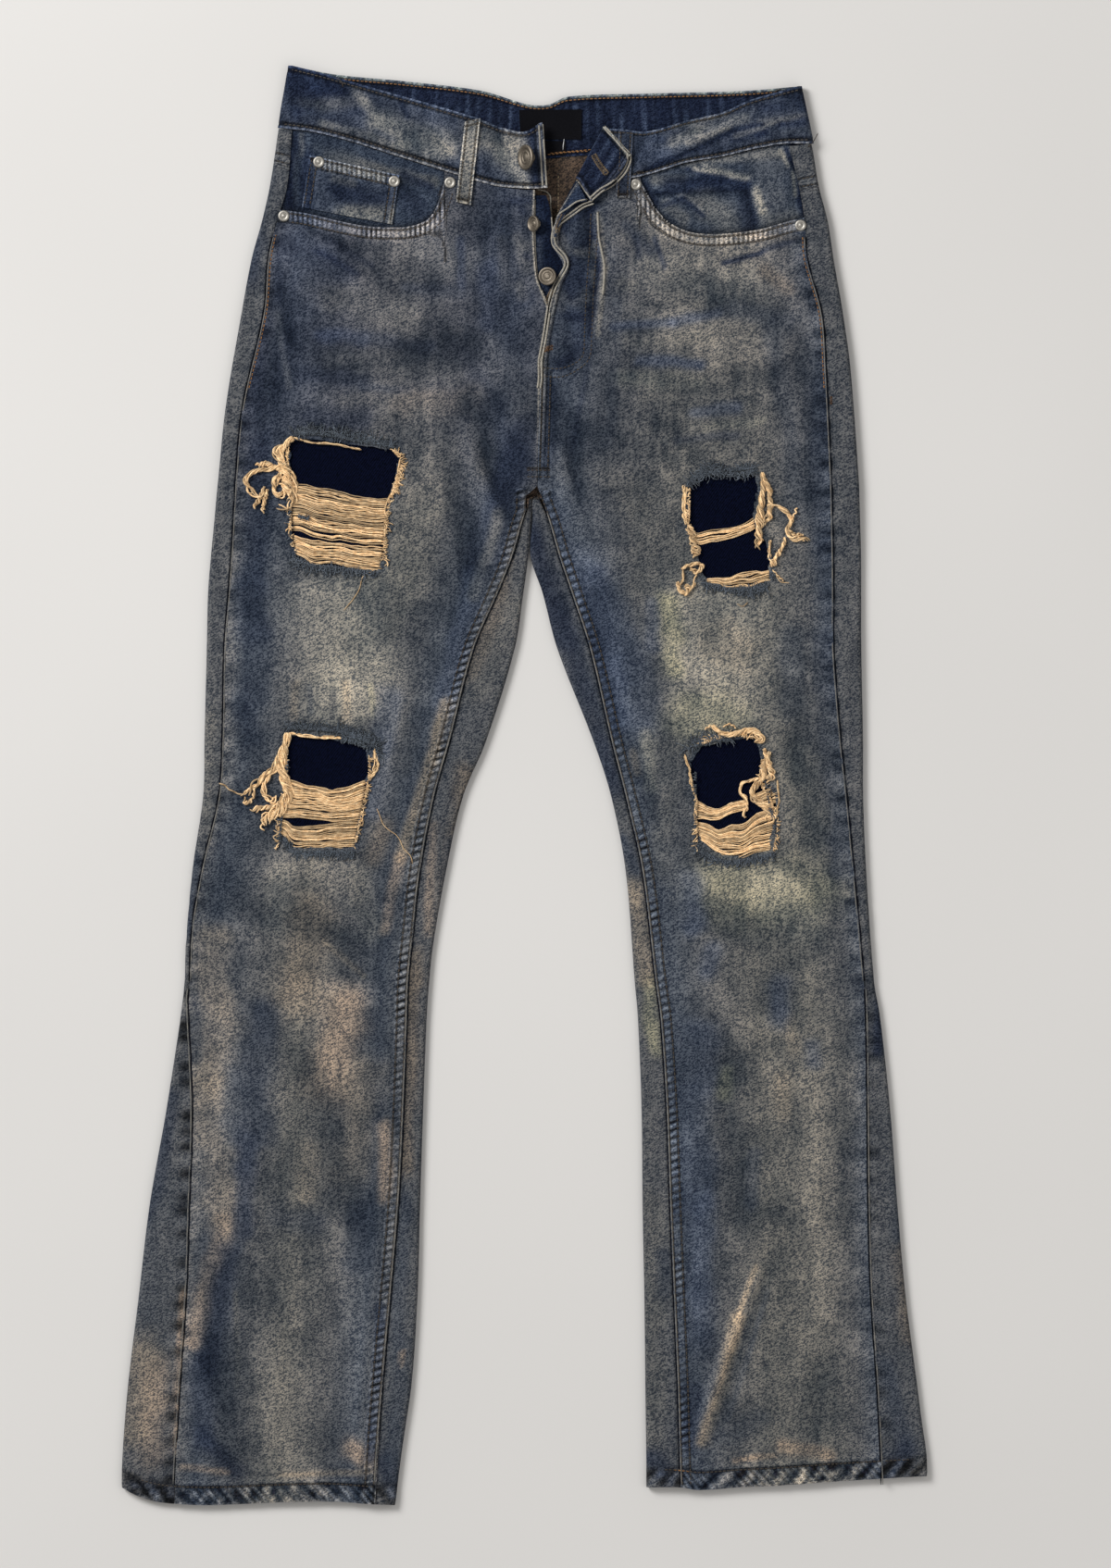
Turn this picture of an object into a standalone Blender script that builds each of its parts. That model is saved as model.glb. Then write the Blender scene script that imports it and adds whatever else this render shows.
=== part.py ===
# Ripped five-pocket jeans lying flat, face up, with the fly undone and the waistband end turned back.
# Frame: +Y runs to the waist, +X to the wearer's left, +Z up from the surface that the jeans lie on.
# Tables and sizes are in millimetres; MM turns them into metres where the meshes are made.

import math
from collections import namedtuple

import bmesh
import bpy
from mathutils import Matrix, Vector

MM = 0.001
CLOTH = 1.2             # denim wall
BAND = 2.4              # waistband, two plies
LABEL = 0.5             # woven label
GAP = 0.3               # clearance at every seam
PLY = CLOTH + GAP       # from one cloth layer to the next
TOP = 5.4               # middle of the upper layer over the surface, in the legs
HIP_LIFT = 1.5          # the seat lies this much higher, on the back pockets
HIP_LIFT_FROM, HIP_LIFT_TO = 150.0, 235.0
FRONT_BAND = 0.3        # waistband's middle over the front panels' middle
LEVEL_TOP = 222.0       # rows are level up to here, and fan out to the waist above it
HEM = -540.0
HEM_BLEND = 60.0
SIDE_X = 235.0          # beyond the garment's side at the waist
FLY_TOP = 450.0         # height of the fly's open end
STRIP = 3.2             # least width of a back panel's turned strip
CROTCH_CLEAR = 1.0      # extra clearance on each side of the inseams at the crotch
FOLD_ANGLES = (45, 0, -45)

Section = namedtuple("Section", "y outer outseam inseam inner")
Fold = namedtuple("Fold", "x0 y0 x1 y1 reach height")
Station = namedtuple("Station", "low_x low_y high_x high_y")
Opening = namedtuple("Opening", "y left right")
Weft = namedtuple("Weft", "rip level left_top right_top left_low right_low")
Patch = namedtuple("Patch", "low_left low_right top_left top_right")

# Each leg seen from the front: outer fold, outseam, inseam and inner fold at one height.
RIGHT_LEG = (
    Section(503, -188.5, -178, 8, 8),
    Section(460, -195, -182, 8, 8),
    Section(432, -201.3, -190, 8, 8),
    Section(404, -209, -196.3, 8, 8),
    Section(361, -217, -200, 8, 8),
    Section(290, -229, -216, 8, 8),
    Section(232, -235, -221.5, 8, 8),
    Section(222, -236, -222, 6.5, 6),
    Section(205, -237.5, -223, -0.5, 5.6),
    Section(176, -240.3, -224.7, -9, 3),
    Section(148, -242.5, -226.8, -20.2, -0.8),
    Section(105, -243.5, -230, -38.7, -7.5),
    Section(34, -245.3, -231.5, -57.2, -29.5),
    Section(-8, -246.3, -234.2, -69, -47),
    Section(-65, -254.5, -247.4, -79.9, -60),
    Section(-122, -259.5, -257, -86.3, -70),
    Section(-150, -260.5, -258.5, -89, -73),
    Section(-179, -263.8, -257.4, -90, -75),
    Section(-250, -274.7, -254.5, -92.7, -77.7),
    Section(-321, -287.2, -256.7, -96.5, -80),
    Section(-392, -295.7, -259.2, -102.6, -82),
    Section(-463, -304.2, -264.2, -109, -87),
    Section(-519, -308.3, -267.5, -113.2, -96.2),
    Section(-552, -308.3, -268.8, -115, -101),
)
LEFT_LEG = (
    Section(503, 216, 200, 12, 12),
    Section(489, 220.5, 203.4, 12, 12),
    Section(460, 225.4, 210.5, 12, 12),
    Section(432, 232.5, 214.8, 12, 12),
    Section(404, 236.8, 216.5, 12, 12),
    Section(361, 244.2, 228, 12, 12),
    Section(318, 250, 231.1, 12, 12),
    Section(232, 256.4, 235.3, 12, 12),
    Section(222, 256.7, 235.6, 11.7, 6.3),
    Section(205, 257.2, 235.9, 18, 5.9),
    Section(176, 258, 236.6, 26.5, 4.6),
    Section(148, 258.1, 236.8, 36, 13.8),
    Section(105, 258.2, 236.9, 50.1, 25.2),
    Section(34, 259.5, 242.5, 66.7, 52.9),
    Section(-8, 259.6, 247, 77.5, 66.4),
    Section(-65, 261.9, 252.4, 90.2, 77.5),
    Section(-150, 268, 260.2, 100.5, 84.5),
    Section(-179, 272.8, 261.6, 104.4, 87),
    Section(-250, 280.4, 262.6, 109, 89.8),
    Section(-321, 285.8, 263.3, 111.6, 90.5),
    Section(-392, 292.2, 265.5, 114.5, 91.9),
    Section(-463, 301.4, 270.2, 117.5, 92.7),
    Section(-519, 308, 273, 119, 93.4),
    Section(-545, 308.5, 274, 120, 93.6),
)
LEG_ROWS = (HEM, -519, -463, -392, -321, -250, -185, -150, -122, -65, -8, 34, 70, 105, 148, 180, 205,
            LEVEL_TOP)
FRONT_COLUMNS = (0, 0.14, 0.28, 0.42, 0.56, 0.68, 0.78, 0.86, 0.92, 0.965, 1)
HIP_STEPS = (0.036, 0.14, 0.26, 0.38, 0.49, 0.58, 0.66, 0.75)
UNDER_COLUMNS = 4
SEAT_EDGE_STEP = 2.0    # spacing of the columns that lie along the centre back seam

# Lines across the garment, as height over x.
RIGHT_HEM = ((-308, -538), (-300, -543), (-284, -548.5), (-265, -550.8), (-240, -551.5), (-190, -549.5),
             (-147, -548.8), (-118, -550.8), (-101, -551.5))
LEFT_HEM = ((93, -538), (120, -538), (133, -540), (164, -538), (197, -536.4), (230, -534), (270, -531.5),
            (308, -529.3))
FRONT_WAIST = ((-188, 503.5), (-176, 502.5), (-153, 499), (-126, 491.3), (-97, 482.1), (-68, 473),
               (-38, 463.6), (-18, 458.7), (5, 456.5), (17, 457.2), (40, 463), (70, 463.6), (92, 467.2),
               (104, 470.7), (124, 477), (153, 482), (177, 487.8), (199, 491.5), (218, 491.5))
BACK_WAIST = ((-186, 503.5), (-152, 499.8), (-95, 493.4), (-36, 487.8), (1.4, 482.1), (18.5, 480.7),
              (33, 482.1), (97, 484.9), (169, 487.8), (217, 491.5))
YOKE_SEAM = ((-191, 477), (-80, 448), (27, 420), (120, 439), (223, 459))

# Lines down the garment, as x over height.
CENTRE_BACK = ((222, 9.5), (335, 17), (438, 24), (500, 27.5))
RIGHT_FLY_EDGE = ((228, 9.4), (282, 11), (317, 12.1), (337, 13.4), (356, 16.6), (366, 18), (376, 15),
                  (386, 10.3), (396, 8.6), (424, 7.1), (457, 8))
LEFT_FLY_EDGE = ((228, 9.9), (282, 11.5), (317, 12.6), (337, 14), (356, 17.2), (366, 19.2), (376, 21.5),
                 (386, 24.4), (394, 28.4), (400, 29.8), (406, 27), (413, 22.9), (420, 21.5), (429, 22.7),
                 (440, 26.5), (451, 33), (463, 39.8))

# Largest soft ridges of the upper layer: a line, how far the ridge reaches each side of it, and its height.
FOLDS = (
    Fold(-14, 205, 1, 290, 15, 2.4),
    Fold(12, 240, 13, 330, 12, 1.6),
    Fold(13, 505, 17, 425, 15, 6.0),
    Fold(26, 390, 40, 462, 20, 2.4),
    Fold(-200, 345, -105, 318, 30, 1.4),
    Fold(70, 330, 205, 372, 30, 1.4),
    Fold(-215, 95, -110, 118, 34, 1.4),
    Fold(110, 70, 230, 92, 34, 1.4),
    Fold(-232, -300, -170, -480, 32, 1.6),
    Fold(180, -330, 132, -500, 32, 1.6),
)

# The waistband as one ribbon: its lower and upper edge at stations from the right end round the back.
BAND_FRONT_RIGHT = (
    Station(17, 457.5, 13, 507.5), Station(4, 457.2, 1, 500.8), Station(-20, 459.2, -15, 503.4),
    Station(-45, 466, -38, 512), Station(-75, 475.4, -68, 521), Station(-105, 484.8, -98, 529.5),
    Station(-135, 494.2, -128, 538), Station(-162, 500.8, -154, 545.5), Station(-186, 503.8, -177.5, 551.5),
)
BAND_BACK = (
    Station(-186, 503.8, -177.5, 551.5), Station(-152, 500.1, -145, 545), Station(-95, 493.7, -89.5, 539.6),
    Station(-36, 488.1, -33, 532.5), Station(1, 482.4, 3, 522), Station(18.5, 481, 18.5, 521.9),
    Station(33, 482.4, 33, 528), Station(97, 485.2, 95, 530.4), Station(169, 488.1, 166, 532.3),
    Station(218, 491.8, 209.5, 535.8),
)
BAND_FRONT_LEFT = (
    Station(218, 491.8, 209.5, 535.8), Station(199, 491.8, 194.5, 531.5), Station(177, 488.1, 173, 525.2),
    Station(153, 482.3, 152, 516), Station(124, 477.3, 123.5, 509.1), Station(104, 471, 102, 502.7),
    Station(92, 467.5, 91.6, 500.8), Station(70, 463.9, 77, 502.5), Station(42, 463.8, 63.5, 503.2),
)
BAND_TURNED_END = (Station(42, 463.8, 63.5, 503.2), Station(50.4, 448, 80.2, 483.2))
TURNED_END_LAYER = 4.0     # middle of the turned end over the band's own middle
TURNED_END_OUTWARD = (-0.88, 0.47)

# Pocket mouths, from the outseam to the waistband.
RIGHT_MOUTH = ((-200, 441.5), (-186, 440.8), (-168, 438.5), (-150, 434.3), (-132, 430.3), (-118, 428.1),
               (-104, 427.4), (-90, 428), (-79, 431), (-71.7, 436), (-66.7, 445), (-63.2, 456),
               (-61.1, 466.5), (-60, 480))
LEFT_MOUTH = ((86, 478), (88.8, 464.3), (93, 455.8), (98.7, 445.2), (105.8, 436), (115, 428.8), (127, 424),
              (141, 422.4), (159, 423.2), (180, 426), (198, 431), (214.4, 435.2), (232, 438))
MOUTH_FAR_Y = 515.0
POCKET_UNDER = 11.0        # how far a pocket facing runs on under the mouth
COIN_POCKET = Patch((-170.5, 443), (-101.5, 430), (-164.7, 483), (-95.9, 467.5))

# The four rips, each as its width at one height, and the bands of bare weft left across them.
RIPS = {
    1: (Opening(265, -178.6, -158), Opening(257, -179.5, -100), Opening(249, -180, -95),
        Opening(237, -179.3, -99), Opening(220, -179, -103), Opening(212, -180, -106.6),
        Opening(199, -179, -106.2), Opening(183, -177, -107), Opening(169, -166, -110)),
    2: (Opening(238, 141, 178), Opening(229, 126.5, 178.5), Opening(207, 126.5, 175),
        Opening(198, 125, 178), Opening(184, 133, 187), Opening(166, 134, 188),
        Opening(151, 141, 187.5)),
    3: (Opening(37, -181, -152), Opening(29, -182, -122), Opening(11, -181.5, -118.5),
        Opening(4, -180.5, -122), Opening(-10, -183, -121), Opening(-28, -187, -127),
        Opening(-49, -189, -130)),
    4: (Opening(36, 165, 175), Opening(30, 136, 179), Opening(18, 127.5, 181), Opening(5, 128, 181),
        Opening(-8, 131, 187), Opening(-25, 132, 194), Opening(-40, 131.5, 193), Opening(-56, 132, 190)),
}
WEFTS = (
    Weft(1, "upper", 232, 221, 196, 186), Weft(1, "lower", 190.5, 182, 170, 169.6),
    Weft(2, "upper", 199, 204.5, 184, 194.5), Weft(2, "lower", 158, 164, 151.6, 151.6),
    Weft(3, "upper", 3.5, 4.5, -25, -27.5), Weft(3, "lower", -31, -31.5, -48.4, -48.4),
    Weft(4, "upper", -14, -12, -26, -19), Weft(4, "lower", -29, -22, -55.4, -55.4),
)
PATCH_MARGIN = 9.0
PATCH_CLEAR = 0.2

# Frayed ends that lie on the cloth beside the rips, as the ground that each bunch covers.
TUFTS = (
    Patch((-199, 211), (-183.5, 216), (-213, 240), (-184, 261)),
    Patch((192, 169), (220, 177), (183.5, 200), (184, 238)),
    Patch((-212, -34), (-192.5, -30), (-236, 4), (-186, 36)),
    Patch((196.5, -36), (203, -36), (186, 22), (194, 24)),
    Patch((137, 40), (177, 41), (138, 48), (178, 49)),
)
TUFT = 1.4

# Belt loops: the two front ones by their corners, and the back ones by their place on the waistband.
FRONT_LOOPS = (
    Patch((-52.5, 447.3), (-41.2, 444.6), (-45.6, 508.6), (-33.8, 511)),
    Patch((70, 450.5), (80.4, 450.3), (72.2, 501.2), (83.2, 500.6)),
)
LOOP = 1.0
BACK_LOOP_WIDTH = 11.0
BACK_LOOPS = ((-120, 499), (22.5, 485), (150, 490))
BACK_LOOP_DROP, BACK_LOOP_RISE = 5.0, 36.0

BACK_POCKET_HALF, BACK_POCKET_HIGH, BACK_POCKET_POINT = 72.0, 128.0, 20.0
BACK_POCKETS = {"right": (-100, 405), "left": (130, 405)}

LABEL_MAIN = Patch((-3, 495.2), (43.5, 495.2), (-4, 517.8), (44, 518.2))
LABEL_SIZE = Patch((15.8, 483), (31.5, 483), (15.8, 494), (31.5, 494))

FLY_SHIELD_EDGE = ((330, 27), (360, 32), (385, 31), (400, 31), (415, 26), (432, 21.5), (446, 18.6),
                   (452, 16.5))
FLY_SHIELD_LOW = 334.0
FLY_CLEAR = 0.8          # extra room between the standing plies of the fly
FLY_DROP = 1.8           # how much deeper the shield lies under the closed end of the fly
FLY_FACING_INNER = ((420, 22.2), (429, 23.4), (440, 27.2), (451, 33.8), (462, 40.4))
FLY_FACING_OUTER = ((420, 24), (429, 26.5), (440, 33), (446, 40), (447.6, 48))

Button = namedtuple("Button", "name x y radius head shank lean")
BUTTONS = (
    Button("waist_button", 6.5, 480.6, 9.8, 3.0, 5.0, 56),
    Button("fly_button_1", 10.4, 430, 6.2, 2.4, 3.4, 48),
    Button("fly_button_2", 18.6, 390, 7.0, 2.4, 3.0, 14),
)
HIDDEN_BUTTON = (24.0, 353.5, 5.0, 1.2)
RIVETS = ((-157.6, 477.8), (-99.8, 462.9), (-57, 462.0), (-184.4, 436.4), (85.3, 460.6), (211.6, 429.2))
RIVET_RADIUS = 4.4
RIVET_HIGH = 1.3
ROUND = 18

COLOURS = {
    "denim": ((0.045, 0.068, 0.12), 0.85, 0.0),
    "denim_inside": ((0.16, 0.12, 0.09), 0.9, 0.0),
    "dark_denim": ((0.012, 0.018, 0.045), 0.85, 0.0),
    "weft": ((0.72, 0.5, 0.3), 0.9, 0.0),
    "black_label": ((0.01, 0.01, 0.012), 0.7, 0.0),
    "metal": ((0.6, 0.58, 0.54), 0.35, 1.0),
}


# ---- Curves and heights ---------------------------------------------------------------------------

def blend(low, high, at):
    # 0 below low, 1 above high and a smooth step between
    t = min(max((at - low) / (high - low), 0.0), 1.0)
    return t * t * (3 - 2 * t)


def follow(line, at):
    # value of a smooth curve through (place, value) pairs, held level past its ends
    places = sorted(line)
    if at <= places[0][0]:
        return places[0][1]
    if at >= places[-1][0]:
        return places[-1][1]
    index = next(i for i in range(len(places) - 1) if at <= places[i + 1][0])
    (start, low), (end, high) = places[index], places[index + 1]

    def slope(i):
        before, after = places[max(i - 1, 0)], places[min(i + 1, len(places) - 1)]
        return (after[1] - before[1]) / (after[0] - before[0])

    span = end - start
    t = (at - start) / span
    rise = (1 + 2 * t) * (1 - t) ** 2 * low + t * t * (3 - 2 * t) * high
    return rise + span * (t * (1 - t) ** 2 * slope(index) - t * t * (1 - t) * slope(index + 1))


def column(leg, name):
    return [(row.y, getattr(row, name)) for row in leg]


def lift(y):
    return HIP_LIFT * blend(HIP_LIFT_FROM, HIP_LIFT_TO, y)


def fold_height(x, y):
    total = 0.0
    for fold in FOLDS:
        run_x, run_y = fold.x1 - fold.x0, fold.y1 - fold.y0
        t = ((x - fold.x0) * run_x + (y - fold.y0) * run_y) / (run_x ** 2 + run_y ** 2)
        t = min(max(t, 0.0), 1.0)
        away = math.hypot(x - fold.x0 - t * run_x, y - fold.y0 - t * run_y)
        total += fold.height * math.exp(-((away / fold.reach) ** 2))
    return total


def upper(x, y):
    # middle of the upper cloth layer
    return TOP + lift(y) + fold_height(x, y)


def under(y):
    # middle of the cloth layer that rests on the surface
    return CLOTH / 2 + lift(y)


def lerp(a, b, t):
    return a + (b - a) * t


def spread(start, end, count):
    return [lerp(start, end, i / (count - 1)) for i in range(count)]


# ---- Objects --------------------------------------------------------------------------------------

def clear_scene():
    for item in list(bpy.data.objects):
        bpy.data.objects.remove(item, do_unlink=True)


def add_collection(name):
    group = bpy.data.collections.new(name)
    bpy.context.scene.collection.children.link(group)
    return group


def add_material(name, look):
    colour, roughness, metallic = COLOURS[look]
    material = bpy.data.materials.new(name)
    material.use_nodes = True
    surface = material.node_tree.nodes["Principled BSDF"]
    surface.inputs["Base Color"].default_value = (*colour, 1.0)
    surface.inputs["Roughness"].default_value = roughness
    surface.inputs["Metallic"].default_value = metallic
    return material


def add_piece(name, mesh, look):
    piece = bpy.data.objects.new(name, mesh)
    jeans.objects.link(piece)
    mesh.materials.append(add_material(name, look))
    return piece


def add_wall(name, rows, look, thickness=CLOTH):
    # cloth of even thickness about the surface through rows of (x, y, z) points
    across, along = len(rows[0]) - 1, len(rows) - 1
    shape = bmesh.new()
    bmesh.ops.create_grid(shape, x_segments=across, y_segments=along, size=1.0)
    for vertex in shape.verts:
        place = round((vertex.co.x + 1) / 2 * across)
        row = round((vertex.co.y + 1) / 2 * along)
        vertex.co = Vector(rows[row][place]) * MM
    mesh = bpy.data.meshes.new(name)
    shape.to_mesh(mesh)
    shape.free()
    piece = add_piece(name, mesh, look)
    wall = piece.modifiers.new("Cloth", "SOLIDIFY")
    wall.thickness = thickness * MM
    wall.offset = 0.0
    wall.use_even_offset = True
    return piece


def add_patch(name, corners, layer, look, thickness=CLOTH, across=4, along=3, base=upper):
    # a four-cornered piece on a layer, `layer` over that layer's middle
    rows = []
    for t in spread(0, 1, along + 1):
        left = [lerp(a, b, t) for a, b in zip(corners.low_left, corners.top_left)]
        right = [lerp(a, b, t) for a, b in zip(corners.low_right, corners.top_right)]
        points = [(lerp(left[0], right[0], u), lerp(left[1], right[1], u)) for u in spread(0, 1, across + 1)]
        rows.append([(x, y, base(x, y) + layer) for x, y in points])
    return add_wall(name, rows, look, thickness)


def add_cutter(name, outline):
    # a prism over a flat outline, tall enough to pass through the upper layer
    curve = bpy.data.curves.new(name, "CURVE")
    curve.dimensions = "2D"
    curve.fill_mode = "BOTH"
    curve.extrude = 15 * MM
    line = curve.splines.new("POLY")
    line.points.add(len(outline) - 1)
    for point, (x, y) in zip(line.points, outline):
        point.co = (x * MM, y * MM, 0.0, 1.0)
    line.use_cyclic_u = True
    drawn = bpy.data.objects.new(name, curve)
    cutters.objects.link(drawn)
    evaluated = drawn.evaluated_get(bpy.context.evaluated_depsgraph_get())
    mesh = bpy.data.meshes.new_from_object(evaluated)
    shape = bmesh.new()
    shape.from_mesh(mesh)
    bmesh.ops.remove_doubles(shape, verts=shape.verts, dist=1e-6)
    bmesh.ops.recalc_face_normals(shape, faces=shape.faces)
    shape.to_mesh(mesh)
    shape.free()
    bpy.data.objects.remove(drawn)
    cutter = bpy.data.objects.new(name, mesh)
    cutter.location.z = 12 * MM
    cutter.hide_render = True
    cutter.display_type = "WIRE"
    cutters.objects.link(cutter)
    return cutter


def cut(piece, cutter):
    opening = piece.modifiers.new(cutter.name, "BOOLEAN")
    opening.operation = "DIFFERENCE"
    opening.solver = "EXACT"
    opening.object = cutter


# ---- Legs, fronts, backs and yokes ----------------------------------------------------------------

class Side:
    # one leg with its half of the seat; `out` points from the centre to its outseam
    def __init__(self, name, out, leg, hem, fly_edge):
        self.name, self.out, self.leg, self.hem, self.fly_edge = name, out, leg, hem, fly_edge
        side = out * SIDE_X
        self.yoke_step = (follow(YOKE_SEAM, side) - LEVEL_TOP) / (follow(FRONT_WAIST, side) - LEVEL_TOP)

    def edge(self, name, y):
        return follow(column(self.leg, name), y)

    def level(self, x, y):
        # a row's height at x in the leg, where the lowest row follows the hem
        near = 1 - blend(HEM, HEM + HEM_BLEND, y)
        return y + near * (follow(self.hem, x) - HEM)

    def seam(self, seam, fold, y, out):
        # a seam of the legs, kept far enough from its fold to leave a strip; `out` points to that fold
        turn = self.edge(fold, y) - out * CLOTH / 2
        return turn - out * max((turn - self.edge(seam, y)) * out, STRIP)

    def outseam(self, y):
        return self.seam("outseam", "outer", y, self.out)

    def inseam(self, y):
        return self.seam("inseam", "inner", y, -self.out)

    def fanned(self, seam, step, x):
        return LEVEL_TOP + step * (follow(seam, x) - LEVEL_TOP)

    def front_rows(self):
        rows = []
        half = self.out * GAP / 2
        for y in LEG_ROWS:
            clear = GAP / 2 + CROTCH_CLEAR * blend(200, LEVEL_TOP, y)
            outer, inner = self.outseam(y) - half, self.inseam(y) + self.out * clear
            points = [(x, self.level(x, y)) for x in (lerp(outer, inner, share) for share in FRONT_COLUMNS)]
            rows.append([(x, line, upper(x, line)) for x, line in points])
        for step in (*HIP_STEPS, self.yoke_step, 1.0):
            outer_y = self.fanned(FRONT_WAIST, step, self.out * SIDE_X)
            inner_y = self.fanned(FRONT_WAIST, step, follow(self.fly_edge, FLY_TOP))
            outer, inner = self.outseam(outer_y) - half, follow(self.fly_edge, inner_y)
            xs = [lerp(outer, inner, share) for share in FRONT_COLUMNS]
            points = [(x, self.fanned(FRONT_WAIST, step, x)) for x in xs]
            rows.append([(x, line - (GAP if step == 1.0 else 0.0), upper(x, line)) for x, line in points])
        return rows

    def wrap(self, line, strip_start, inner, outer, strip_end):
        # section of a leg's back: inner strip, fold, underside, fold and outer strip
        out = self.out
        inner, outer = inner + out * CLOTH / 2, outer - out * CLOTH / 2
        low, high = under(line(outer)), upper(outer, line(outer))
        outer_radius, outer_middle = (high - low) / 2, (high + low) / 2
        inner_high = upper(inner, line(inner))
        inner_radius, inner_middle = (inner_high - low) / 2, (inner_high + low) / 2
        inner_centre, outer_centre = inner + out * inner_radius, outer - out * outer_radius
        path = [(strip_start, upper(strip_start, line(strip_start)))]
        path.append((inner_centre, upper(inner_centre, line(inner_centre))))
        for angle in FOLD_ANGLES:
            turn = math.radians(angle)
            x = inner_centre - out * inner_radius * math.cos(turn)
            path.append((x, inner_middle + inner_radius * math.sin(turn)))
        path += [(x, low) for x in spread(inner_centre, outer_centre, UNDER_COLUMNS)]
        path += self.outer_turn(line, outer_centre, outer_radius, outer_middle, strip_end)
        return [(x, line(x), z) for x, z in path]

    def outer_turn(self, line, centre, radius, middle, strip_end):
        path = []
        for angle in reversed(FOLD_ANGLES):
            turn = math.radians(angle)
            path.append((centre + self.out * radius * math.cos(turn), middle + radius * math.sin(turn)))
        path.append((centre, upper(centre, line(centre))))
        path.append((strip_end, upper(strip_end, line(strip_end))))
        return path

    def seat_row(self, line):
        # section of the seat: from the centre back seam along the underside, and over the outer fold
        side_y = line(self.out * SIDE_X)
        outer = self.edge("outer", side_y) - self.out * CLOTH / 2
        low, high = under(line(outer)), upper(outer, line(outer))
        radius = (high - low) / 2
        centre = outer - self.out * radius
        middle_back = follow(CENTRE_BACK, line(CENTRE_BACK[-1][1])) + self.out * GAP / 2
        edge_columns = [middle_back + self.out * SEAT_EDGE_STEP * i for i in range(len(FOLD_ANGLES) + 2)]
        wide_start = edge_columns[-1] + self.out * SEAT_EDGE_STEP
        underside = edge_columns + spread(wide_start, centre, UNDER_COLUMNS)
        seam = self.outseam(side_y) + self.out * GAP / 2
        turned = self.outer_turn(line, centre, radius, (high + low) / 2, seam)
        return [(x, line(x), under(line(x))) for x in underside] + [(x, line(x), z) for x, z in turned]

    def back_rows(self):
        rows = []
        for y in LEG_ROWS:
            outer, inner = self.edge("outer", y), self.edge("inner", y)
            clear = GAP / 2 + CROTCH_CLEAR * blend(200, LEVEL_TOP, y)
            start, end = self.inseam(y) - self.out * clear, self.outseam(y) + self.out * GAP / 2
            rows.append(self.wrap(lambda x, y=y: self.level(x, y), start, inner, outer, end))
        for step in (*HIP_STEPS, self.yoke_step):
            share = step / self.yoke_step
            rows.append(self.seat_row(lambda x, share=share: self.fanned(YOKE_SEAM, share, x)))
        return rows

    def yoke_rows(self):
        rows = []
        for share in (0.0, 0.5, 1.0):
            def line(x, share=share):
                return lerp(follow(YOKE_SEAM, x) + GAP, follow(BACK_WAIST, x) - GAP, share)
            rows.append(self.seat_row(line))
        return rows


def mouth_outline(mouth):
    first, last = mouth[0][0], mouth[-1][0]
    xs = spread(first, last, 25)
    return [(x, follow(mouth, x)) for x in xs] + [(last, MOUTH_FAR_Y), (first, MOUTH_FAR_Y)]


def rip_outline(rip):
    rows = sorted(RIPS[rip])
    return [(row.right, row.y) for row in rows] + [(row.left, row.y) for row in reversed(rows)]


def make_fronts():
    for side, mouth, rips in ((right, RIGHT_MOUTH, (1, 3)), (left, LEFT_MOUTH, (2, 4))):
        panel = add_wall(f"front_panel_{side.name}", side.front_rows(), "denim")
        cut(panel, add_cutter(f"pocket_mouth_{side.name}", mouth_outline(mouth)))
        for rip in rips:
            cut(panel, add_cutter(f"rip_opening_{rip}", rip_outline(rip)))


def make_backs():
    for side in (right, left):
        add_wall(f"back_panel_{side.name}", side.back_rows(), "denim")
        add_wall(f"yoke_{side.name}", side.yoke_rows(), "denim")


# ---- Waistband, loops and labels ------------------------------------------------------------------

def band_height(x, y, layer):
    if layer == "back":
        return lift(y) + BAND / 2
    return upper(x, y) + FRONT_BAND + (TURNED_END_LAYER if layer == "turned" else 0.0)


def band_station(station, layer):
    ends = ((station.low_x, station.low_y), (station.high_x, station.high_y))
    points = [(lerp(ends[0][0], ends[1][0], t), lerp(ends[0][1], ends[1][1], t)) for t in (0, 0.5, 1)]
    return [(x, y, band_height(x, y, layer)) for x, y in points]


def band_turn(start, end, outward):
    # stations round a half turn from one layer to the next
    stations = []
    for angle in (-45, 0, 45):
        turn = math.radians(angle)
        station = []
        for (x, y, low), (_, _, high) in zip(start, end):
            radius = abs(high - low) / 2
            share = (1 + math.sin(turn)) / 2
            reach = radius * math.cos(turn)
            station.append((x + outward[0] * reach, y + outward[1] * reach, lerp(low, high, share)))
        stations.append(station)
    return stations


def make_waistband():
    front_right = [band_station(station, "front") for station in BAND_FRONT_RIGHT]
    back = [band_station(station, "back") for station in BAND_BACK]
    front_left = [band_station(station, "front") for station in BAND_FRONT_LEFT]
    turned = [band_station(station, "turned") for station in BAND_TURNED_END]
    stations = front_right + band_turn(front_right[-1], back[0], (-1, 0)) + back
    stations += band_turn(back[-1], front_left[0], (1, 0)) + front_left
    stations += band_turn(front_left[-1], turned[0], TURNED_END_OUTWARD) + turned
    add_wall("waistband", stations, "denim", BAND)


def make_loops():
    over_band = FRONT_BAND + BAND / 2 + GAP + LOOP / 2
    for number, corners in enumerate(FRONT_LOOPS, 1):
        add_patch(f"belt_loop_{number}", corners, over_band, "denim", LOOP, across=1, along=5)
    for number, (x, y) in enumerate(BACK_LOOPS, 3):
        low, high = y - BACK_LOOP_DROP, y + BACK_LOOP_RISE
        half = BACK_LOOP_WIDTH / 2
        corners = Patch((x - half, low), (x + half, low), (x - half, high), (x + half, high))
        add_patch(f"belt_loop_{number}", corners, LOOP / 2, "denim", LOOP, 1, 2, lambda x, y: 0.0)


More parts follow.
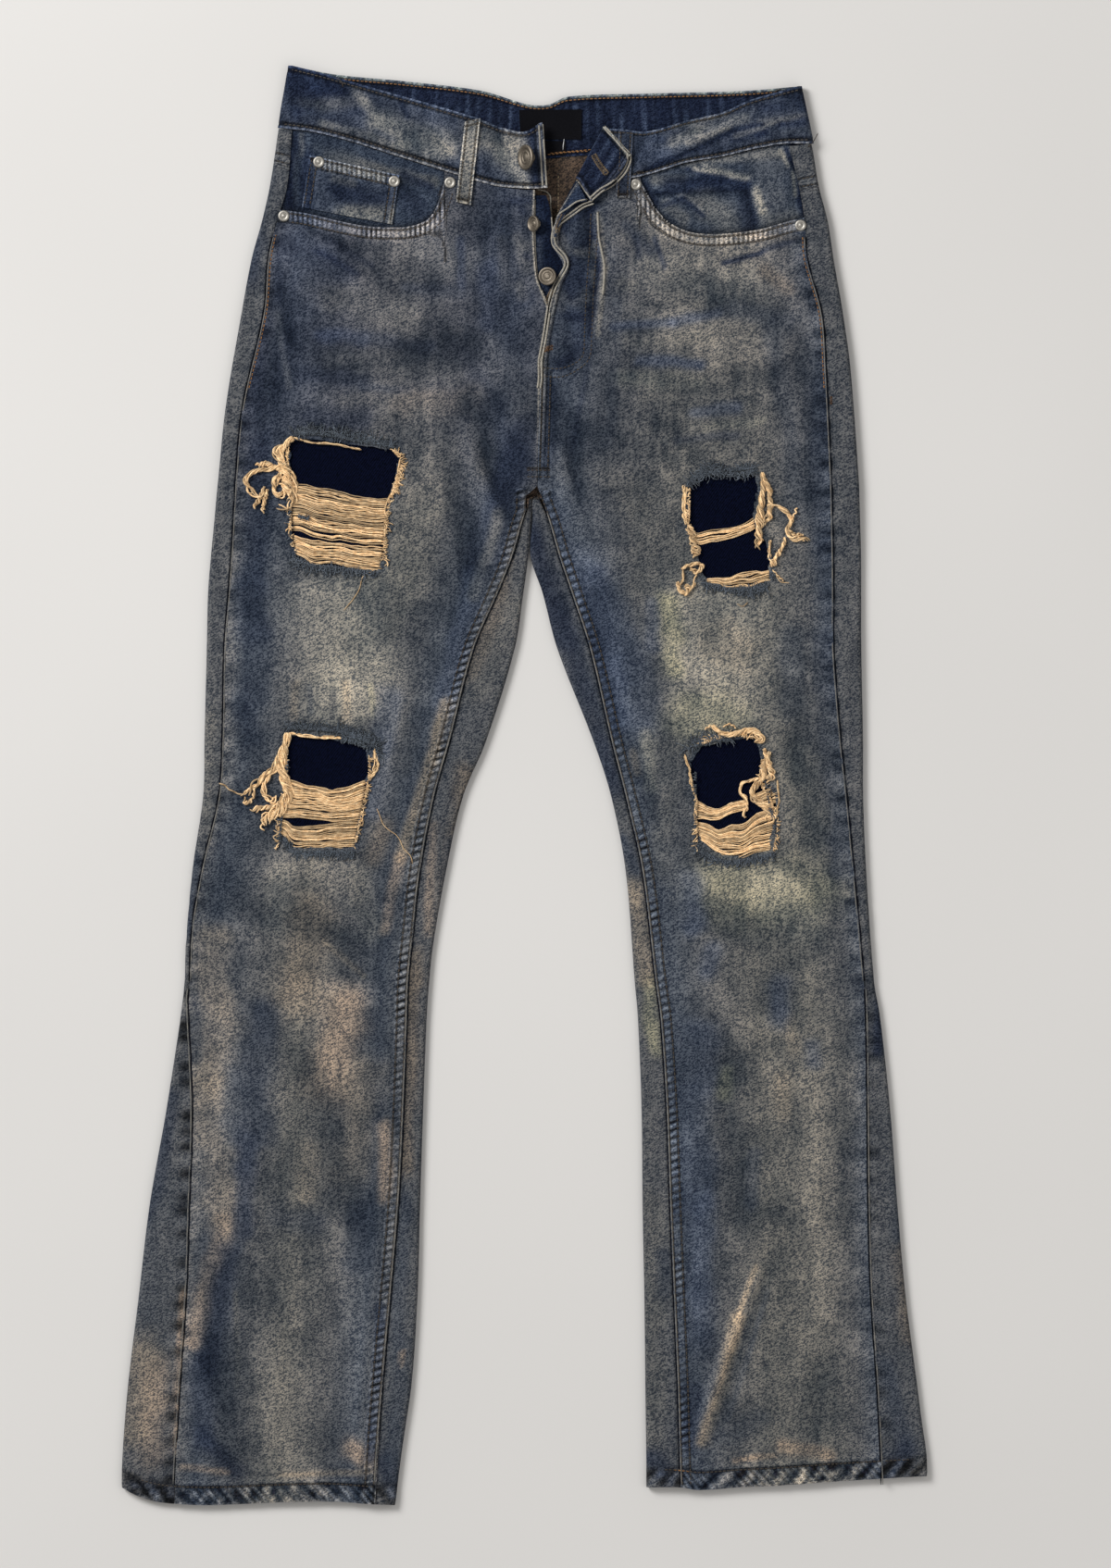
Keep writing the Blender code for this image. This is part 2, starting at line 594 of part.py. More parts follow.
def make_labels():
    over_back = BAND + GAP + LABEL / 2
    add_patch("label_main", LABEL_MAIN, over_back, "black_label", LABEL, base=lambda x, y: lift(y))
    add_patch("label_size", LABEL_SIZE, over_back + GAP, "black_label", LABEL, 2, 2, lambda x, y: lift(y))


# ---- Pockets and fly ------------------------------------------------------------------------------

def make_pocket_facing(side, mouth):
    # the cloth seen in the pocket mouth; it runs on under the mouth's edge
    rows = []
    mouth_end = mouth[-1][0] if side.out < 0 else mouth[0][0]
    inner_end = mouth_end - side.out * POCKET_UNDER

    def height(x, share):
        high = follow(FRONT_WAIST, x) - GAP
        low = min(follow(mouth, x), high) - POCKET_UNDER
        return lerp(low, high, share)

    for share in spread(0, 1, 5):
        outer_end = side.edge("outseam", height(side.out * SIDE_X, share))
        points = [(x, height(x, share)) for x in spread(outer_end, inner_end, 9)]
        rows.append([(x, y, upper(x, y) - PLY) for x, y in points])
    add_wall(f"pocket_facing_{side.name}", rows, "dark_denim")


def make_pockets():
    make_pocket_facing(right, RIGHT_MOUTH)
    make_pocket_facing(left, LEFT_MOUTH)
    add_patch("coin_pocket", COIN_POCKET, 0.0, "denim", across=6)
    for side in (right, left):
        middle, top = BACK_POCKETS[side.name]
        rows = []
        for share in spread(0, 1, 3):
            row = []
            for u in spread(-1, 1, 5):
                point = BACK_POCKET_HIGH + BACK_POCKET_POINT * (1 - abs(u))
                row.append((middle + u * BACK_POCKET_HALF, top - point * share, CLOTH / 2))
            rows.append(row)
        add_wall(f"back_pocket_{side.name}", rows, "denim")


def make_fly():
    rows = []
    for y in (FLY_SHIELD_LOW, 353, 372, 390, 408, 424, 440, 452):
        depth = PLY + FLY_CLEAR + (FLY_DROP - FLY_CLEAR) * (1 - blend(355, 385, y))
        xs = spread(-16.0, follow(FLY_SHIELD_EDGE, y), 8)
        rows.append([(x, y, upper(x, y) - depth) for x in xs])
    add_wall("fly_shield", rows, "dark_denim")
    rows = []
    for share in spread(0, 1, 6):
        y_in, y_out = lerp(420, 462, share), lerp(420, 447.6, share)
        start, end = follow(FLY_FACING_INNER, y_in), follow(FLY_FACING_OUTER, y_out)
        points = [(lerp(start, end, u), lerp(y_in, y_out, u)) for u in (0, 0.5, 1)]
        rows.append([(x, y, upper(x, y) + PLY + FLY_CLEAR) for x, y in points])
    add_wall("fly_facing", rows, "denim")


# ---- Rips -----------------------------------------------------------------------------------------

def make_rips():
    for rip, rows in RIPS.items():
        low = min(row.y for row in rows) - PATCH_MARGIN
        high = max(row.y for row in rows) + PATCH_MARGIN
        start = min(row.left for row in rows) - PATCH_MARGIN
        end = max(row.right for row in rows) + PATCH_MARGIN
        corners = Patch((start, low), (end, low), (start, high), (end, high))
        add_patch(f"rip_patch_{rip}", corners, -PLY - PATCH_CLEAR, "dark_denim")
    for weft in WEFTS:
        add_wall(f"rip_weft_{weft.rip}_{weft.level}", weft_rows(weft), "weft", CLOTH * 0.6)
    for number, corners in enumerate(TUFTS, 1):
        add_patch(f"rip_tuft_{number}", corners, CLOTH / 2 + GAP + TUFT / 2, "weft", TUFT, 3, 3)


def opening_edge(rip, name, y):
    # x of an opening's straight-sided outline at y
    rows = sorted(RIPS[rip])
    index = next(i for i in range(len(rows) - 1) if y <= rows[i + 1].y)
    low, high = rows[index], rows[index + 1]
    return lerp(getattr(low, name), getattr(high, name), (y - low.y) / (high.y - low.y))


def weft_rows(weft):
    rows = []
    for share in spread(0, 1, 7):
        left_y = lerp(weft.left_low, weft.left_top, share)
        right_y = lerp(weft.right_low, weft.right_top, share)
        start = opening_edge(weft.rip, "left", left_y) + 3 * GAP
        end = opening_edge(weft.rip, "right", right_y) - 3 * GAP
        points = [(lerp(start, end, u), lerp(left_y, right_y, u)) for u in spread(0, 1, 5)]
        rows.append([(x, y, upper(x, y)) for x, y in points])
    return rows


# ---- Buttons and rivets ---------------------------------------------------------------------------

def add_turned(name, profile, look):
    # profile of (radius, height) pairs from the top of the axis, down the outer side, back to the axis
    mesh = bpy.data.meshes.new(name)
    edges = [(i, i + 1) for i in range(len(profile) - 1)]
    mesh.from_pydata([(radius * MM, 0.0, height * MM) for radius, height in profile], edges, [])
    piece = add_piece(name, mesh, look)
    turned = piece.modifiers.new("Turned", "SCREW")
    turned.steps = ROUND
    turned.render_steps = ROUND
    turned.use_merge_vertices = True
    turned.merge_threshold = 0.00001
    turned.use_smooth_shade = True
    return piece


def button_profile(button):
    low, high, radius = 0.0, button.shank + button.head, button.radius
    return ((0, high - 0.5), (radius * 0.72, high - 0.5), (radius * 0.86, high), (radius * 0.97, high - 0.4),
            (radius, high - 1.1), (radius * 0.92, button.shank), (2.6, button.shank), (2.6, low), (0, low))


def make_buttons():
    for button in BUTTONS:
        piece = add_turned(button.name, button_profile(button), "metal")
        lean = math.radians(button.lean)
        if button.name == "waist_button":
            ground = upper(button.x, button.y) + FRONT_BAND + BAND / 2
        else:
            ground = upper(button.x, button.y) - PLY - FLY_CLEAR + CLOTH / 2
        foot = Vector((button.x, button.y, ground + GAP + 2.6 * math.sin(lean)))
        piece.matrix_world = Matrix.Translation(foot * MM) @ Matrix.Rotation(-lean, 4, "Y")
    x, y, radius, high = HIDDEN_BUTTON
    profile = ((0, high), (radius * 0.9, high), (radius, high / 2), (radius, 0), (0, 0))
    hidden = add_turned("fly_button_3", profile, "metal")
    hidden.location = Vector((x, y, upper(x, y) - PLY - FLY_DROP + CLOTH / 2 + 1.6 * GAP)) * MM


def make_rivets():
    radius, high = RIVET_RADIUS, RIVET_HIGH
    profile = ((0, high), (radius * 0.3, high), (radius * 0.42, high * 0.6), (radius * 0.8, high * 0.75),
               (radius, high * 0.3), (radius, 0), (0, 0))
    for number, (x, y) in enumerate(RIVETS, 1):
        rivet = add_turned(f"rivet_{number}", profile, "metal")
        rivet.location = Vector((x, y, upper(x, y) + CLOTH / 2 + GAP)) * MM


clear_scene()
jeans = add_collection("ripped_jeans")
cutters = add_collection("cutters")
right = Side("right", -1, RIGHT_LEG, RIGHT_HEM, RIGHT_FLY_EDGE)
left = Side("left", 1, LEFT_LEG, LEFT_HEM, LEFT_FLY_EDGE)
make_fronts()
make_backs()
make_waistband()
make_loops()
make_labels()
make_pockets()
make_fly()
make_rips()
make_buttons()
make_rivets()
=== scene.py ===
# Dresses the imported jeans: every cloth piece gets a fine shell with its creases, fades, weave and stitching.
import math

import bpy
import numpy as np
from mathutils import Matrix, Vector
from mathutils.bvhtree import BVHTree


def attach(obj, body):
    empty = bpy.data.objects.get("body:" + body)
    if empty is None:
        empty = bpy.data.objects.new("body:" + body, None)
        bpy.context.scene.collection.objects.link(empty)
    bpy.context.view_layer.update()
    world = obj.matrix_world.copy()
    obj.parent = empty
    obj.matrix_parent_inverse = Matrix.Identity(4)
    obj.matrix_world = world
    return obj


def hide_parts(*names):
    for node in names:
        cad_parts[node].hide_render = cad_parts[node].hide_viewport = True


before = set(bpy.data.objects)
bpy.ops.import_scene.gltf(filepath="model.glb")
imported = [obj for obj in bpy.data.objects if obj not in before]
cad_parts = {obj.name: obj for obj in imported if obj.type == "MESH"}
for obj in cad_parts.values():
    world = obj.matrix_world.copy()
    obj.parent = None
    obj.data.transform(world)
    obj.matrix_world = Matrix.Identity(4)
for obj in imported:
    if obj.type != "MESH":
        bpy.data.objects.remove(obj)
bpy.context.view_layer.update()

mm = 0.001

# Sizes in millimetres, in the frame of the solids: x to the wearer's left, y to the waist, z up.
garment = {
    "cloth": 1.2, "band": 2.4, "gap": 0.3, "top": 5.4, "hipLift": 1.5, "hipFrom": 150.0, "hipTo": 235.0,
    "frontBand": 0.3, "levelTop": 222.0, "crotchTop": 228.5, "hem": -540.0, "hemBlend": 60.0,
    "hemTall": 14.0,
    "side": 235.0, "flyTop": 450.0, "strip": 3.2, "cell": 2.1, "underCell": 3.4, "turnedEnd": 4.0,
}
cloth = garment["cloth"]
ply = cloth + garment["gap"]

# Each leg from the front at one height: y, outer fold, outseam, inseam, inner fold.
rightLeg = np.array((
    (503, -188.5, -178, 8, 8), (460, -195, -182, 8, 8), (432, -201.3, -190, 8, 8), (404, -209, -196.3, 8, 8),
    (361, -217, -200, 8, 8), (290, -229, -216, 8, 8), (232, -235, -221.5, 8, 8), (222, -236, -222, 6.5, 6),
    (205, -237.5, -223, -0.5, 5.6), (176, -240.3, -224.7, -9, 3), (148, -242.5, -226.8, -20.2, -0.8),
    (105, -243.5, -230, -38.7, -7.5), (34, -245.3, -231.5, -57.2, -29.5), (-8, -246.3, -234.2, -69, -47),
    (-65, -254.5, -247.4, -79.9, -60), (-122, -259.5, -257, -86.3, -70), (-150, -260.5, -258.5, -89, -73),
    (-179, -263.8, -257.4, -90, -75), (-250, -274.7, -254.5, -92.7, -77.7),
    (-321, -287.2, -256.7, -96.5, -80), (-392, -295.7, -259.2, -102.6, -82),
    (-463, -304.2, -264.2, -109, -87), (-519, -308.3, -267.5, -113.2, -96.2),
    (-552, -308.3, -268.8, -115, -101)))
leftLeg = np.array((
    (503, 216, 200, 12, 12), (489, 220.5, 203.4, 12, 12), (460, 225.4, 210.5, 12, 12),
    (432, 232.5, 214.8, 12, 12), (404, 236.8, 216.5, 12, 12), (361, 244.2, 228, 12, 12),
    (318, 250, 231.1, 12, 12), (232, 256.4, 235.3, 12, 12), (222, 256.7, 235.6, 11.7, 6.3),
    (205, 257.2, 235.9, 18, 5.9), (176, 258, 236.6, 26.5, 4.6), (148, 258.1, 236.8, 36, 13.8),
    (105, 258.2, 236.9, 50.1, 25.2), (34, 259.5, 242.5, 66.7, 52.9), (-8, 259.6, 247, 77.5, 66.4),
    (-65, 261.9, 252.4, 90.2, 77.5), (-150, 268, 260.2, 100.5, 84.5), (-179, 272.8, 261.6, 104.4, 87),
    (-250, 280.4, 262.6, 109, 89.8), (-321, 285.8, 263.3, 111.6, 90.5), (-392, 292.2, 265.5, 114.5, 91.9),
    (-463, 301.4, 270.2, 117.5, 92.7), (-519, 308, 273, 119, 93.4),
    (-545, 308.5, 274, 120, 93.6)))
legColumns = {"outer": 1, "outseam": 2, "inseam": 3, "inner": 4}

# Lines across the garment as (x, y), and down it as (y, x).
rightHem = ((-308, -538), (-300, -543), (-284, -548.5), (-265, -550.8), (-240, -551.5), (-190, -549.5),
            (-147, -548.8), (-118, -550.8), (-101, -551.5))
leftHem = ((93, -538), (120, -538), (133, -540), (164, -538), (197, -536.4), (230, -534), (270, -531.5),
           (308, -529.3))
frontWaist = ((-188, 503.5), (-176, 502.5), (-153, 499), (-126, 491.3), (-97, 482.1), (-68, 473),
              (-38, 463.6),
              (-18, 458.7), (5, 456.5), (17, 457.2), (40, 463), (70, 463.6), (92, 467.2), (104, 470.7),
              (124, 477),
              (153, 482), (177, 487.8), (199, 491.5), (218, 491.5))
backWaist = ((-186, 503.5), (-152, 499.8), (-95, 493.4), (-36, 487.8), (1.4, 482.1), (18.5, 480.7),
             (33, 482.1),
             (97, 484.9), (169, 487.8), (217, 491.5))
yokeSeam = ((-191, 477), (-80, 448), (27, 420), (120, 439), (223, 459))
centreBack = ((222, 9.5), (335, 17), (438, 24), (500, 27.5))
rightFly = ((228, 9.4), (282, 11), (317, 12.1), (337, 13.4), (356, 16.6), (366, 18), (376, 15), (386, 10.3),
            (396, 8.6), (424, 7.1), (457, 8))
leftFly = ((228, 9.9), (282, 11.5), (317, 12.6), (337, 14), (356, 17.2), (366, 19.2), (376, 21.5),
           (386, 24.4),
           (394, 28.4), (400, 29.8), (406, 27), (413, 22.9), (420, 21.5), (429, 22.7), (440, 26.5),
           (451, 33),
           (463, 39.8))
rightMouth = ((-200, 441.5), (-186, 440.8), (-168, 438.5), (-150, 434.3), (-132, 430.3), (-118, 428.1),
              (-104, 427.4), (-90, 428), (-79, 431), (-71.7, 436), (-66.7, 445), (-63.2, 456),
              (-61.1, 466.5),
              (-60, 480))
leftMouth = ((86, 478), (88.8, 464.3), (93, 455.8), (98.7, 445.2), (105.8, 436), (115, 428.8), (127, 424),
             (141, 422.4), (159, 423.2), (180, 426), (198, 431), (214.4, 435.2), (232, 438))

# Large soft folds: x0, y0, x1, y1, reach each side, height. The first ones are the solids' own.
folds = (
    (-14, 205, 1, 290, 15, 2.4), (12, 240, 13, 330, 12, 1.6), (13, 505, 17, 425, 15, 6.0),
    (26, 390, 40, 462, 20, 2.4), (-200, 345, -105, 318, 30, 1.4), (70, 330, 205, 372, 30, 1.4),
    (-215, 95, -110, 118, 34, 1.4),
    (110, 70, 230, 92, 34, 1.4), (-232, -300, -170, -480, 32, 1.6), (180, -330, 132, -500, 32, 1.6))

# Creases laid one by one: x0, y0, x1, y1, reach, height; a trough has a height below zero.
creases = (
    (-178, 425, -140, 395, 5, 1.2), (-170, 430, -128, 405, 4, -0.8), (-160, 415, -120, 372, 6, 0.9),
    (-186, 398, -150, 360, 6, 1.0), (-192, 380, -176, 330, 5, -0.9), (-120, 415, -60, 398, 8, 0.8),
    (-140, 350, -40, 372, 9, 0.8), (-110, 330, -20, 345, 8, -0.7), (-95, 300, -12, 322, 9, 0.7),
    (-170, 300, -60, 292, 10, 0.6), (-28, 420, -8, 380, 7, 1.1), (-40, 440, -22, 392, 6, -0.8),
    (-30, 262, -8, 205, 6, -2.2), (-46, 270, -22, 190, 8, 1.5), (-62, 250, -40, 150, 9, -1.0),
    (28, 300, 40, 225, 6, -1.0), (22, 250, 45, 170, 7, 1.2), (54, 441, 61.5, 396, 3, 1.5),
    (61.5, 396, 54.5, 345, 3, 1.4), (49.5, 441, 57, 396, 3, -1.1), (57, 396, 50, 345, 3, -1.1),
    (66, 452, 74, 400, 6, 0.7), (98, 405, 170, 388, 9, 0.8), (110, 380, 200, 366, 8, -0.6),
    (90, 352, 190, 330, 9, 0.8), (120, 300, 210, 318, 10, -0.6), (140, 410, 205, 402, 7, 0.8),
    (196, 400, 222, 340, 6, 0.9), (-170, 130, -110, 60, 12, 0.8), (-215, 60, -190, -40, 9, -0.8),
    (-205, -60, -120, -75, 10, 0.9), (-215, -90, -130, -120, 11, -0.8), (-200, -150, -110, -170, 12, 0.8),
    (-180, -190, -120, -330, 12, -0.8), (-230, -180, -210, -330, 10, 1.0), (-140, -340, -120, -500, 10, 0.9),
    (-250, -360, -225, -520, 9, -0.8), (-205, -420, -180, -530, 12, 0.7), (110, 120, 160, 60, 12, 0.8),
    (205, 60, 225, -40, 9, -0.8), (125, -70, 210, -85, 10, 0.9), (130, -105, 230, -120, 12, -0.8),
    (120, -150, 200, -190, 12, 0.8), (178, -375, 130, -505, 4.5, 1.4), (186, -372, 140, -508, 6, -0.7),
    (150, -200, 170, -330, 12, -0.7), (215, -230, 235, -400, 10, 0.9), (240, -420, 220, -520, 10, -0.7),
    (-92, 80, -110, -20, 7, 0.9),
    (70, 100, 95, 10, 7, 0.9), (80, 60, 102, -30, 6, -0.8))


# Curves and heights.

def blend(low, high, at):
    t = np.clip((np.asarray(at, float) - low) / (high - low), 0, 1)
    return t * t * (3 - 2 * t)


def follow(line, at):
    # smooth curve through (place, value) pairs, level past its ends; the same one as in the solids
    pairs = np.array(sorted(tuple(pair) for pair in line), float)
    place, value = pairs[:, 0], pairs[:, 1]
    at = np.clip(np.asarray(at, float), place[0], place[-1])
    index = np.clip(np.searchsorted(place, at, side="left") - 1, 0, len(place) - 2)
    before = np.maximum(np.arange(len(place)) - 1, 0)
    after = np.minimum(np.arange(len(place)) + 1, len(place) - 1)
    slope = (value[after] - value[before]) / (place[after] - place[before])
    span = place[index + 1] - place[index]
    t = (at - place[index]) / span
    base = (1 + 2 * t) * (1 - t) ** 2 * value[index] + t * t * (3 - 2 * t) * value[index + 1]
    return base + span * (t * (1 - t) ** 2 * slope[index] - t * t * (1 - t) * slope[index + 1])


def hump(away, reach):
    # 1 on a line, falling softly to nothing at about twice the reach
    return np.exp(-((away / reach) ** 2))


def runLength(line):
    # how far along a line each of its points lies
    return np.concatenate([[0], np.cumsum(np.linalg.norm(np.diff(line, axis=0), axis=1))])


def pointsAt(line, at):
    # the points of a line of (x, y) at lengths along it
    return np.stack([np.interp(at, runLength(line), line[:, i]) for i in range(2)], -1)


def sideways(line):
    # unit steps to the left of a line of (x, y) points
    run = np.gradient(np.asarray(line, float), axis=0)
    run /= np.maximum(np.linalg.norm(run, axis=1, keepdims=True), 1e-9)
    return np.stack([-run[:, 1], run[:, 0]], -1)


def strokeDistance(stroke, x, y):
    # distance from a straight stroke, and how far along it, 0 to 1
    x0, y0, x1, y1 = stroke[:4]
    runX, runY = x1 - x0, y1 - y0
    along = ((x - x0) * runX + (y - y0) * runY) / max(runX ** 2 + runY ** 2, 1e-6)
    held = np.clip(along, 0, 1)
    return np.hypot(x - x0 - held * runX, y - y0 - held * runY), held


def softNoise(x, y, size, seed):
    # smooth random field of about -1 to 1 with features of one size
    lattice = np.random.default_rng(seed).uniform(-1, 1, (64, 64))
    u, v = np.asarray(x) / size + 1000.5, np.asarray(y) / size + 1000.5
    i, j = np.floor(u).astype(int), np.floor(v).astype(int)
    fu, fv = u - i, v - j
    fu, fv = fu * fu * (3 - 2 * fu), fv * fv * (3 - 2 * fv)
    i0, j0, i1, j1 = i % 64, j % 64, (i + 1) % 64, (j + 1) % 64
    low = lattice[i0, j0] * (1 - fu) + lattice[i1, j0] * fu
    high = lattice[i0, j1] * (1 - fu) + lattice[i1, j1] * fu
    return low * (1 - fv) + high * fv


def lift(y):
    return garment["hipLift"] * blend(garment["hipFrom"], garment["hipTo"], y)


def foldHeight(x, y):
    total = np.zeros(np.broadcast(x, y).shape)
    for fold in folds:
        away, _ = strokeDistance(fold, x, y)
        total += fold[5] * hump(away, fold[4])
    return total


def creaseHeight(x, y):
    total = np.zeros(np.broadcast(x, y).shape)
    for crease in creases:
        bend = softNoise(x, y, 38.0, 11) * crease[4] * 0.7
        away, along = strokeDistance(crease, x + bend, y + bend)
        fade = np.sin(math.pi * np.clip(along * 0.9 + 0.05, 0, 1)) ** 0.5
        total += 1.5 * crease[5] * fade * hump(away, crease[4])
    return total + 0.45 * softNoise(x, y, 26, 3) + 0.26 * softNoise(x, y, 10, 4) + 0.12 * softNoise(x, y, 5,
            5)


def upper(x, y):
    # middle of the upper cloth layer, as in the solids
    return garment["top"] + lift(y) + foldHeight(x, y)


def spread(start, end, count):
    return start + (end - start) * np.linspace(0, 1, count)


def stepsFor(length, cell):
    return max(2, int(round(abs(length) / cell)) + 1)


# One side of the garment.

class Side:
    def __init__(self, name, out, leg, hem, fly, mouth):
        self.name, self.out, self.leg, self.hem, self.fly, self.mouth = name, out, leg, hem, fly, mouth

    def edge(self, name, y):
        return follow(self.leg[:, (0, legColumns[name])], y)

    def level(self, x, y):
        near = 1 - blend(garment["hem"], garment["hem"] + garment["hemBlend"], y)
        return y + near * (follow(self.hem, x) - garment["hem"])

    def seamLine(self, seam, fold, y, out):
        turn = self.edge(fold, y) - out * cloth / 2
        return turn - out * np.maximum((turn - self.edge(seam, y)) * out, garment["strip"])

    def outseam(self, y):
        return self.seamLine("outseam", "outer", y, self.out)

    def inseam(self, y):
        return self.seamLine("inseam", "inner", y, -self.out)

    def fanned(self, seam, step, x):
        return garment["levelTop"] + step * (follow(seam, x) - garment["levelTop"])


right = Side("right", -1, rightLeg, rightHem, rightFly, rightMouth)
left = Side("left", 1, leftLeg, leftHem, leftFly, leftMouth)
sides = (right, left)


# Meshes.

def screenColour(code):
    # sRGB hex as three values from 0 to 1
    return np.array([int(code[i:i + 2], 16) / 255 for i in (1, 3, 5)])


def dyed(x, code):
    # one sRGB colour at every point of a grid
    return np.ones(x.shape + (3,)) * screenColour(code)


def over(colour, tone, share):
    # one colour laid over another
    return colour * (1 - share) + tone * share


def toLinear(values):
    # the one place where sRGB becomes linear
    values = np.clip(values, 0.001, 1)
    return np.where(values <= 0.04045, values / 12.92, ((values + 0.055) / 1.055) ** 2.4)


def addMesh(name, points, faces, material, wash=None, sharp=50, seam=None):
    # points in millimetres; faces as one or more arrays of equal-sided polygons
    groups = [np.asarray(group) for group in (faces if isinstance(faces, list) else [faces])]
    loops = np.concatenate([group.reshape(-1) for group in groups])
    sizes = np.concatenate([np.full(len(group), group.shape[1]) for group in groups])
    used, loops = np.unique(loops, return_inverse=True)
    points = np.asarray(points, float)[used]
    mesh = bpy.data.meshes.new(name)
    mesh.vertices.add(len(points))
    mesh.vertices.foreach_set("co", (points * mm).astype(np.float32).reshape(-1))
    mesh.loops.add(len(loops))
    mesh.loops.foreach_set("vertex_index", loops.astype(np.int32).reshape(-1))
    mesh.polygons.add(len(sizes))
    mesh.polygons.foreach_set("loop_start", np.concatenate([[0], np.cumsum(sizes)[:-1]]).astype(np.int32))
    mesh.update(calc_edges=True)
    mesh.validate()
    mesh.polygons.foreach_set("use_smooth", np.ones(len(mesh.polygons), bool))
    if sharp:
        mesh.set_sharp_from_angle(angle=math.radians(sharp))
    for label, values in (("wash", wash), ("seam", seam)):
        if values is not None:
            layer = mesh.attributes.new(label, "FLOAT_COLOR", "POINT")
            colour = np.ones((len(points), 4), np.float32)
            colour[:, :3] = np.asarray(values)[used]
            layer.data.foreach_set("color", colour.reshape(-1))
    mesh.materials.append(material)
    piece = bpy.data.objects.new(name, mesh)
    bpy.context.scene.collection.objects.link(piece)
    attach(piece, "root")
    return piece


def standFor(node):
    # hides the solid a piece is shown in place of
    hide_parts(node)


def gridNormals(points):
    across, along = np.gradient(points, axis=1), np.gradient(points, axis=0)
    normal = np.cross(across, along)
    return normal / np.maximum(np.linalg.norm(normal, axis=-1, keepdims=True), 1e-9)


def gridFaces(rows, columns):
    index = np.arange(rows * columns).reshape(rows, columns)
    return np.stack([index[:-1, :-1], index[:-1, 1:], index[1:, 1:], index[1:, :-1]], -1).reshape(-1, 4)


surfaces = []          # outer faces of the cloth, for laying stitches and threads on it


def addCloth(name, middle, thickness, material, wash, insideWash=None, flip=False, hole=None, inside=False,
             seam=None):
    # cloth about the grid of points `middle`; its wash is a colour per grid point
    rows, columns = middle.shape[:2]
    normal = gridNormals(middle) * (-1 if flip else 1)
    outer = (middle + normal * thickness / 2).reshape(-1, 3)
    inner = (middle - normal * thickness / 2).reshape(-1, 3)
    faces = gridFaces(rows, columns)
    if flip:
        faces = faces[:, ::-1]
    if hole is not None:
        centre = outer[faces].mean(axis=1)
        faces = faces[~hole(centre[:, 0], centre[:, 1])]
    edges = np.concatenate([faces[:, [i, (i + 1) % 4]] for i in range(4)])
    _, first, uses = np.unique(np.sort(edges, axis=1), axis=0, return_index=True, return_counts=True)
    rim = edges[first[uses == 1]]
    count = rows * columns
    walls = np.stack([rim[:, 1], rim[:, 0], rim[:, 0] + count, rim[:, 1] + count], -1)
    everything = [faces, walls] + ([faces[:, ::-1] + count] if inside else [])
    wash = wash.reshape(-1, 3)
    below = wash * 0.8 if insideWash is None else insideWash.reshape(-1, 3)
    seam = np.zeros_like(wash) + (0, 0, 1) if seam is None else seam.reshape(-1, 3)
    piece = addMesh(name, np.concatenate([outer, inner]), np.concatenate(everything), material,
                    np.concatenate([wash, below]), seam=np.concatenate([seam, seam]))
    surfaces.append((outer, faces))
    if inside:
        surfaces.append((inner, faces))
    return piece


def insidePolygon(polygon, x, y):
    found = np.zeros(x.shape, bool)
    for (x0, y0), (x1, y1) in zip(polygon, np.roll(polygon, -1, axis=0)):
        crosses = (y0 > y) != (y1 > y)
        at = (x1 - x0) * (y - y0) / (y1 - y0 if y1 != y0 else 1e-9) + x0
        found ^= crosses & (x < at)
    return found


def snapTo(polygon, x, y, reach, closed=True):
    # moves grid points that lie near an outline onto it
    best, bestX, bestY = np.full(x.shape, 1e9), x.copy(), y.copy()
    ends = np.roll(polygon, -1, axis=0) if closed else polygon[1:]
    for (x0, y0), (x1, y1) in zip(polygon, ends):
        away, held = strokeDistance((x0, y0, x1, y1), x, y)
        nearer = away < best
        best = np.where(nearer, away, best)
        bestX = np.where(nearer, x0 + held * (x1 - x0), bestX)
        bestY = np.where(nearer, y0 + held * (y1 - y0), bestY)
    near = best < reach
    return np.where(near, bestX, x), np.where(near, bestY, y), best


# The wash: the colour that dyeing, stones, bleach and wear left in the denim.

washes = {
    "navy": "#141c2e", "indigo": "#232b3b", "deep": "#2c3442", "slate": "#3b424d", "steel": "#484b50",
    "grey": "#575858", "pale": "#6d6c67", "green": "#70716a", "olive": "#85846f", "sand": "#857a6c",
    "tan": "#9a8674", "blue": "#3c4659", "fog": "#7a7a76", "brown": "#5e564e",
}

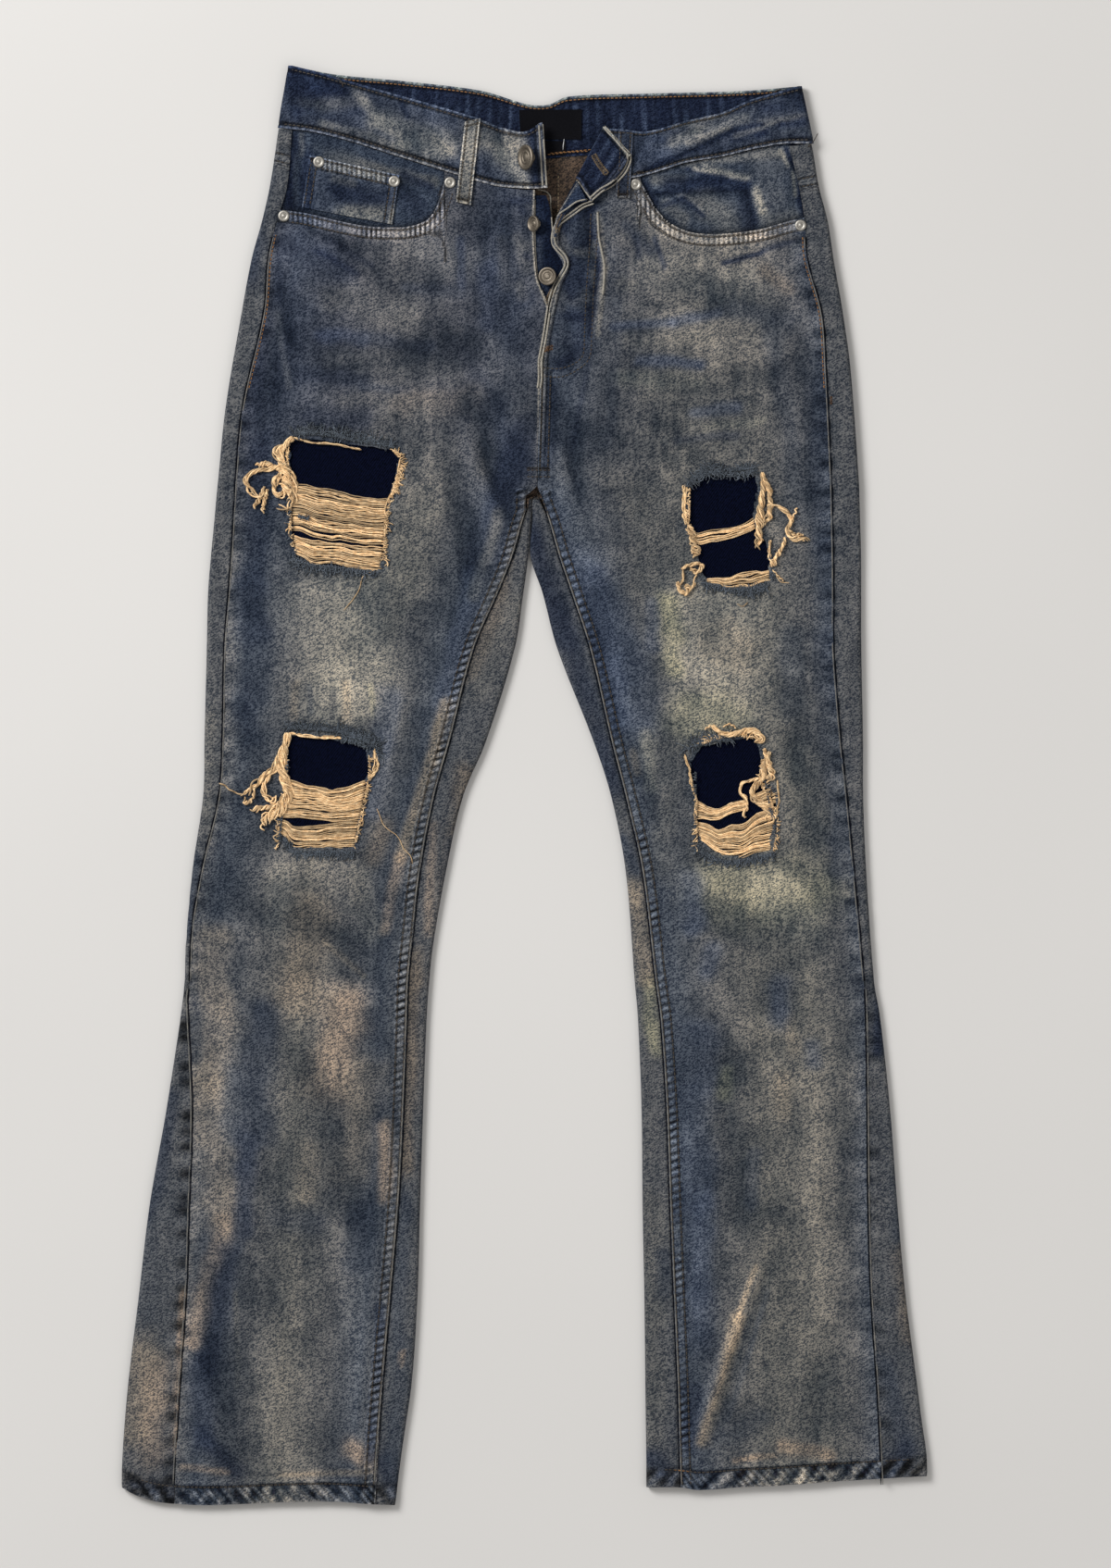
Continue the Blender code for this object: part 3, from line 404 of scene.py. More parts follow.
# Soft strokes of one wash over another: x0, y0, x1, y1, half width, wash, strength.
rightStrokes = (
    (-175, 418, -140, 398, 10, "deep", 0.7), (-159, 410, -128, 392, 2, "navy", 0.6),
    (-151, 419, -117, 398, 2, "indigo", 0.4), (-74, 415, -48, 398, 13, "fog", 0.48),
    (-48, 418, -48, 382, 3, "blue", 0.5), (-28, 395, -25, 357, 7, "blue", 0.4),
    (-6, 418, 2, 398, 5, "pale", 0.51), (-18, 418, -13, 382, 4, "grey", 0.5),
    (-145, 372, -89, 360, 9, "pale", 0.51), (-165, 377, -150, 372, 7, "grey", 0.4),
    (-155, 344, -124, 342, 5, "blue", 0.6), (-124, 344, -74, 337, 5, "slate", 0.6),
    (-89, 382, -48, 376, 4, "slate", 0.45), (-145, 325, -53, 316, 7, "pale", 0.47),
    (-175, 316, -124, 310, 6, "deep", 0.5), (-124, 304, -89, 301, 3, "slate", 0.55),
    (-89, 291, -43, 296, 9, "sand", 0.4), (-140, 294, -109, 296, 4, "grey", 0.5),
    (-165, 282, -124, 280, 7, "indigo", 0.5), (-23, 332, 0, 286, 13, "pale", 0.42),
    (0, 273, -15, 220, 9, "indigo", 0.6), (-36, 294, -30, 243, 8, "grey", 0.5),
    (-190, 367, -181, 306, 2, "fog", 0.52), (-186, 418, -190, 367, 4, "deep", 0.6),
    (-203, 357, -211, 281, 7, "indigo", 0.6), (-165, 398, -175, 332, 8, "slate", 0.4),
    (-56, 347, -43, 342, 5, "grey", 0.4), (-205, 264, -210, 155, 9, "indigo", 0.7),
    (-207, 155, -204, 118, 9, "navy", 0.55), (-210, 155, -206, 64, 10, "deep", 0.65),
    (-70, 264, -96, 160, 21, "pale", 0.59), (-4, 251, -32, 171, 11, "indigo", 0.75),
    (-38, 160, -60, 64, 7, "blue", 0.7), (-19, 208, -40, 144, 4, "pale", 0.47),
    (-139, 139, -139, 75, 32, "fog", 0.64), (-110, 107, -102, 91, 13, "fog", 0.32),
    (-175, 77, -176, 53, 3, "sand", 0.4), (-165, 75, -163, 56, 2, "slate", 0.5),
    (-138, 77, -137, 51, 3, "sand", 0.4), (-147, 72, -148, 53, 2, "steel", 0.5),
    (-118, 75, -116, 53, 2, "olive", 0.36), (-104, 64, -118, -16, 9, "blue", 0.5),
    (-80, 117, -94, 16, 7, "steel", 0.5), (-59, 64, -96, -56, 4, "sand", 0.68),
    (-96, -56, -107, -112, 4, "tan", 0.48), (-187, -70, -193, -107, 9, "fog", 0.4),
    (-128, -70, -118, -112, 9, "pale", 0.42), (-222, -30, -227, -70, 9, "slate", 0.6),
    (-217, 64, -206, 35, 7, "deep", 0.6), (-107, -30, -116, -56, 7, "brown", 0.45),
    (-96, 144, -102, 117, 6, "grey", 0.5), (-80, 64, -83, 51, 5, "slate", 0.4),
    (-236, -119, -236, -227, 11, "sand", 0.48), (-245, -230, -230, -329, 12, "sand", 0.48),
    (-230, -335, -252, -426, 7, "tan", 0.52), (-200, -176, -205, -269, 12, "deep", 0.8),
    (-211, -269, -216, -341, 7, "indigo", 0.75), (-225, -356, -243, -447, 8, "indigo", 0.7),
    (-248, -447, -245, -501, 9, "indigo", 0.7), (-248, -495, -221, -522, 7, "navy", 0.5),
    (-136, -167, -148, -227, 15, "tan", 0.48), (-121, -227, -136, -293, 14, "sand", 0.44),
    (-106, -263, -108, -317, 5, "tan", 0.52), (-124, -329, -127, -365, 10, "deep", 0.6),
    (-166, -281, -169, -311, 8, "sand", 0.36), (-188, -329, -160, -335, 8, "deep", 0.4),
    (-191, -462, -172, -507, 15, "grey", 0.4), (-133, -507, -120, -517, 8, "tan", 0.48),
    (-221, -390, -220, -462, 2, "grey", 0.6), (-263, -523, -227, -526, 2, "tan", 0.48),
    (-188, -528, -118, -527, 2, "sand", 0.48), (-166, -100, -172, -161, 15, "brown", 0.5),
    (-154, -119, -123, -146, 2, "sand", 0.44), (-109, -402, -118, -516, 4, "indigo", 0.6),
    (-182, -269, -188, -311, 3, "grey", 0.5), (-9, 449, 4, 449, 3, "indigo", 0.7),
    (-2, 442, 0, 439, 3, "indigo", 0.6), (-3, 413, 3, 413, 3, "pale", 0.4), (1, 406, 3, 404, 2, "navy", 0.5),
    (5, 376, 1, 372, 4, "indigo", 0.6), (-3, 385, 0, 376, 4, "pale", 0.5),
)
leftStrokes = (
    # The first four strokes darken the corner by the fly under the turned band end: painted shadow of that
    # end.
    (40, 459, 46, 451, 5, "indigo", 0.9), (32, 450, 41, 448, 5, "indigo", 0.9),
    (27, 441, 36, 444, 4, "navy", 0.9), (36, 432, 52, 441, 3, "navy", 0.9),
    (28, 418, 32, 428, 3, "navy", 0.7), (42, 434, 42, 396, 8, "deep", 0.75),
    (41, 388, 42, 345, 8, "blue", 0.5), (29, 377, 44, 371, 4, "steel", 0.6),
    (33, 361, 44, 359, 4, "navy", 0.6), (40, 334, 27, 325, 6, "navy", 0.6),
    (27, 420, 33, 409, 3, "grey", 0.5), (57, 438, 62, 396, 2, "pale", 0.5),
    (61, 396, 55, 345, 2, "pale", 0.6), (50, 440, 57, 396, 1.8, "navy", 0.8),
    (57, 396, 50, 345, 1.8, "navy", 0.7), (51, 334, 35, 249, 2, "navy", 0.4),
    (99, 397, 174, 381, 12, "fog", 0.4), (75, 386, 84, 384, 5, "pale", 0.42),
    (153, 401, 181, 408, 2, "navy", 0.85), (183, 410, 209, 419, 2, "navy", 0.7),
    (68, 351, 114, 355, 3, "blue", 0.7), (114, 355, 148, 362, 4, "blue", 0.6),
    (88, 325, 136, 323, 4, "blue", 0.7), (131, 284, 162, 288, 4, "blue", 0.65),
    (118, 264, 162, 268, 3, "indigo", 0.5), (159, 364, 203, 353, 7, "slate", 0.55),
    (77, 339, 144, 344, 4, "pale", 0.42), (73, 312, 136, 306, 6, "green", 0.5),
    (92, 299, 114, 297, 4, "pale", 0.34), (140, 273, 181, 279, 3, "green", 0.5),
    (20, 307, 18, 249, 5, "indigo", 0.65), (77, 427, 96, 409, 4, "deep", 0.5),
    (99, 420, 107, 397, 2, "indigo", 0.7), (84, 420, 88, 405, 2, "indigo", 0.5),
    (162, 423, 209, 420, 2, "sand", 0.32), (188, 344, 205, 260, 7, "slate", 0.45),
    (70, 371, 66, 260, 4, "slate", 0.4), (185, 394, 203, 379, 5, "brown", 0.4),
    (21, 209, 68, 46, 12, "deep", 0.8), (52, 160, 66, 60, 9, "indigo", 0.6),
    (47, 170, 92, 51, 13, "blue", 0.5), (94, 214, 93, 151, 12, "grey", 0.5),
    (144, 136, 149, 57, 32, "fog", 0.64), (113, 136, 113, 114, 8, "olive", 0.68),
    (110, 99, 113, 88, 7, "olive", 0.59), (149, 112, 165, 99, 13, "sand", 0.32),
    (128, 51, 149, 51, 17, "olive", 0.41), (99, 136, 97, 104, 5, "blue", 0.5),
    (128, 78, 139, 72, 6, "steel", 0.3), (207, 114, 205, 57, 9, "slate", 0.55),
    (228, 104, 233, -1, 4, "steel", 0.5), (68, 235, 86, 220, 13, "grey", 0.5),
    (205, 246, 212, 209, 9, "slate", 0.5), (149, -80, 218, -80, 21, "olive", 0.54),
    (186, -72, 218, -106, 15, "fog", 0.36), (128, -75, 128, -106, 8, "blue", 0.65),
    (144, -127, 139, -143, 7, "blue", 0.65), (107, 25, 105, -67, 9, "grey", 0.5),
    (94, 38, 97, -1, 5, "green", 0.4), (210, 12, 218, -54, 12, "pale", 0.47),
    (236, 51, 247, -80, 5, "pale", 0.47), (84, 25, 86, 9, 3, "sand", 0.4), (68, 93, 73, 51, 7, "blue", 0.6),
    (34, 246, 65, 246, 13, "steel", 0.4), (132, -188, 129, -320, 12, "blue", 0.5),
    (135, -320, 135, -425, 9, "blue", 0.6), (129, -464, 129, -504, 7, "indigo", 0.6),
    (192, -152, 193, -178, 9, "blue", 0.65), (221, -202, 221, -215, 6, "blue", 0.45),
    (153, -220, 153, -236, 6, "olive", 0.59), (234, -175, 240, -254, 12, "grey", 0.45),
    (198, -228, 198, -249, 6, "sand", 0.32), (178, -370, 162, -412, 2, "sand", 0.64),
    (164, -409, 139, -501, 5, "sand", 0.64), (187, -388, 156, -485, 2, "slate", 0.5),
    (213, -372, 224, -464, 18, "grey", 0.45), (198, -506, 234, -512, 5, "tan", 0.72),
    (161, -517, 192, -514, 2, "tan", 0.52), (158, -498, 179, -485, 7, "slate", 0.4),
    (234, -267, 240, -346, 11, "grey", 0.35), (177, -283, 174, -320, 5, "blue", 0.35),
    (203, -183, 206, -204, 5, "sand", 0.24), (229, 300, 231, 180, 9, "deep", 0.6),
    (231, 180, 244, -60, 10, "deep", 0.6), (44, 443, 54, 445, 4, "navy", 0.7),
    (36, 423, 49, 421, 4, "deep", 0.6), (52, 415, 53, 412, 2, "pale", 0.7),
    (43, 412, 49, 416, 3, "navy", 0.5), (40, 408, 49, 407, 3, "grey", 0.7),
    (36, 401, 43, 386, 5, "indigo", 0.7), (53, 407, 54, 405, 2, "pale", 0.6),
    (52, 394, 53, 385, 2, "grey", 0.6), (46, 378, 50, 376, 4, "grey", 0.6),
    (36, 376, 31, 390, 3, "navy", 0.6), (25, 376, 29, 367, 3, "steel", 0.6),
)
rightProfile = ((0, "steel"), (0.1, "slate"), (0.3, "steel"), (0.5, "grey"), (0.72, "steel"),
                (0.88, "slate"), (1, "steel"))
leftProfile = ((0, "slate"), (0.1, "steel"), (0.26, "grey"), (0.52, "grey"), (0.74, "steel"), (0.9, "slate"),
               (1, "slate"))


def washTable(stops, at):
    places = [stop[0] for stop in stops]
    colours = np.array([screenColour(washes[stop[1]]) for stop in stops])
    return np.stack([np.interp(at, places, colours[:, i]) for i in range(3)], -1)


def paint(colour, strokes, x, y):
    # soft-edged strokes, broken up by noise so that none reads as drawn
    bendX = 5 * softNoise(x, y, 40, 21) + 3 * softNoise(x, y, 12, 22)
    bendY = 6 * softNoise(x, y, 40, 23) + 4 * softNoise(x, y, 12, 24)
    patchy = 0.9 + 0.22 * softNoise(x, y, 20, 25)
    for x0, y0, x1, y1, half, name, strength in strokes:
        away, _ = strokeDistance((x0, y0, x1, y1), x + bendX * min(1, half / 12),
                                 y + bendY * min(1, half / 12))
        share = np.clip(strength * patchy * np.exp(-((away / (half * 1.2)) ** 3)), 0, 1)[..., None]
        colour = over(colour, screenColour(washes[name]), share)
    return colour


def mottle(colour, x, y, relief, amount=1.0):
    # uneven dye, long vertical slubs, and wear on what stands up: pale is beige and dark is blue
    cloud = 0.04 * softNoise(x, y, 30, 31) + 0.05 * softNoise(x, y, 13, 32) + 0.06 * softNoise(x, y, 6.5, 33)
    slub = 0.06 * softNoise(x * 9, y, 30, 34) + 0.07 * softNoise(x * 3.5, y * 0.6, 30,
            37) + 0.03 * softNoise(x, y * 9, 30, 35)
    gain = amount * (cloud + slub) + 0.26 * np.tanh(np.asarray(relief) / 0.7)
    gain = gain[..., None] * np.array((1.15, 1.0, 0.82))
    return colour * np.clip(1 + gain, 0.3, 2.0)


def puckers(y, pitch, seed):
    # an uneven row of short marks along a seam, 0 to 1
    random = np.random.default_rng(seed)
    shift, strength = random.uniform(-0.28, 0.28, 256), random.uniform(0.25, 1.0, 256)
    step = np.floor(np.asarray(y) / pitch).astype(int)
    centre = (step + 0.5 + shift[step % 256]) * pitch
    return strength[step % 256] * hump(y - centre, pitch * 0.24)


# Front panels.

frontLook = {
    "hemRaise": 0.55, "roping": 14.0, "ropingHigh": 0.42, "seamPlateau": 0.5, "seamWide": 8.6,
    "ladder": 6.0, "ladderHigh": 0.22, "pucker": 17.0, "puckerHigh": 0.6, "mouthHem": 8.8, "blockTint": 0.6,
    # the colour round the rips: the frayed edge, darkened into a painted shadow beneath the fringe
    "frayedAndShaded": "#303947",
    "hipShade": {"right": 0.21, "left": 0.08}, "hipTint": (1.13, 1.0, 0.65),
}


def seamField(side, x, y):
    # distances inward from the outseam and from the inseam, above the hem, and to the pocket mouth
    out = side.out
    fromOut = (side.outseam(y) - x) * out
    fromIn = (x - side.inseam(y)) * out
    fromFly = (x - follow(side.fly, y)) * out
    fromIn = np.where(y > garment["crotchTop"], 60 + 0 * fromFly, fromIn)
    turn = (follow(side.fly, y + 1.5) - follow(side.fly, y - 1.5)) / 3
    fromFly = fromFly / np.sqrt(1 + turn ** 2)
    fromHem = y - follow(side.hem, x)
    fromMouth = follow(side.mouth, x) - y
    slope = np.gradient(follow(side.mouth, np.linspace(-240, 240, 481)))
    steep = np.interp(x, np.linspace(-240, 240, 481), slope)
    return fromOut, fromIn, fromFly, fromHem, fromMouth / np.sqrt(1 + steep ** 2)


def wornEdgeAndShade(distance):
    # a turned edge rubbed pale along both its sides, with painted shade in the groove between and a painted
    # shadow beyond it
    pale = hump(distance - 0.7, 0.75) + 0.9 * hump(distance - 3.0, 0.75)
    dark = hump(distance - 1.85, 0.5) + 0.6 * hump(distance - 5.0, 1.1)
    return np.clip(pale, 0, 1), np.clip(dark, 0, 1)


def rubAndShade(colour, pale, dark, tone="#b0a99c"):
    # pale is wear; the darkening by dark is painted shade
    colour = colour * (1 - 0.75 * pale[..., None]) + screenColour(tone) * 0.75 * pale[..., None]
    return colour * (1 - 0.6 * dark[..., None])


def seamMarks(along, strength, *distances):
    # what the denim's shader needs: the run of the ladder marks, their strength, and the way to the nearest
    # seam edge
    away = np.full(np.shape(along), 12.0)
    for distance in distances:
        away = np.where((distance > -1) & (distance < away), np.maximum(distance, 0), away)
    return np.stack([along / 1000, strength + 0 * along, away / denimLook["seamReach"]], -1)


def plateau(distance, wide, edge=1.2):
    return blend(-edge, edge, distance) * (1 - blend(wide - edge, wide + edge, distance))


def roping(x, fromHem):
    # slanting folds of a hem pulled by its own stitching, uneven in step and strength
    place = x + fromHem * 0.8 + 11 * softNoise(x, fromHem * 0, 31, 45)
    strength = 0.55 + 0.7 * softNoise(x, fromHem * 0, 23, 47)
    return strength * np.sin(2 * math.pi * place / frontLook["roping"]) + 0.4 * softNoise(x, fromHem, 5, 48)


def frontRelief(side, x, y):
    fromOut, fromIn, fromFly, fromHem, fromMouth = seamField(side, x, y)
    look = frontLook
    wobble = 2.2 * softNoise(x * 0 + 5, y, 33, 41)
    relief = creaseHeight(x, y)
    along = y + 3 * softNoise(x, y, 40, 42)
    block = 0.4 - 1.2 * puckers(along + wobble, look["pucker"], 46) + 0.3 * softNoise(x, y, 8, 43)
    relief += look["puckerHigh"] * block * hump(fromOut, 8.5) * blend(0, 1.5, fromOut)
    ladder = np.sin(2 * math.pi * (y + fromIn * 0.35 + wobble) / look["ladder"]) * (0.7 + 0.6 * softNoise(x,
            y, 20, 44))
    inner = plateau(fromIn, look["seamWide"])
    relief += inner * (look["seamPlateau"] + look["ladderHigh"] * ladder)
    relief -= 0.35 * hump(fromIn - look["seamWide"] - 1.6, 1.3)
    hem = plateau(fromHem, garment["hemTall"], 1.4)
    relief += hem * (look["hemRaise"] + look["ropingHigh"] * roping(x * -side.out, fromHem))
    relief -= 0.4 * hump(fromHem - garment["hemTall"], 1.2)
    above = fromMouth * np.where(y > 400, 1, 0) + np.where(y > 400, 0, 99)
    relief += 0.55 * plateau(above, look["mouthHem"], 1.0)
    pale, dark = wornEdgeAndShade(fromFly)
    if side is left:
        relief += (0.9 * pale - 0.7 * dark) * blend(232, 262, y)
    return relief


def frontPoints(side):
    # the panel's columns run from the lower to the higher x
    g = garment
    legRows = spread(g["hem"], g["levelTop"], stepsFor(g["levelTop"] - g["hem"], g["cell"]))[:-1]
    hipSteps = spread(0.0, 1.0, stepsFor(265, g["cell"]))
    columns = stepsFor(225, g["cell"])
    near = np.array((0, 0.7, 1.4, 2.1, 2.8, 3.5, 4.3, 5.2, 6.3, 7.6)) / 225
    share = np.concatenate([np.linspace(0, 1 - 9.2 / 225, columns - 4), 1 - near[::-1]])
    columns = len(share)
    rows = []
    half = side.out * g["gap"] / 2
    for y in legRows:
        clear = g["gap"] / 2 + 1.0 * blend(200, g["levelTop"], y)
        outer, inner = side.outseam(y) - half, side.inseam(y) + side.out * clear
        x = outer + (inner - outer) * share
        rows.append(np.stack([x, side.level(x, np.full(columns, y))], -1))
    for step in hipSteps:
        outerY = side.fanned(frontWaist, step, side.out * g["side"])
        innerY = side.fanned(frontWaist, step, follow(side.fly, g["flyTop"]))
        start = follow(side.fly, innerY)
        if step < 0.03:
            atCrotch = side.inseam(g["levelTop"]) + side.out * (g["gap"] / 2 + 1.0)
            start = atCrotch + (start - atCrotch) * step / 0.03
        outer = side.outseam(outerY) - half
        x = outer + (start - outer) * share
        y = side.fanned(frontWaist, step, x) - (g["gap"] if step == 1 else 0)
        rows.append(np.stack([x, y], -1))
    points = np.array(rows)
    return points if side.out < 0 else points[:, ::-1]


rips = {
    1: ((265, -178.6, -158), (257, -179.5, -100), (249, -180, -95), (237, -179.3, -99), (220, -179, -103),
        (212, -180, -106.6), (199, -179, -106.2), (183, -177, -107), (175, -172, -109), (169, -160, -110),
        (165, -130, -112)),
    2: ((238, 141, 178), (229, 126.5, 178.5), (207, 126.5, 175), (198, 125, 178), (184, 133, 187),
        (166, 134, 188), (158, 140, 188), (153, 154, 174)),
    3: ((37, -181, -152), (29, -182, -122), (11, -181.5, -118.5), (4, -180.5, -122), (-10, -183, -121),
        (-28, -187, -127), (-35, -186, -128), (-41, -180, -129), (-48, -176, -131)),
    4: ((36, 165, 175), (30, 136, 179), (18, 127.5, 181), (5, 128, 181), (-8, 131, 193), (-25, 132, 192),
        (-42, 135, 188), (-49, 143, 188), (-54, 153, 170)),
}


def ripPolygon(rip):
    rows = sorted(rips[rip])
    corners = np.array([(row[2], row[0]) for row in rows] + [(row[1], row[0]) for row in reversed(rows)],
                       float)
    outline = np.concatenate([np.linspace(a, b, 12)[:-1] for a,
                              b in zip(corners, np.roll(corners, -1, axis=0))])
    x, y = outline.T
    ragged = np.stack([softNoise(x, y, 4.5, 56) + 0.7 * softNoise(x, y, 2, 57), softNoise(x, y, 4.5, 58)],
                      -1)
    return outline + 1.1 * ragged


def mouthPolygon(side):
    xs = np.linspace(side.mouth[0][0], side.mouth[-1][0], 90)
    edge = np.stack([xs, follow(side.mouth, xs)], -1)
    return np.concatenate([edge, [(xs[-1], 520), (xs[0], 520)]]), edge


def makeFront(side, ripNumbers, strokes, profile):
    points = frontPoints(side)
    x, y = points[..., 0].copy(), points[..., 1].copy()
    mouthShape, mouthEdge = mouthPolygon(side)
    upperHalf = y > 400
    snapX, snapY, _ = snapTo(mouthEdge, x, y, garment["cell"] * 0.62, closed=False)
    x, y = np.where(upperHalf, snapX, x), np.where(upperHalf, snapY, y)
    ripShapes = [ripPolygon(rip) for rip in ripNumbers]
    ripNear = np.full(x.shape, 1e9)
    for shape in ripShapes:
        x, y, away = snapTo(shape, x, y, garment["cell"] * 0.6)
        ripNear = np.minimum(ripNear, away)
    relief = frontRelief(side, x, y)
    frayedAndShaded = hump(ripNear, 5.0)
    relief += 0.5 * frayedAndShaded * softNoise(x, y, 5, 51) - 0.5 * hump(ripNear, 2.5)
    z = upper(x, y) + relief
    fromOut, fromIn, fromFly, fromHem, fromMouth = seamField(side, x, y)
    u = np.clip(fromOut / np.maximum(fromOut + np.where(y > 225, np.abs(fromFly), fromIn), 1), 0, 1)
    colour = paint(washTable(profile, u), strokes, x, y)
    colour = colour * (1 - frontLook["hipShade"][side.name] * blend(150, 320, y)[...,
            None] * frontLook["hipTint"])
    colour = mottle(colour, x, y, relief - 0.4 * plateau(fromIn, 8.6), 1 + 0.8 * blend(150, 300, y))
    # the -0.25 at 14.5 mm above the hem darkens the groove along the hem's top: painted shade
    seams = ((fromIn, -0.6, 0.25, 1.1), (fromOut, 0.5, 0.1, 1.2),
             (fromHem, 0.6, 0.25, 1.3), (fromHem, 14.5, -0.25, 1.6),
             (np.where(upperHalf, fromMouth, 99), 4.5, 0.26, 6.0))
    rope = roping(x * -side.out, fromHem)
    gain = 1 + plateau(fromHem, 14, 1.0) * (0.55 * rope - 0.34 + 0.45 * softNoise(x, y, 5, 54))
    gain += 0.3 * hump(fromHem - 17, 2.2) * (0.6 + 0.6 * softNoise(x, y, 12, 55))
    marks = puckers(y + 3 * softNoise(x, y, 40, 42), frontLook["pucker"], 46) * hump(fromOut - 4, 5.5)
    gain -= frontLook["blockTint"] * marks * (1.0 if side is left else 0.75) * (0.3 + 0.7 * blend(-175, -140,
            y))
    gain += 0.16 * hump(fromOut - 5, 7)
    for distance, at, amount, reach in seams:
        gain += amount * hump(distance - at, reach)
    if side is left:
        # painted shadow of the turned band end, on the left front beside the fly
        gain -= 0.45 * blend(438, 446, y) * (1 - blend(20, 28, fromFly))
    colour = colour * np.clip(1 + (gain[..., None] - 1) * np.array((1.12, 1.0, 0.85)), 0.25, 2.2)
    pale, dark = wornEdgeAndShade(fromFly)
    if side is left:
        worn = blend(240, 300, y) * (1 - blend(433, 440, y))
        # pale ridges of wear along the fly edge, with painted shade between them and a painted shadow beyond
        colour = rubAndShade(colour, 0.5 * pale * worn, dark * worn)
    else:
        colour = rubAndShade(colour, hump(fromFly - 0.4, 0.8) * blend(228, 330, y), 0 * y)
    # darkens the cloth round each rip: frayed edge colour and painted shadow beneath the fringe
    ragged = (0.55 * frayedAndShaded * (0.8 + 0.5 * softNoise(x, y, 4, 52)))[..., None]
    colour = over(colour, screenColour(frontLook["frayedAndShaded"]), ragged)
    middle = np.stack([x, y, z], -1)
    onInner, onHem = plateau(fromIn, 9.0), plateau(fromHem, 15)
    onMouth = plateau(np.where(upperHalf, fromMouth, 99), 9.4)
    onOuter = 0.2 * hump(fromOut, 6.0)
    along = np.where(np.maximum(onMouth, onHem) > 0.3, x + 0.9 * fromHem * (onHem > 0.3),
                     y - 0.35 * fromIn * side.out)
    strength = np.clip(onInner + onMouth + 0.6 * onHem + onOuter, 0,
                       1) * (0.6 + 0.5 * softNoise(x, y, 18, 53))
    along = np.where(onMouth > 0.3, along * 1.6, along)
    hemWay = np.where(fromHem > 8, fromHem - 5.2, np.where(fromHem > -3, 5.0, 99))
    riseWay = np.where((y > 234) & (y < 318) & (side is left), fromFly + 0.5, 99)
    seam = seamMarks(along, strength, np.where(y < 226, fromIn + 0.7, 99),
                     np.where(upperHalf, fromMouth, 99), hemWay, riseWay)

    def hole(atX, atY):
        found = insidePolygon(mouthShape, atX, atY)
        for shape in ripShapes:
            found |= insidePolygon(shape, atX, atY)
        return found

    piece = addCloth(f"front_{side.name}", middle, cloth, denim, toLinear(colour), hole=hole, seam=seam)
    standFor(f"front_panel_{side.name}")
    return piece


# Back panels and yokes: each wraps from its inseam strip round the fold, under the leg and up to the
# outseam.

backLook = {"puckerHigh": 0.5, "inside": "#463c35", "cells": (8, 7, 60, 12)}  # cells: strip, turn, flat, top


def turnPoints(centre, radius, middle, out, start, end, count):
    angle = np.radians(np.linspace(start, end, count))
    return np.stack([centre + out * radius * np.cos(angle), middle + radius * np.sin(angle)], -1)


def under(y):
    return cloth / 2 + lift(y)


def backSection(side, line, startX, innerX, outerX, endX, cells):
    # one row across the back of a leg; `line` gives y at x, and a level `innerX` of None means the seat
    out, parts = side.out, []
    outer = outerX - out * cloth / 2
    low, high = under(line(outer)), upper(outer, line(outer))
    radius, middle = (high - low) / 2, (high + low) / 2
    centre = outer - out * radius
    strip, turn, flatCells, last = cells
    if innerX is None:
        flat = np.linspace(startX, centre, strip + turn + flatCells)
        parts.append(np.stack([flat, under(line(flat))], -1))
    else:
        inner = innerX + out * cloth / 2
        innerHigh = upper(inner, line(inner))
        innerRadius, innerMiddle = (innerHigh - low) / 2, (innerHigh + low) / 2
        innerCentre = inner + out * innerRadius
        top = np.linspace(startX, innerCentre, strip)
        parts.append(np.stack([top, upper(top, line(top)) + creaseHeight(top, line(top)) * 0.7], -1))
        parts.append(turnPoints(innerCentre, innerRadius, innerMiddle, -out, 70, -70, turn))
        flat = np.linspace(innerCentre, centre, flatCells)
        parts.append(np.stack([flat, under(line(flat))], -1))
    parts.append(turnPoints(centre, radius, middle, out, -70, 70, turn))
    top = np.linspace(centre, endX, last)
    parts.append(np.stack([top, upper(top, line(top)) + creaseHeight(top, line(top)) * 0.7], -1))
    path = np.concatenate(parts)
    return np.stack([path[:, 0], line(path[:, 0]), path[:, 1]], -1)


def backWash(side, points, strokes):
    x, y, z = points[..., 0], points[..., 1], points[..., 2]
    underShare = blend(4.5, 2.0, z - lift(y))
    leg = (x - side.edge("inner", y)) / (side.edge("outer", y) - side.edge("inner", y))
    leg = np.clip(leg, 0, 1)
    stops = ((0, "slate"), (0.2, "steel"), (0.5, "grey"), (0.8, "slate"), (1, "deep"))
    below = washTable(stops, leg)
    seatFade = np.exp(-(((x - side.out * 120) / 80) ** 2) - (((y - 300) / 90) ** 2))[..., None]
    below = over(below, screenColour(washes["pale"]), 0.4 * seatFade)
    above = paint(washTable(((0, "steel"), (0.5, "slate"), (1, "steel")), leg), strokes, x, y)
    return above, below, underShare[..., None]


rightStrips = (
    (-270, -240, -288, -330, 5, "indigo", 0.6), (-281, -311, -290, -402, 8, "slate", 0.4),
    (-293, -432, -299, -492, 12, "sand", 0.52), (-261, -390, -267, -507, 3, "tan", 0.68),
    (-284, -447, -287, -516, 9, "tan", 0.4), (-85, -131, -93, -293, 7, "brown", 0.7),
    (-93, -317, -99, -516, 6, "slate", 0.75), (-106, -516, -97, -537, 7, "indigo", 0.6),
    (-93, -435, -94, -444, 2, "tan", 0.56), (-299, -534, -272, -543, 5, "indigo", 0.6),
    (-225, 304, -230, 224, 5, "steel", 0.7), (-205, 470, -214, 400, 12, "indigo", 0.8),
    (-234, 197, -238, 64, 7, "steel", 0.6), (-241, 51, -246, -30, 7, "grey", 0.6),
    (-251, -56, -257, -110, 4, "deep", 0.7), (-11, 139, -32, 77, 11, "grey", 0.6),
    (-16, 176, -38, 91, 7, "brown", 0.55), (-48, 11, -59, -96, 8, "brown", 0.6),
    (-70, -30, -75, -112, 3, "tan", 0.4), (-56, -43, -64, -112, 4, "deep", 0.6),
)
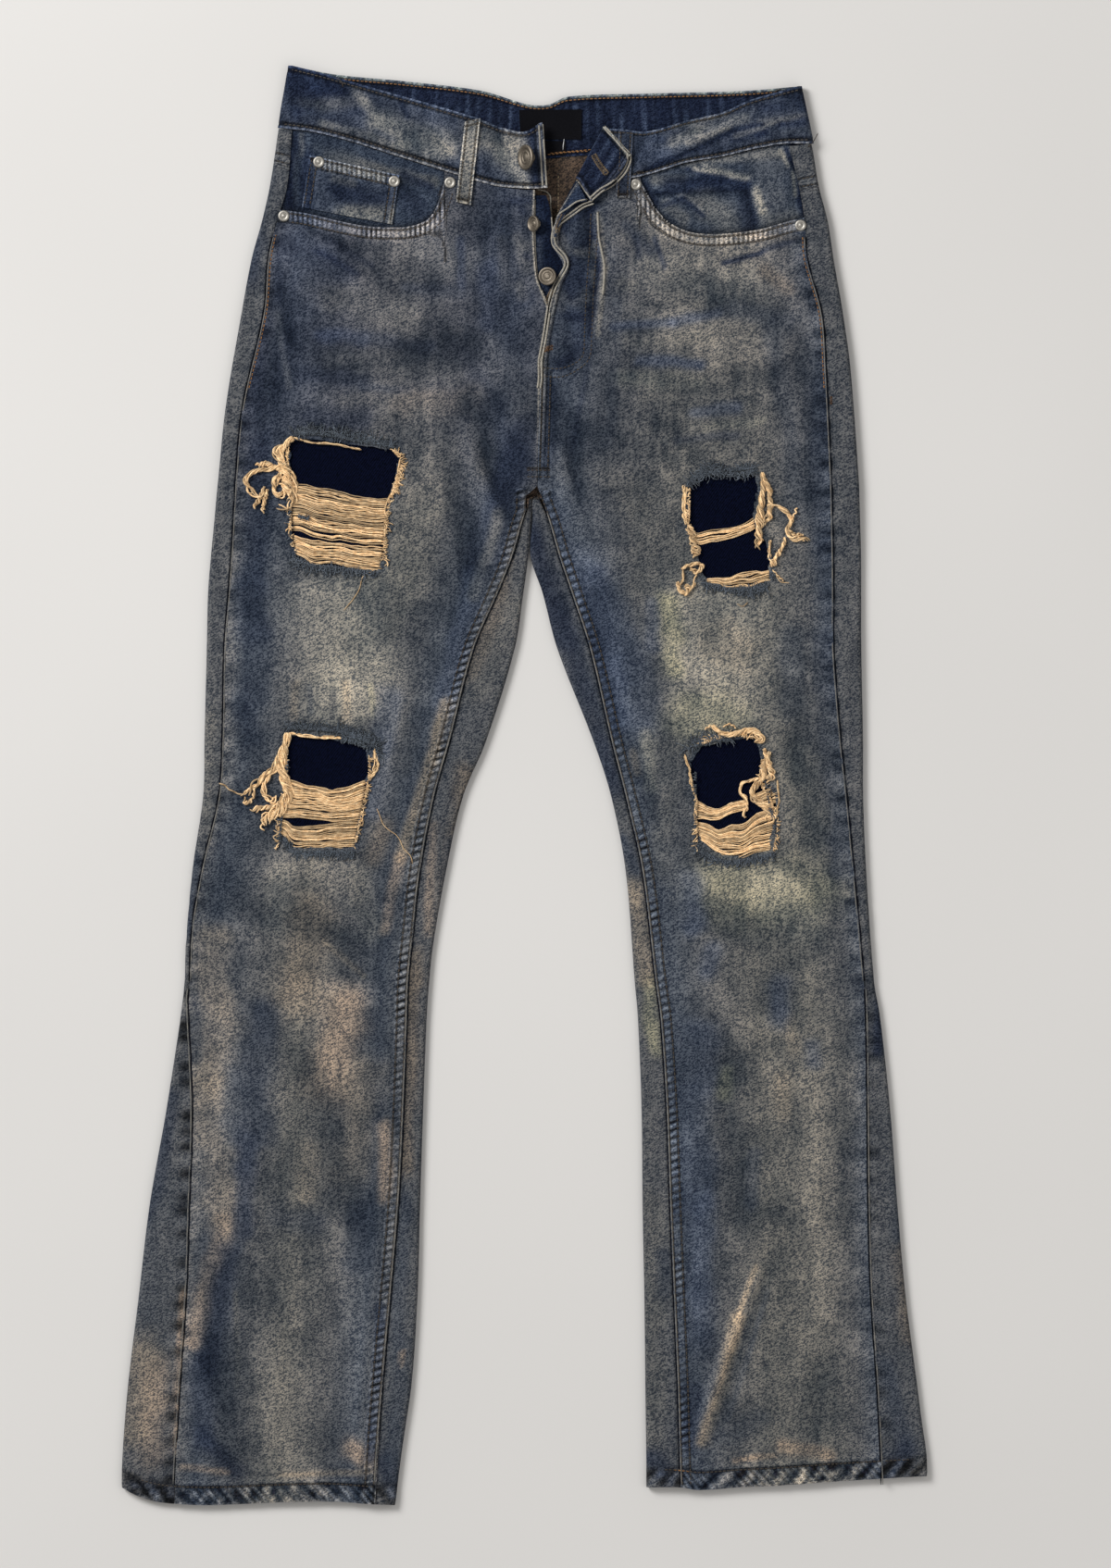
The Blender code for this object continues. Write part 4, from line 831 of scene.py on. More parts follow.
leftStrips = (
    (287, -215, 292, -372, 7, "slate", 0.7), (290, -359, 298, -425, 7, "brown", 0.45),
    (274, -157, 270, -204, 4, "navy", 0.7), (95, -149, 101, -204, 5, "olive", 0.65),
    (95, -210, 99, -294, 8, "steel", 0.6), (98, -320, 99, -498, 9, "grey", 0.6),
    (101, -514, 108, -530, 7, "indigo", 0.7), (277, -446, 290, -504, 7, "deep", 0.6),
    (292, -514, 277, -530, 8, "indigo", 0.6), (106, -362, 106, -388, 6, "deep", 0.5),
    (249, 246, 252, 51, 7, "steel", 0.6), (254, 25, 256, -80, 4, "steel", 0.6),
    (7, 196, 34, 114, 9, "navy", 0.7), (34, 114, 68, -1, 7, "indigo", 0.7),
    (76, -41, 86, -67, 4, "deep", 0.7), (86, -80, 92, -148, 6, "sand", 0.6),
)


def backRelief(side, points):
    # seam puckers on the strips, and long soft waves and roping under the leg
    x, y, z = points[..., 0], points[..., 1], points[..., 2]
    out = side.out
    fromOut = (x - side.outseam(y)) * out
    fromIn = (side.inseam(y) - x) * out
    wave = 2.2 * puckers(y + 3 * softNoise(x, y, 40, 42), frontLook["pucker"],
                         46 if side is left else 47) - 0.6
    topSide = blend(2.2, 4.4, z - lift(y))
    relief = -backLook["puckerHigh"] * wave * hump(fromOut, 8) * topSide
    relief += 0.18 * np.sin(2 * math.pi * y / 4.6) * hump(fromIn, 4) * topSide
    fromHem = y - follow(side.hem, x)
    relief += plateau(fromHem, garment["hemTall"], 1.4) * (0.35 + 0.3 * roping(x, fromHem)) * topSide
    return relief, fromOut, fromIn, fromHem, topSide


def makeBack(side, strips):
    g = garment
    rows = []
    cells = backLook["cells"]
    for y in spread(g["hem"], g["levelTop"], stepsFor(g["levelTop"] - g["hem"], g["underCell"]))[:-1]:
        clear = g["gap"] / 2 + 1.0 * blend(200, g["levelTop"], y)
        start, end = side.inseam(y) - side.out * clear, side.outseam(y) + side.out * g["gap"] / 2
        def line(x, y=y):
            return side.level(x, np.full(np.shape(x), y))
        rows.append(backSection(side, line, start, side.edge("inner", y), side.edge("outer", y), end, cells))
    for share in spread(0, 1, stepsFor(215, g["underCell"])):
        def line(x, share=share):
            return g["levelTop"] + share * (follow(yokeSeam, x) - g["levelTop"])
        rows.append(seatSection(side, line, cells))
    points = np.array(rows)
    return finishBack(side, points, strips, f"back_{side.name}", f"back_panel_{side.name}")


def seatSection(side, line, cells):
    sideY = float(line(side.out * garment["side"]))
    start = follow(centreBack, float(line(follow(centreBack, 480)))) + side.out * garment["gap"] / 2
    end = side.outseam(sideY) + side.out * garment["gap"] / 2
    return backSection(side, line, start, None, side.edge("outer", sideY), end, cells)


def finishBack(side, points, strips, name, node):
    relief, fromOut, fromIn, fromHem, topSide = backRelief(side, points)
    flip = side.out > 0
    normal = gridNormals(points) * (-1 if flip else 1)
    points = points + normal * np.maximum(relief, -0.6)[..., None]
    above, below, mix = backWash(side, points, strips)
    x, y = points[..., 0], points[..., 1]
    colour = over(above, below, mix)
    colour = mottle(colour, x, y, relief)
    # painted shade: dark lines in the fold of the outseam and inseam, and in the groove along the hem's top
    gain = 1 - 0.15 * hump(fromOut - 0.8, 1.2) * topSide - 0.4 * hump(fromIn - 0.6, 1.2) * topSide
    gain = gain - 0.25 * hump(fromHem - 14.5, 1.6)
    marks = puckers(y + 3 * softNoise(x, y, 40, 42), frontLook["pucker"], 46 if side is left else 47)
    marks = marks * hump(fromOut - 4, 5) * (1 - blend(-165, -140, y)) * topSide
    gain = gain - (0.3 if side is left else 0.75) * marks
    rope = plateau(fromHem, 14, 1.0) * (0.5 * roping(x * -side.out, fromHem) - 0.3 + 0.4 * softNoise(x, y, 5,
            54))
    gain = np.clip(gain + rope * topSide, 0.25, 2)
    colour = colour * gain[..., None]
    backing = mottle(dyed(x, backLook["inside"]), x, y, 0 * relief, 0.6)
    aboveYoke = y - follow(yokeSeam, x)
    seam = seamMarks(y, 0, np.where(aboveYoke > 0, aboveYoke, 99))
    piece = addCloth(name, points, cloth, denim, toLinear(colour), toLinear(backing), flip=flip, inside=True,
                     seam=seam)
    standFor(node)
    return piece


def makeYoke(side, strips):
    rows = []
    for share in spread(0, 1, 14):
        def line(x, share=share):
            low, high = follow(yokeSeam, x) + garment["gap"], follow(backWaist, x) - garment["gap"]
            return low + (high - low) * share
        rows.append(seatSection(side, line, backLook["cells"]))
    return finishBack(side, np.array(rows), strips, f"yoke_cloth_{side.name}", f"yoke_{side.name}")


# Waistband: one ribbon of two plies, from the right front end round the back to the turned left end.

bandFrontRight = ((17, 457.5, 13, 507.5), (4, 457.2, 1, 500.8), (-20, 459.2, -15, 503.4),
                  (-45, 466, -38, 512),
                  (-75, 475.4, -68, 521), (-105, 484.8, -98, 529.5), (-135, 494.2, -128, 538),
                  (-162, 500.8, -154, 545.5), (-186, 503.8, -177.5, 551.5))
bandBack = ((-186, 503.8, -177.5, 551.5), (-152, 500.1, -145, 545), (-95, 493.7, -89.5, 539.6),
            (-36, 488.1, -33, 532.5), (1, 482.4, 3, 522), (18.5, 481, 18.5, 521.9), (33, 482.4, 33, 528),
            (97, 485.2, 95, 530.4), (169, 488.1, 166, 532.3), (218, 491.8, 209.5, 535.8))
bandFrontLeft = ((218, 491.8, 209.5, 535.8), (199, 491.8, 194.5, 531.5), (177, 488.1, 173, 525.2),
                 (153, 482.3, 152, 516), (124, 477.3, 123.5, 509.1), (104, 471, 102, 502.7),
                 (92, 467.5, 91.6, 500.8),
                 (70, 463.9, 77, 502.5), (42, 463.8, 63.5, 503.2))
bandTurned = ((42, 463.8, 63.5, 503.2), (50.4, 448, 80.2, 483.2))
bandBulge = (2.6, -2.2)
bandLook = {"across": 32, "cell": 2.0, "high": 46.0, "rowLow": 0.07, "rowHigh": 0.92, "pucker": 9.0,
            "outside": "#29303e", "inside": "#111829", "streak": "#46536a", "rim": "#646b6a"}


def bandSection(stations, layer):
    stations = np.array(stations, float)
    place = runLength(stations[:, 2:])
    at = np.linspace(0, place[-1], stepsFor(place[-1], bandLook["cell"]))
    fine = np.arange(0.7, 6, 0.7)
    at = np.unique(np.concatenate([at, fine if layer == "buttonEnd" else at,
                                   place[-1] - fine if layer == "turned" else at]))
    columns = [follow(np.stack([place, stations[:, i]], -1), at) for i in range(4)]
    t = np.linspace(0, 1, bandLook["across"])
    x = columns[0][:, None] + (columns[2] - columns[0])[:, None] * t
    y = columns[1][:, None] + (columns[3] - columns[1])[:, None] * t
    if layer == "turned":
        swell = (at / place[-1])[:, None] ** 2 * np.sin(math.pi * t)
        x, y = x + bandBulge[0] * swell, y + bandBulge[1] * swell
    if layer == "back":
        z = lift(y) + garment["band"] / 2
    else:
        z = upper(x, y) + garment["frontBand"] + (garment["turnedEnd"] if layer == "turned" else 0)
    return np.stack([x, y, z], -1)


def bandTurn(start, end, outward, count=9):
    rows = []
    for angle in np.radians(np.linspace(-90, 90, count)[1:-1]):
        radius = np.abs(end[:, 2] - start[:, 2]) / 2
        z = start[:, 2] + (end[:, 2] - start[:, 2]) * (1 + math.sin(angle)) / 2
        reach = radius * math.cos(angle)
        rows.append(np.stack([start[:, 0] + outward[0] * reach, start[:, 1] + outward[1] * reach, z], -1))
    return np.array(rows)


def makeBand():
    frontRight, back = bandSection(bandFrontRight, "buttonEnd"), bandSection(bandBack, "back")
    frontLeft, turned = bandSection(bandFrontLeft, "front"), bandSection(bandTurned, "turned")
    parts = [frontRight, bandTurn(frontRight[-1], back[0], (-1, 0)), back,
             bandTurn(back[-1], frontLeft[0], (1, 0)),
             frontLeft, bandTurn(frontLeft[-1], turned[0], (-0.88, 0.47)), turned]
    kinds = np.concatenate([np.full(len(part), kind) for part, kind in zip(parts, (0, 1, 2, 3, 4, 5, 6))])
    middle = np.concatenate(parts)
    x, y = middle[..., 0], middle[..., 1]
    t = np.linspace(0, 1, bandLook["across"])[None, :]
    place = runLength(middle[:, bandLook["across"] // 2])[:, None]
    front = np.isin(kinds, (0, 4))[:, None]
    wave = np.sin(2 * math.pi * (place + 4 * softNoise(place, t * 0, 30, 61)) / bandLook["pucker"] + t * 2.5)
    relief = 0.35 * creaseHeight(x, y) + 0.2 * wave * hump(t - 0.1, 0.2) + 0.22 * softNoise(x, y, 14, 62)
    for x0, y0, x1, y1, reach, high in bandCreases:
        away, along = strokeDistance((x0, y0, x1, y1), x + 2 * softNoise(x, y, 16, 63), y)
        relief = relief + high * hump(away, reach) * front
    relief = relief - 0.3 * hump(t - bandLook["rowLow"], 0.02) - 0.3 * hump(t - bandLook["rowHigh"], 0.02)
    for distance in (place, place[-1] - place):
        pale, dark = wornEdgeAndShade(distance + 0 * t)
        relief = relief + 0.8 * pale - 0.7 * dark
    normal = gridNormals(middle)
    keep = np.where(kinds == 2, 0.35, 1.0)[:, None]
    middle = middle + normal * (relief * keep * np.where(kinds == 6, -1, 1)[:, None])[..., None]
    edges = np.minimum(t, 1 - t)
    lightness = hump(edges, 0.035)
    frontColour = paint(dyed(x, bandLook["outside"]), bandStrokes, x, y)
    inner = np.sin(2 * math.pi * (place + 3 * softNoise(place, t * 0, 13, 64)) / 8.5) * (0.55
            + softNoise(place, t * 8, 6, 65))
    streak = (0.7 * np.clip(inner, 0, 1) * hump(t - 0.55, 0.4))[..., None]
    rim = (0.75 * blend(0.93, 0.97, t) * (0.8 + 0.5 * softNoise(place, t * 20, 3, 67)))[..., None]
    insideColour = over(screenColour(bandLook["inside"]), screenColour(bandLook["streak"]), streak)
    insideColour = over(insideColour, screenColour(bandLook["rim"]), rim)
    outerColour = frontColour * (1 + 0.35 * lightness)[..., None]
    outerColour = mottle(outerColour, x, y, relief * 1.4, 2.0)
    insideColour = mottle(insideColour * (1 + 0.25 * lightness)[..., None], x, y, relief)
    ends = np.where(kinds >= 5, 1.0, 0.0)[:, None]
    pale, dark = wornEdgeAndShade(place[-1] - place + 0 * t)
    sideRub = hump(edges, 0.03) * (0.55 + 0.45 * softNoise(place, t * 30, 9, 66)) * ends
    # the darkening at the turned end is painted shade: in the groove of its fold and a shadow beyond it
    insideColour = rubAndShade(insideColour, np.clip(0.2 * pale + sideRub, 0, 1), dark)
    pale, dark = wornEdgeAndShade(place + 0 * t)
    # painted shade: navy on the steep face of the band's right end, about 8 mm in from it, where it stands up
    fold = hump(place - 8, 4) + 0 * t
    outerColour = over(outerColour, screenColour(washes["navy"]), 0.8 * fold[..., None])
    hemRub = hump(t, 0.035) * np.maximum(blend(260, 60, place), 0.7 * (kinds == 4)[:, None]) * front
    # the darkening here is painted shade: at the band's right end, and along the groove of the lower stitching
    # on the front
    outerColour = rubAndShade(outerColour, np.clip(0.15 * pale + 0.65 * hemRub, 0, 1),
                      dark + 0.6 * hump(t - 0.09, 0.03) * front)
    seam = seamMarks(place + 0 * t, 0.35 * hump(edges, 0.12) + 0 * place,
                     np.minimum(edges * bandLook["high"] * 0.6, 5) + 0 * place)
    piece = addCloth("waistband_cloth", middle, garment["band"], denim, toLinear(outerColour),
                     toLinear(insideColour), inside=True,
                     seam=seam)
    standFor("waistband")
    return piece, (middle, kinds)


bandCreases = (
    (-160, 535, -120, 505, 4, 0.8), (-70, 515, -50, 478, 4, 0.7), (-20, 498, -8, 462, 4, -0.7),
    (-12, 500, 0, 470, 4, 0.8), (92, 471, 131, 487, 2.5, -0.9), (131, 487, 161, 502, 2.5, -0.9),
    (161, 502, 182, 506, 2.5, -0.6), (110, 484, 131, 494, 4, 0.8), (131, 494, 160, 508, 4, 0.8),
    (152, 496, 187, 505, 4.5, 0.9), (184, 495, 215, 508, 4, 0.9), (86, 468, 98, 498, 4, 0.8),
    (80, 470, 92, 500, 3.5, -0.7), (130, 500, 160, 512, 4, -0.6), (-110, 520, -85, 490, 5, -0.6),
    (60, 470, 66, 498, 4, 0.6),
)
bandStrokes = (
    (-172, 539, -130, 526, 11, "navy", 0.95), (-178, 520, -150, 516, 5, "indigo", 0.8),
    (-175, 524, -160, 522, 3, "steel", 0.4), (-155, 521, -124, 524, 5, "steel", 0.6),
    (-129, 532, -114, 514, 4, "fog", 0.47), (-107, 505, -56, 488, 9, "fog", 0.62),
    (-140, 544, -122, 538, 3, "navy", 0.6), (-96, 527, -89, 512, 2, "navy", 0.6),
    (-74, 507, -63, 499, 2, "slate", 0.6), (-155, 507, -89, 489, 3, "pale", 0.42),
    (-33, 496, -3, 488, 10, "pale", 0.6), (-18, 481, 2, 463, 6, "fog", 0.59),
    (-180, 545, -175, 514, 4, "navy", 0.5), (-114, 502, -99, 494, 2, "indigo", 0.5),
    (-84, 522, -53, 512, 3, "indigo", 0.45), (-69, 494, -56, 486, 3, "pale", 0.51),
    (-90, 492, -66, 484, 7, "fog", 0.5), (-28, 481, -20, 469, 3, "slate", 0.5),
    (88, 501, 125, 486, 6, "slate", 0.6), (99, 496, 114, 493, 3, "navy", 0.7),
    (125, 492, 155, 503, 2, "pale", 0.55), (153, 509, 181, 518, 2, "slate", 0.5),
    (155, 499, 179, 500, 2, "navy", 0.7), (181, 518, 200, 521, 3, "navy", 0.6),
    (209, 527, 214, 518, 3, "navy", 0.7), (159, 493, 214, 507, 2, "navy", 0.6),
    (162, 497, 209, 512, 2, "pale", 0.42), (114, 504, 155, 514, 2, "fog", 0.42),
    (181, 507, 214, 513, 3, "steel", 0.6), (88, 481, 155, 488, 3, "indigo", 0.5),
    (113, 492, 131, 501, 4, "fog", 0.5), (131, 501, 169, 510, 4, "fog", 0.45),
    (180, 534, 217, 524, 7, "indigo", 0.8), (88, 494, 104, 476, 8, "indigo", 0.8),
    (92, 471, 105, 477, 2, "navy", 1), (105, 477, 131, 487, 2, "navy", 1),
    (131, 487, 149, 497, 2, "navy", 1), (149, 497, 161, 502, 2, "navy", 1),
    (161, 502, 182, 506, 2, "navy", 0.8), (180, 497, 197, 506, 2, "navy", 0.9),
    (197, 506, 217, 511, 2, "navy", 0.8), (190, 501, 218, 503, 3, "slate", 0.6),
)


# Small flat pieces: loops, labels, pockets and fly.

def cornerGrid(corners, across, along):
    # corners as low left, low right, top left, top right
    (ax, ay), (bx, by), (cx, cy), (dx, dy) = corners
    u, v = np.meshgrid(np.linspace(0, 1, across), np.linspace(0, 1, along))
    x = (ax * (1 - u) + bx * u) * (1 - v) + (cx * (1 - u) + dx * u) * v
    y = (ay * (1 - u) + by * u) * (1 - v) + (cy * (1 - u) + dy * u) * v
    return x, y, u, v


def overBand(x, y):
    return upper(x, y) + garment["frontBand"] + garment["band"] / 2 + garment["gap"] + 0.5


loops = {
    "frontCorners": (((-52.5, 447.3), (-41.2, 444.6), (-45.6, 508.6), (-33.8, 511)),
                     ((70, 450.5), (80.4, 450.3), (72.2, 501.2), (83.2, 500.6))),
    "backAt": ((-120, 499), (22.5, 485), (150, 490)), "backHalf": 5.5, "drop": 5.0, "rise": 36.0,
    "thick": 1.0,
    "frontColours": ("#686969", "#232a38"), "backColour": "#454b55",
}


def makeLoops():
    for number, corners in enumerate(loops["frontCorners"], 1):
        x, y, u, v = cornerGrid(corners, 9, 34)
        ridge = 0.35 * hump(u - 0.08, 0.1) + 0.35 * hump(u - 0.92, 0.1)
        swell = 0.5 * np.sin(math.pi * np.clip((v - 0.12) / 0.76, 0, 1))
        relief = ridge + swell + 0.12 * softNoise(x, y, 4, 71)
        z = overBand(x, y) + relief
        colour = dyed(x, loops["frontColours"][number - 1]) * (0.85 + 1.0 * ridge + 0.15 * v)[..., None]
        rubbed = hump(v, 0.025) + 0.7 * hump(u - 0.06, 0.07) + 0.6 * hump(u - 0.94, 0.07)
        # the dark line just above the loop's lower end is painted shade where the loop starts to rise off the
        # cloth
        colour = rubAndShade(mottle(colour, x, y, relief * 0.5), 0.6 * np.clip(rubbed, 0, 1),
                     0.5 * hump(v - 0.07, 0.03))
        seam = seamMarks(y, 0, np.minimum(u, 1 - u) * 12)
        piece = addCloth(f"loop_cloth_{number}", np.stack([x, y, z], -1), loops["thick"], denim,
                         toLinear(colour), inside=True,
                         seam=seam)
        standFor(f"belt_loop_{number}")
        declareCloth(corners)
    for number, (midX, midY) in enumerate(loops["backAt"], 3):
        half, low, high = loops["backHalf"], midY - loops["drop"], midY + loops["rise"]
        corners = ((midX - half, low), (midX + half, low), (midX - half, high), (midX + half, high))
        x, y, u, v = cornerGrid(corners, 7, 20)
        ridge = 0.2 * hump(u - 0.1, 0.12) + 0.2 * hump(u - 0.9, 0.12)
        colour = mottle(dyed(x, loops["backColour"]) * (0.85 + ridge)[..., None], x, y, ridge)
        z = np.full(x.shape, loops["thick"] / 2)
        piece = addCloth(f"loop_cloth_{number}", np.stack([x, y, z], -1), loops["thick"], denim,
                         toLinear(colour),
                         flip=True, inside=True)
        standFor(f"belt_loop_{number}")
        declareCloth(corners)


def declareCloth(corners):
    # unpacks the four corners and does nothing more with them
    (ax, ay), (bx, by), (cx, cy), (dx, dy) = corners


labelPieces = {
    "mainCorners": ((-3, 495.2), (43.5, 495.2), (-4, 517.8), (44, 518.2)),
    "tabCorners": ((15.8, 483), (31.5, 483), (15.8, 494), (31.5, 494)), "thick": 0.5,
    "colour": "#15151a",
}


def makeLabels():
    for name, key, node in (("woven_label_cloth", "mainCorners", "label_main"),
                            ("size_tab_cloth", "tabCorners", "label_size")):
        x, y, u, v = cornerGrid(labelPieces[key], 24, 12)
        edge = np.minimum(np.minimum(u, 1 - u) * 24, np.minimum(v, 1 - v) * 12)
        z = lift(y) + garment["band"] + garment["gap"] + labelPieces["thick"] / 2
        z = z + 0.25 * np.exp(-edge) + 0.1 * softNoise(x, y, 9, 81)
        z = z + (garment["gap"] if key == "tabCorners" else 0)
        colour = dyed(x, labelPieces["colour"])
        piece = addCloth(name, np.stack([x, y, z], -1), labelPieces["thick"], labelSatin, toLinear(colour),
                         inside=True)
        standFor(node)
        declareCloth(labelPieces[key])


facingLook = {"colour": "#2c3544", "below": 11.0}  # how far it reaches under the pocket mouth, in millimetres


def facingPoints(side):
    mouthEnd = side.mouth[-1][0] if side.out < 0 else side.mouth[0][0]
    innerEnd = mouthEnd - side.out * facingLook["below"]
    def height(x, share):
        high = follow(frontWaist, x) - garment["gap"]
        low = np.minimum(follow(side.mouth, x), high) - facingLook["below"]
        return low + (high - low) * share
    rows = []
    for share in np.linspace(0, 1, 60):
        outerEnd = side.edge("outseam", height(side.out * garment["side"], share))
        x = np.linspace(outerEnd, innerEnd, 120)
        rows.append(np.stack([x, height(x, share)], -1))
    points = np.array(rows)
    return points if side.out < 0 else points[:, ::-1]


facingCreases = (
    (-160, 455, -168, 492, 5, 0.9), (-175, 445, -172, 480, 4, -0.7), (-120, 440, -75, 447, 7, 0.5),
    (-90, 460, -78, 440, 5, -0.5), (127, 472, 171, 461, 3.5, 1.1), (101, 458, 172, 460, 3, 0.7),
    (101, 452, 172, 455, 2.5, -0.9), (176, 460, 182, 430, 4, 1.1), (171, 456, 176, 430, 3, -0.9),
    (106, 446, 121, 452, 3, 0.8), (121, 452, 138, 440, 3, 0.8), (190, 478, 192, 440, 8, 0.7),
    (140, 476, 205, 486, 4, 0.8), (145, 446, 160, 434, 9, 0.6), (206, 484, 206, 440, 3, -0.6),
)
facingStrokes = (
    (124, 478, 205, 486, 4, "pale", 0.54), (140, 473, 172, 466, 3, "fog", 0.43),
    (92, 470, 118, 476, 4, "slate", 0.6), (190, 478, 190, 448, 13, "steel", 0.5),
    (205, 482, 206, 442, 2, "slate", 0.6), (178, 452, 184, 436, 4, "fog", 0.36),
    (125, 473, 140, 467, 1.5, "navy", 0.9), (140, 466, 171, 460, 3, "navy", 0.95),
    (101, 454, 135, 455, 1.5, "navy", 1), (135, 455, 169, 458, 1.5, "navy", 1),
    (170, 458, 174, 430, 4, "navy", 0.95), (131, 473, 170, 465, 2, "fog", 0.6),
    (178, 456, 183, 440, 3, "fog", 0.6), (100, 463, 122, 463, 4, "grey", 0.6),
    (128, 460, 142, 461, 4, "navy", 0.8), (142, 446, 158, 436, 11, "pale", 0.5),
    (120, 450, 136, 447, 3, "steel", 0.7), (108, 444, 122, 434, 5, "grey", 0.6),
    (106, 444, 121, 449, 1.8, "navy", 0.8), (121, 449, 138, 437, 1.8, "navy", 0.8),
    (166, 452, 170, 428, 3, "indigo", 0.7), (92, 458, 100, 446, 3, "navy", 0.8),
    (201, 488, 205, 478, 1.6, "navy", 1), (205, 478, 210, 470, 1.6, "navy", 1),
    (210, 470, 212, 460, 1.6, "navy", 1), (212, 460, 211, 449, 1.6, "navy", 1),
    (211, 449, 215, 437, 1.6, "navy", 1), (196, 487, 202, 475, 1.4, "fog", 0.7),
    (206, 470, 208, 452, 1.4, "pale", 0.7), (112, 459, 152, 462, 5, "navy", 0.9),
    (190, 434, 206, 438, 4, "pale", 0.36), (-179, 499, -179, 443, 4, "navy", 0.9),
    (-171, 499, -171, 484, 2, "steel", 0.7), (-165, 484, -167, 443, 4, "navy", 0.8),
    (-150, 484, -68, 462, 4, "grey", 0.7), (-160, 489, -130, 483, 3, "slate", 0.6),
    (-94, 458, -74, 433, 7, "indigo", 0.6), (-92, 450, -82, 446, 6, "indigo", 0.6),
    (-94, 469, -72, 459, 3, "navy", 0.7), (-175, 484, -175, 448, 2, "slate", 0.5),
    (-155, 448, -140, 441, 5, "indigo", 0.5),
)


def makeFacing(side):
    points = facingPoints(side)
    x, y = points[..., 0], points[..., 1]
    relief = 0.18 * softNoise(x, y, 12, 91)
    for x0, y0, x1, y1, reach, high in facingCreases:
        away, _ = strokeDistance((x0, y0, x1, y1), x, y)
        relief = relief + high * 0.7 * hump(away, reach)
    relief = np.minimum(relief, np.where(np.abs(y - follow(side.mouth, x)) < 12, 0.05, 1.2))
    colour = paint(dyed(x, facingLook["colour"]), facingStrokes, x, y)
    colour = mottle(colour, x, y, relief * 1.5)
    shade = 1 - 0.35 * hump(y - follow(side.mouth, x), 3.5)
    z = upper(x, y) - ply + relief
    piece = addCloth(f"pocket_cloth_{side.name}", np.stack([x, y, z], -1), cloth, denim,
                     toLinear(colour * shade[..., None]))
    standFor(f"pocket_facing_{side.name}")
    wide, high = np.ptp(x) * mm, np.ptp(y) * mm


coinPocket = {"corners": ((-170.5, 443), (-101.5, 430), (-164.7, 483), (-95.9, 467.5)), "hem": 9.0,
              "colour": "#333b4a"}
coinStrokes = (
    # the navy stroke below the hem, from (-142, 458) to (-109, 447), is a painted shadow of the hem
    (-150, 477, -110, 468, 4, "fog", 0.6), (-142, 458, -109, 447, 7, "navy", 0.95),
    (-145, 466, -132, 462, 3, "grey", 0.6), (-152, 438, -134, 433, 4, "slate", 0.5),
    (-134, 437, -80, 437, 9, "fog", 0.7), (-134, 443, -99, 438, 3, "grey", 0.5),
    (-164, 479, -165, 443, 3, "navy", 0.7), (-104, 453, -107, 433, 2, "indigo", 0.5),
)


def makeCoinPocket():
    x, y, u, v = cornerGrid(coinPocket["corners"], 50, 30)
    fromTop = (1 - v) * 38
    relief = 0.35 * plateau(fromTop, coinPocket["hem"], 1.0) + 0.12 * softNoise(x, y, 10, 92)
    relief += 0.35 * hump(u, 0.04) + 0.35 * hump(1 - u, 0.04)
    colour = paint(dyed(x, coinPocket["colour"]), coinStrokes, x, y)
    gain = 1 + 0.25 * hump(fromTop, 1.3) + 0.2 * hump(u, 0.03)
    colour = mottle(colour * gain[..., None], x, y, relief)
    z = upper(x, y) + np.clip(relief, -0.2, 1.0)
    seam = seamMarks(x * 1.6, 0.7 * plateau(fromTop, 9.0), fromTop, np.minimum(u, 1 - u) * 69 * 1.33)
    piece = addCloth("coin_pocket_cloth", np.stack([x, y, z], -1), cloth, denim, toLinear(colour),
                     inside=True, seam=seam)
    standFor("coin_pocket")
    declareCloth(coinPocket["corners"])


backPockets = {"right": (-100, 405), "left": (130, 405), "half": 72.0, "high": 128.0, "point": 20.0,
               "colour": "#4c525b", "fade": "#6c6e6c"}


def makeBackPocket(side):
    midX, top = backPockets[side.name]
    u, v = np.meshgrid(np.linspace(-1, 1, 60), np.linspace(0, 1, 56))
    x = midX + u * backPockets["half"]
    deep = backPockets["high"] + backPockets["point"] * (1 - np.abs(u))
    y = top - deep * v
    edge = np.minimum((1 - np.abs(u)) * backPockets["half"], (1 - v) * deep)
    relief = 0.25 * hump(edge, 2.5) + 0.2 * plateau(v * deep, 14, 1.2)
    colour = dyed(x, backPockets["colour"])
    middleFade = np.exp(-((u / 0.6) ** 2) - (((v - 0.5) / 0.35) ** 2))[..., None]
    colour = over(colour, screenColour(backPockets["fade"]), 0.5 * middleFade)
    gain = 1 + 0.25 * hump(edge, 1.4) - 0.22 * hump(edge - 8.8, 1.2)
    colour = mottle(colour * gain[..., None], x, y, relief)
    z = cloth / 2 + 0.25 - np.clip(relief, 0, 0.25)
    piece = addCloth(f"back_pocket_cloth_{side.name}", np.stack([x, y, z], -1), cloth, denim,
                     toLinear(colour), inside=True)
    standFor(f"back_pocket_{side.name}")


flyLook = {
    "shieldEdge": ((330, 27), (360, 32), (385, 31), (400, 31), (415, 26), (432, 21.5), (446, 18.6),
                   (452, 16.5)),
    "clear": 0.8, "drop": 1.8, "shieldColour": "#0b1324", "facingColour": "#232d40", "edgeColour": "#a9a39a",
    "facingInner": ((420, 22.2), (429, 23.4), (440, 27.2), (451, 33.8), (462, 40.4)),
    "facingOuter": ((420, 24), (429, 26.5), (440, 33), (446, 40), (447.6, 48)),
    "strokes": ((12, 415, 12, 398, 3, "slate", 0.5), (12, 440, 16, 420, 4, "blue", 0.3),
                (14, 385, 15, 378, 3, "slate", 0.4)),
}


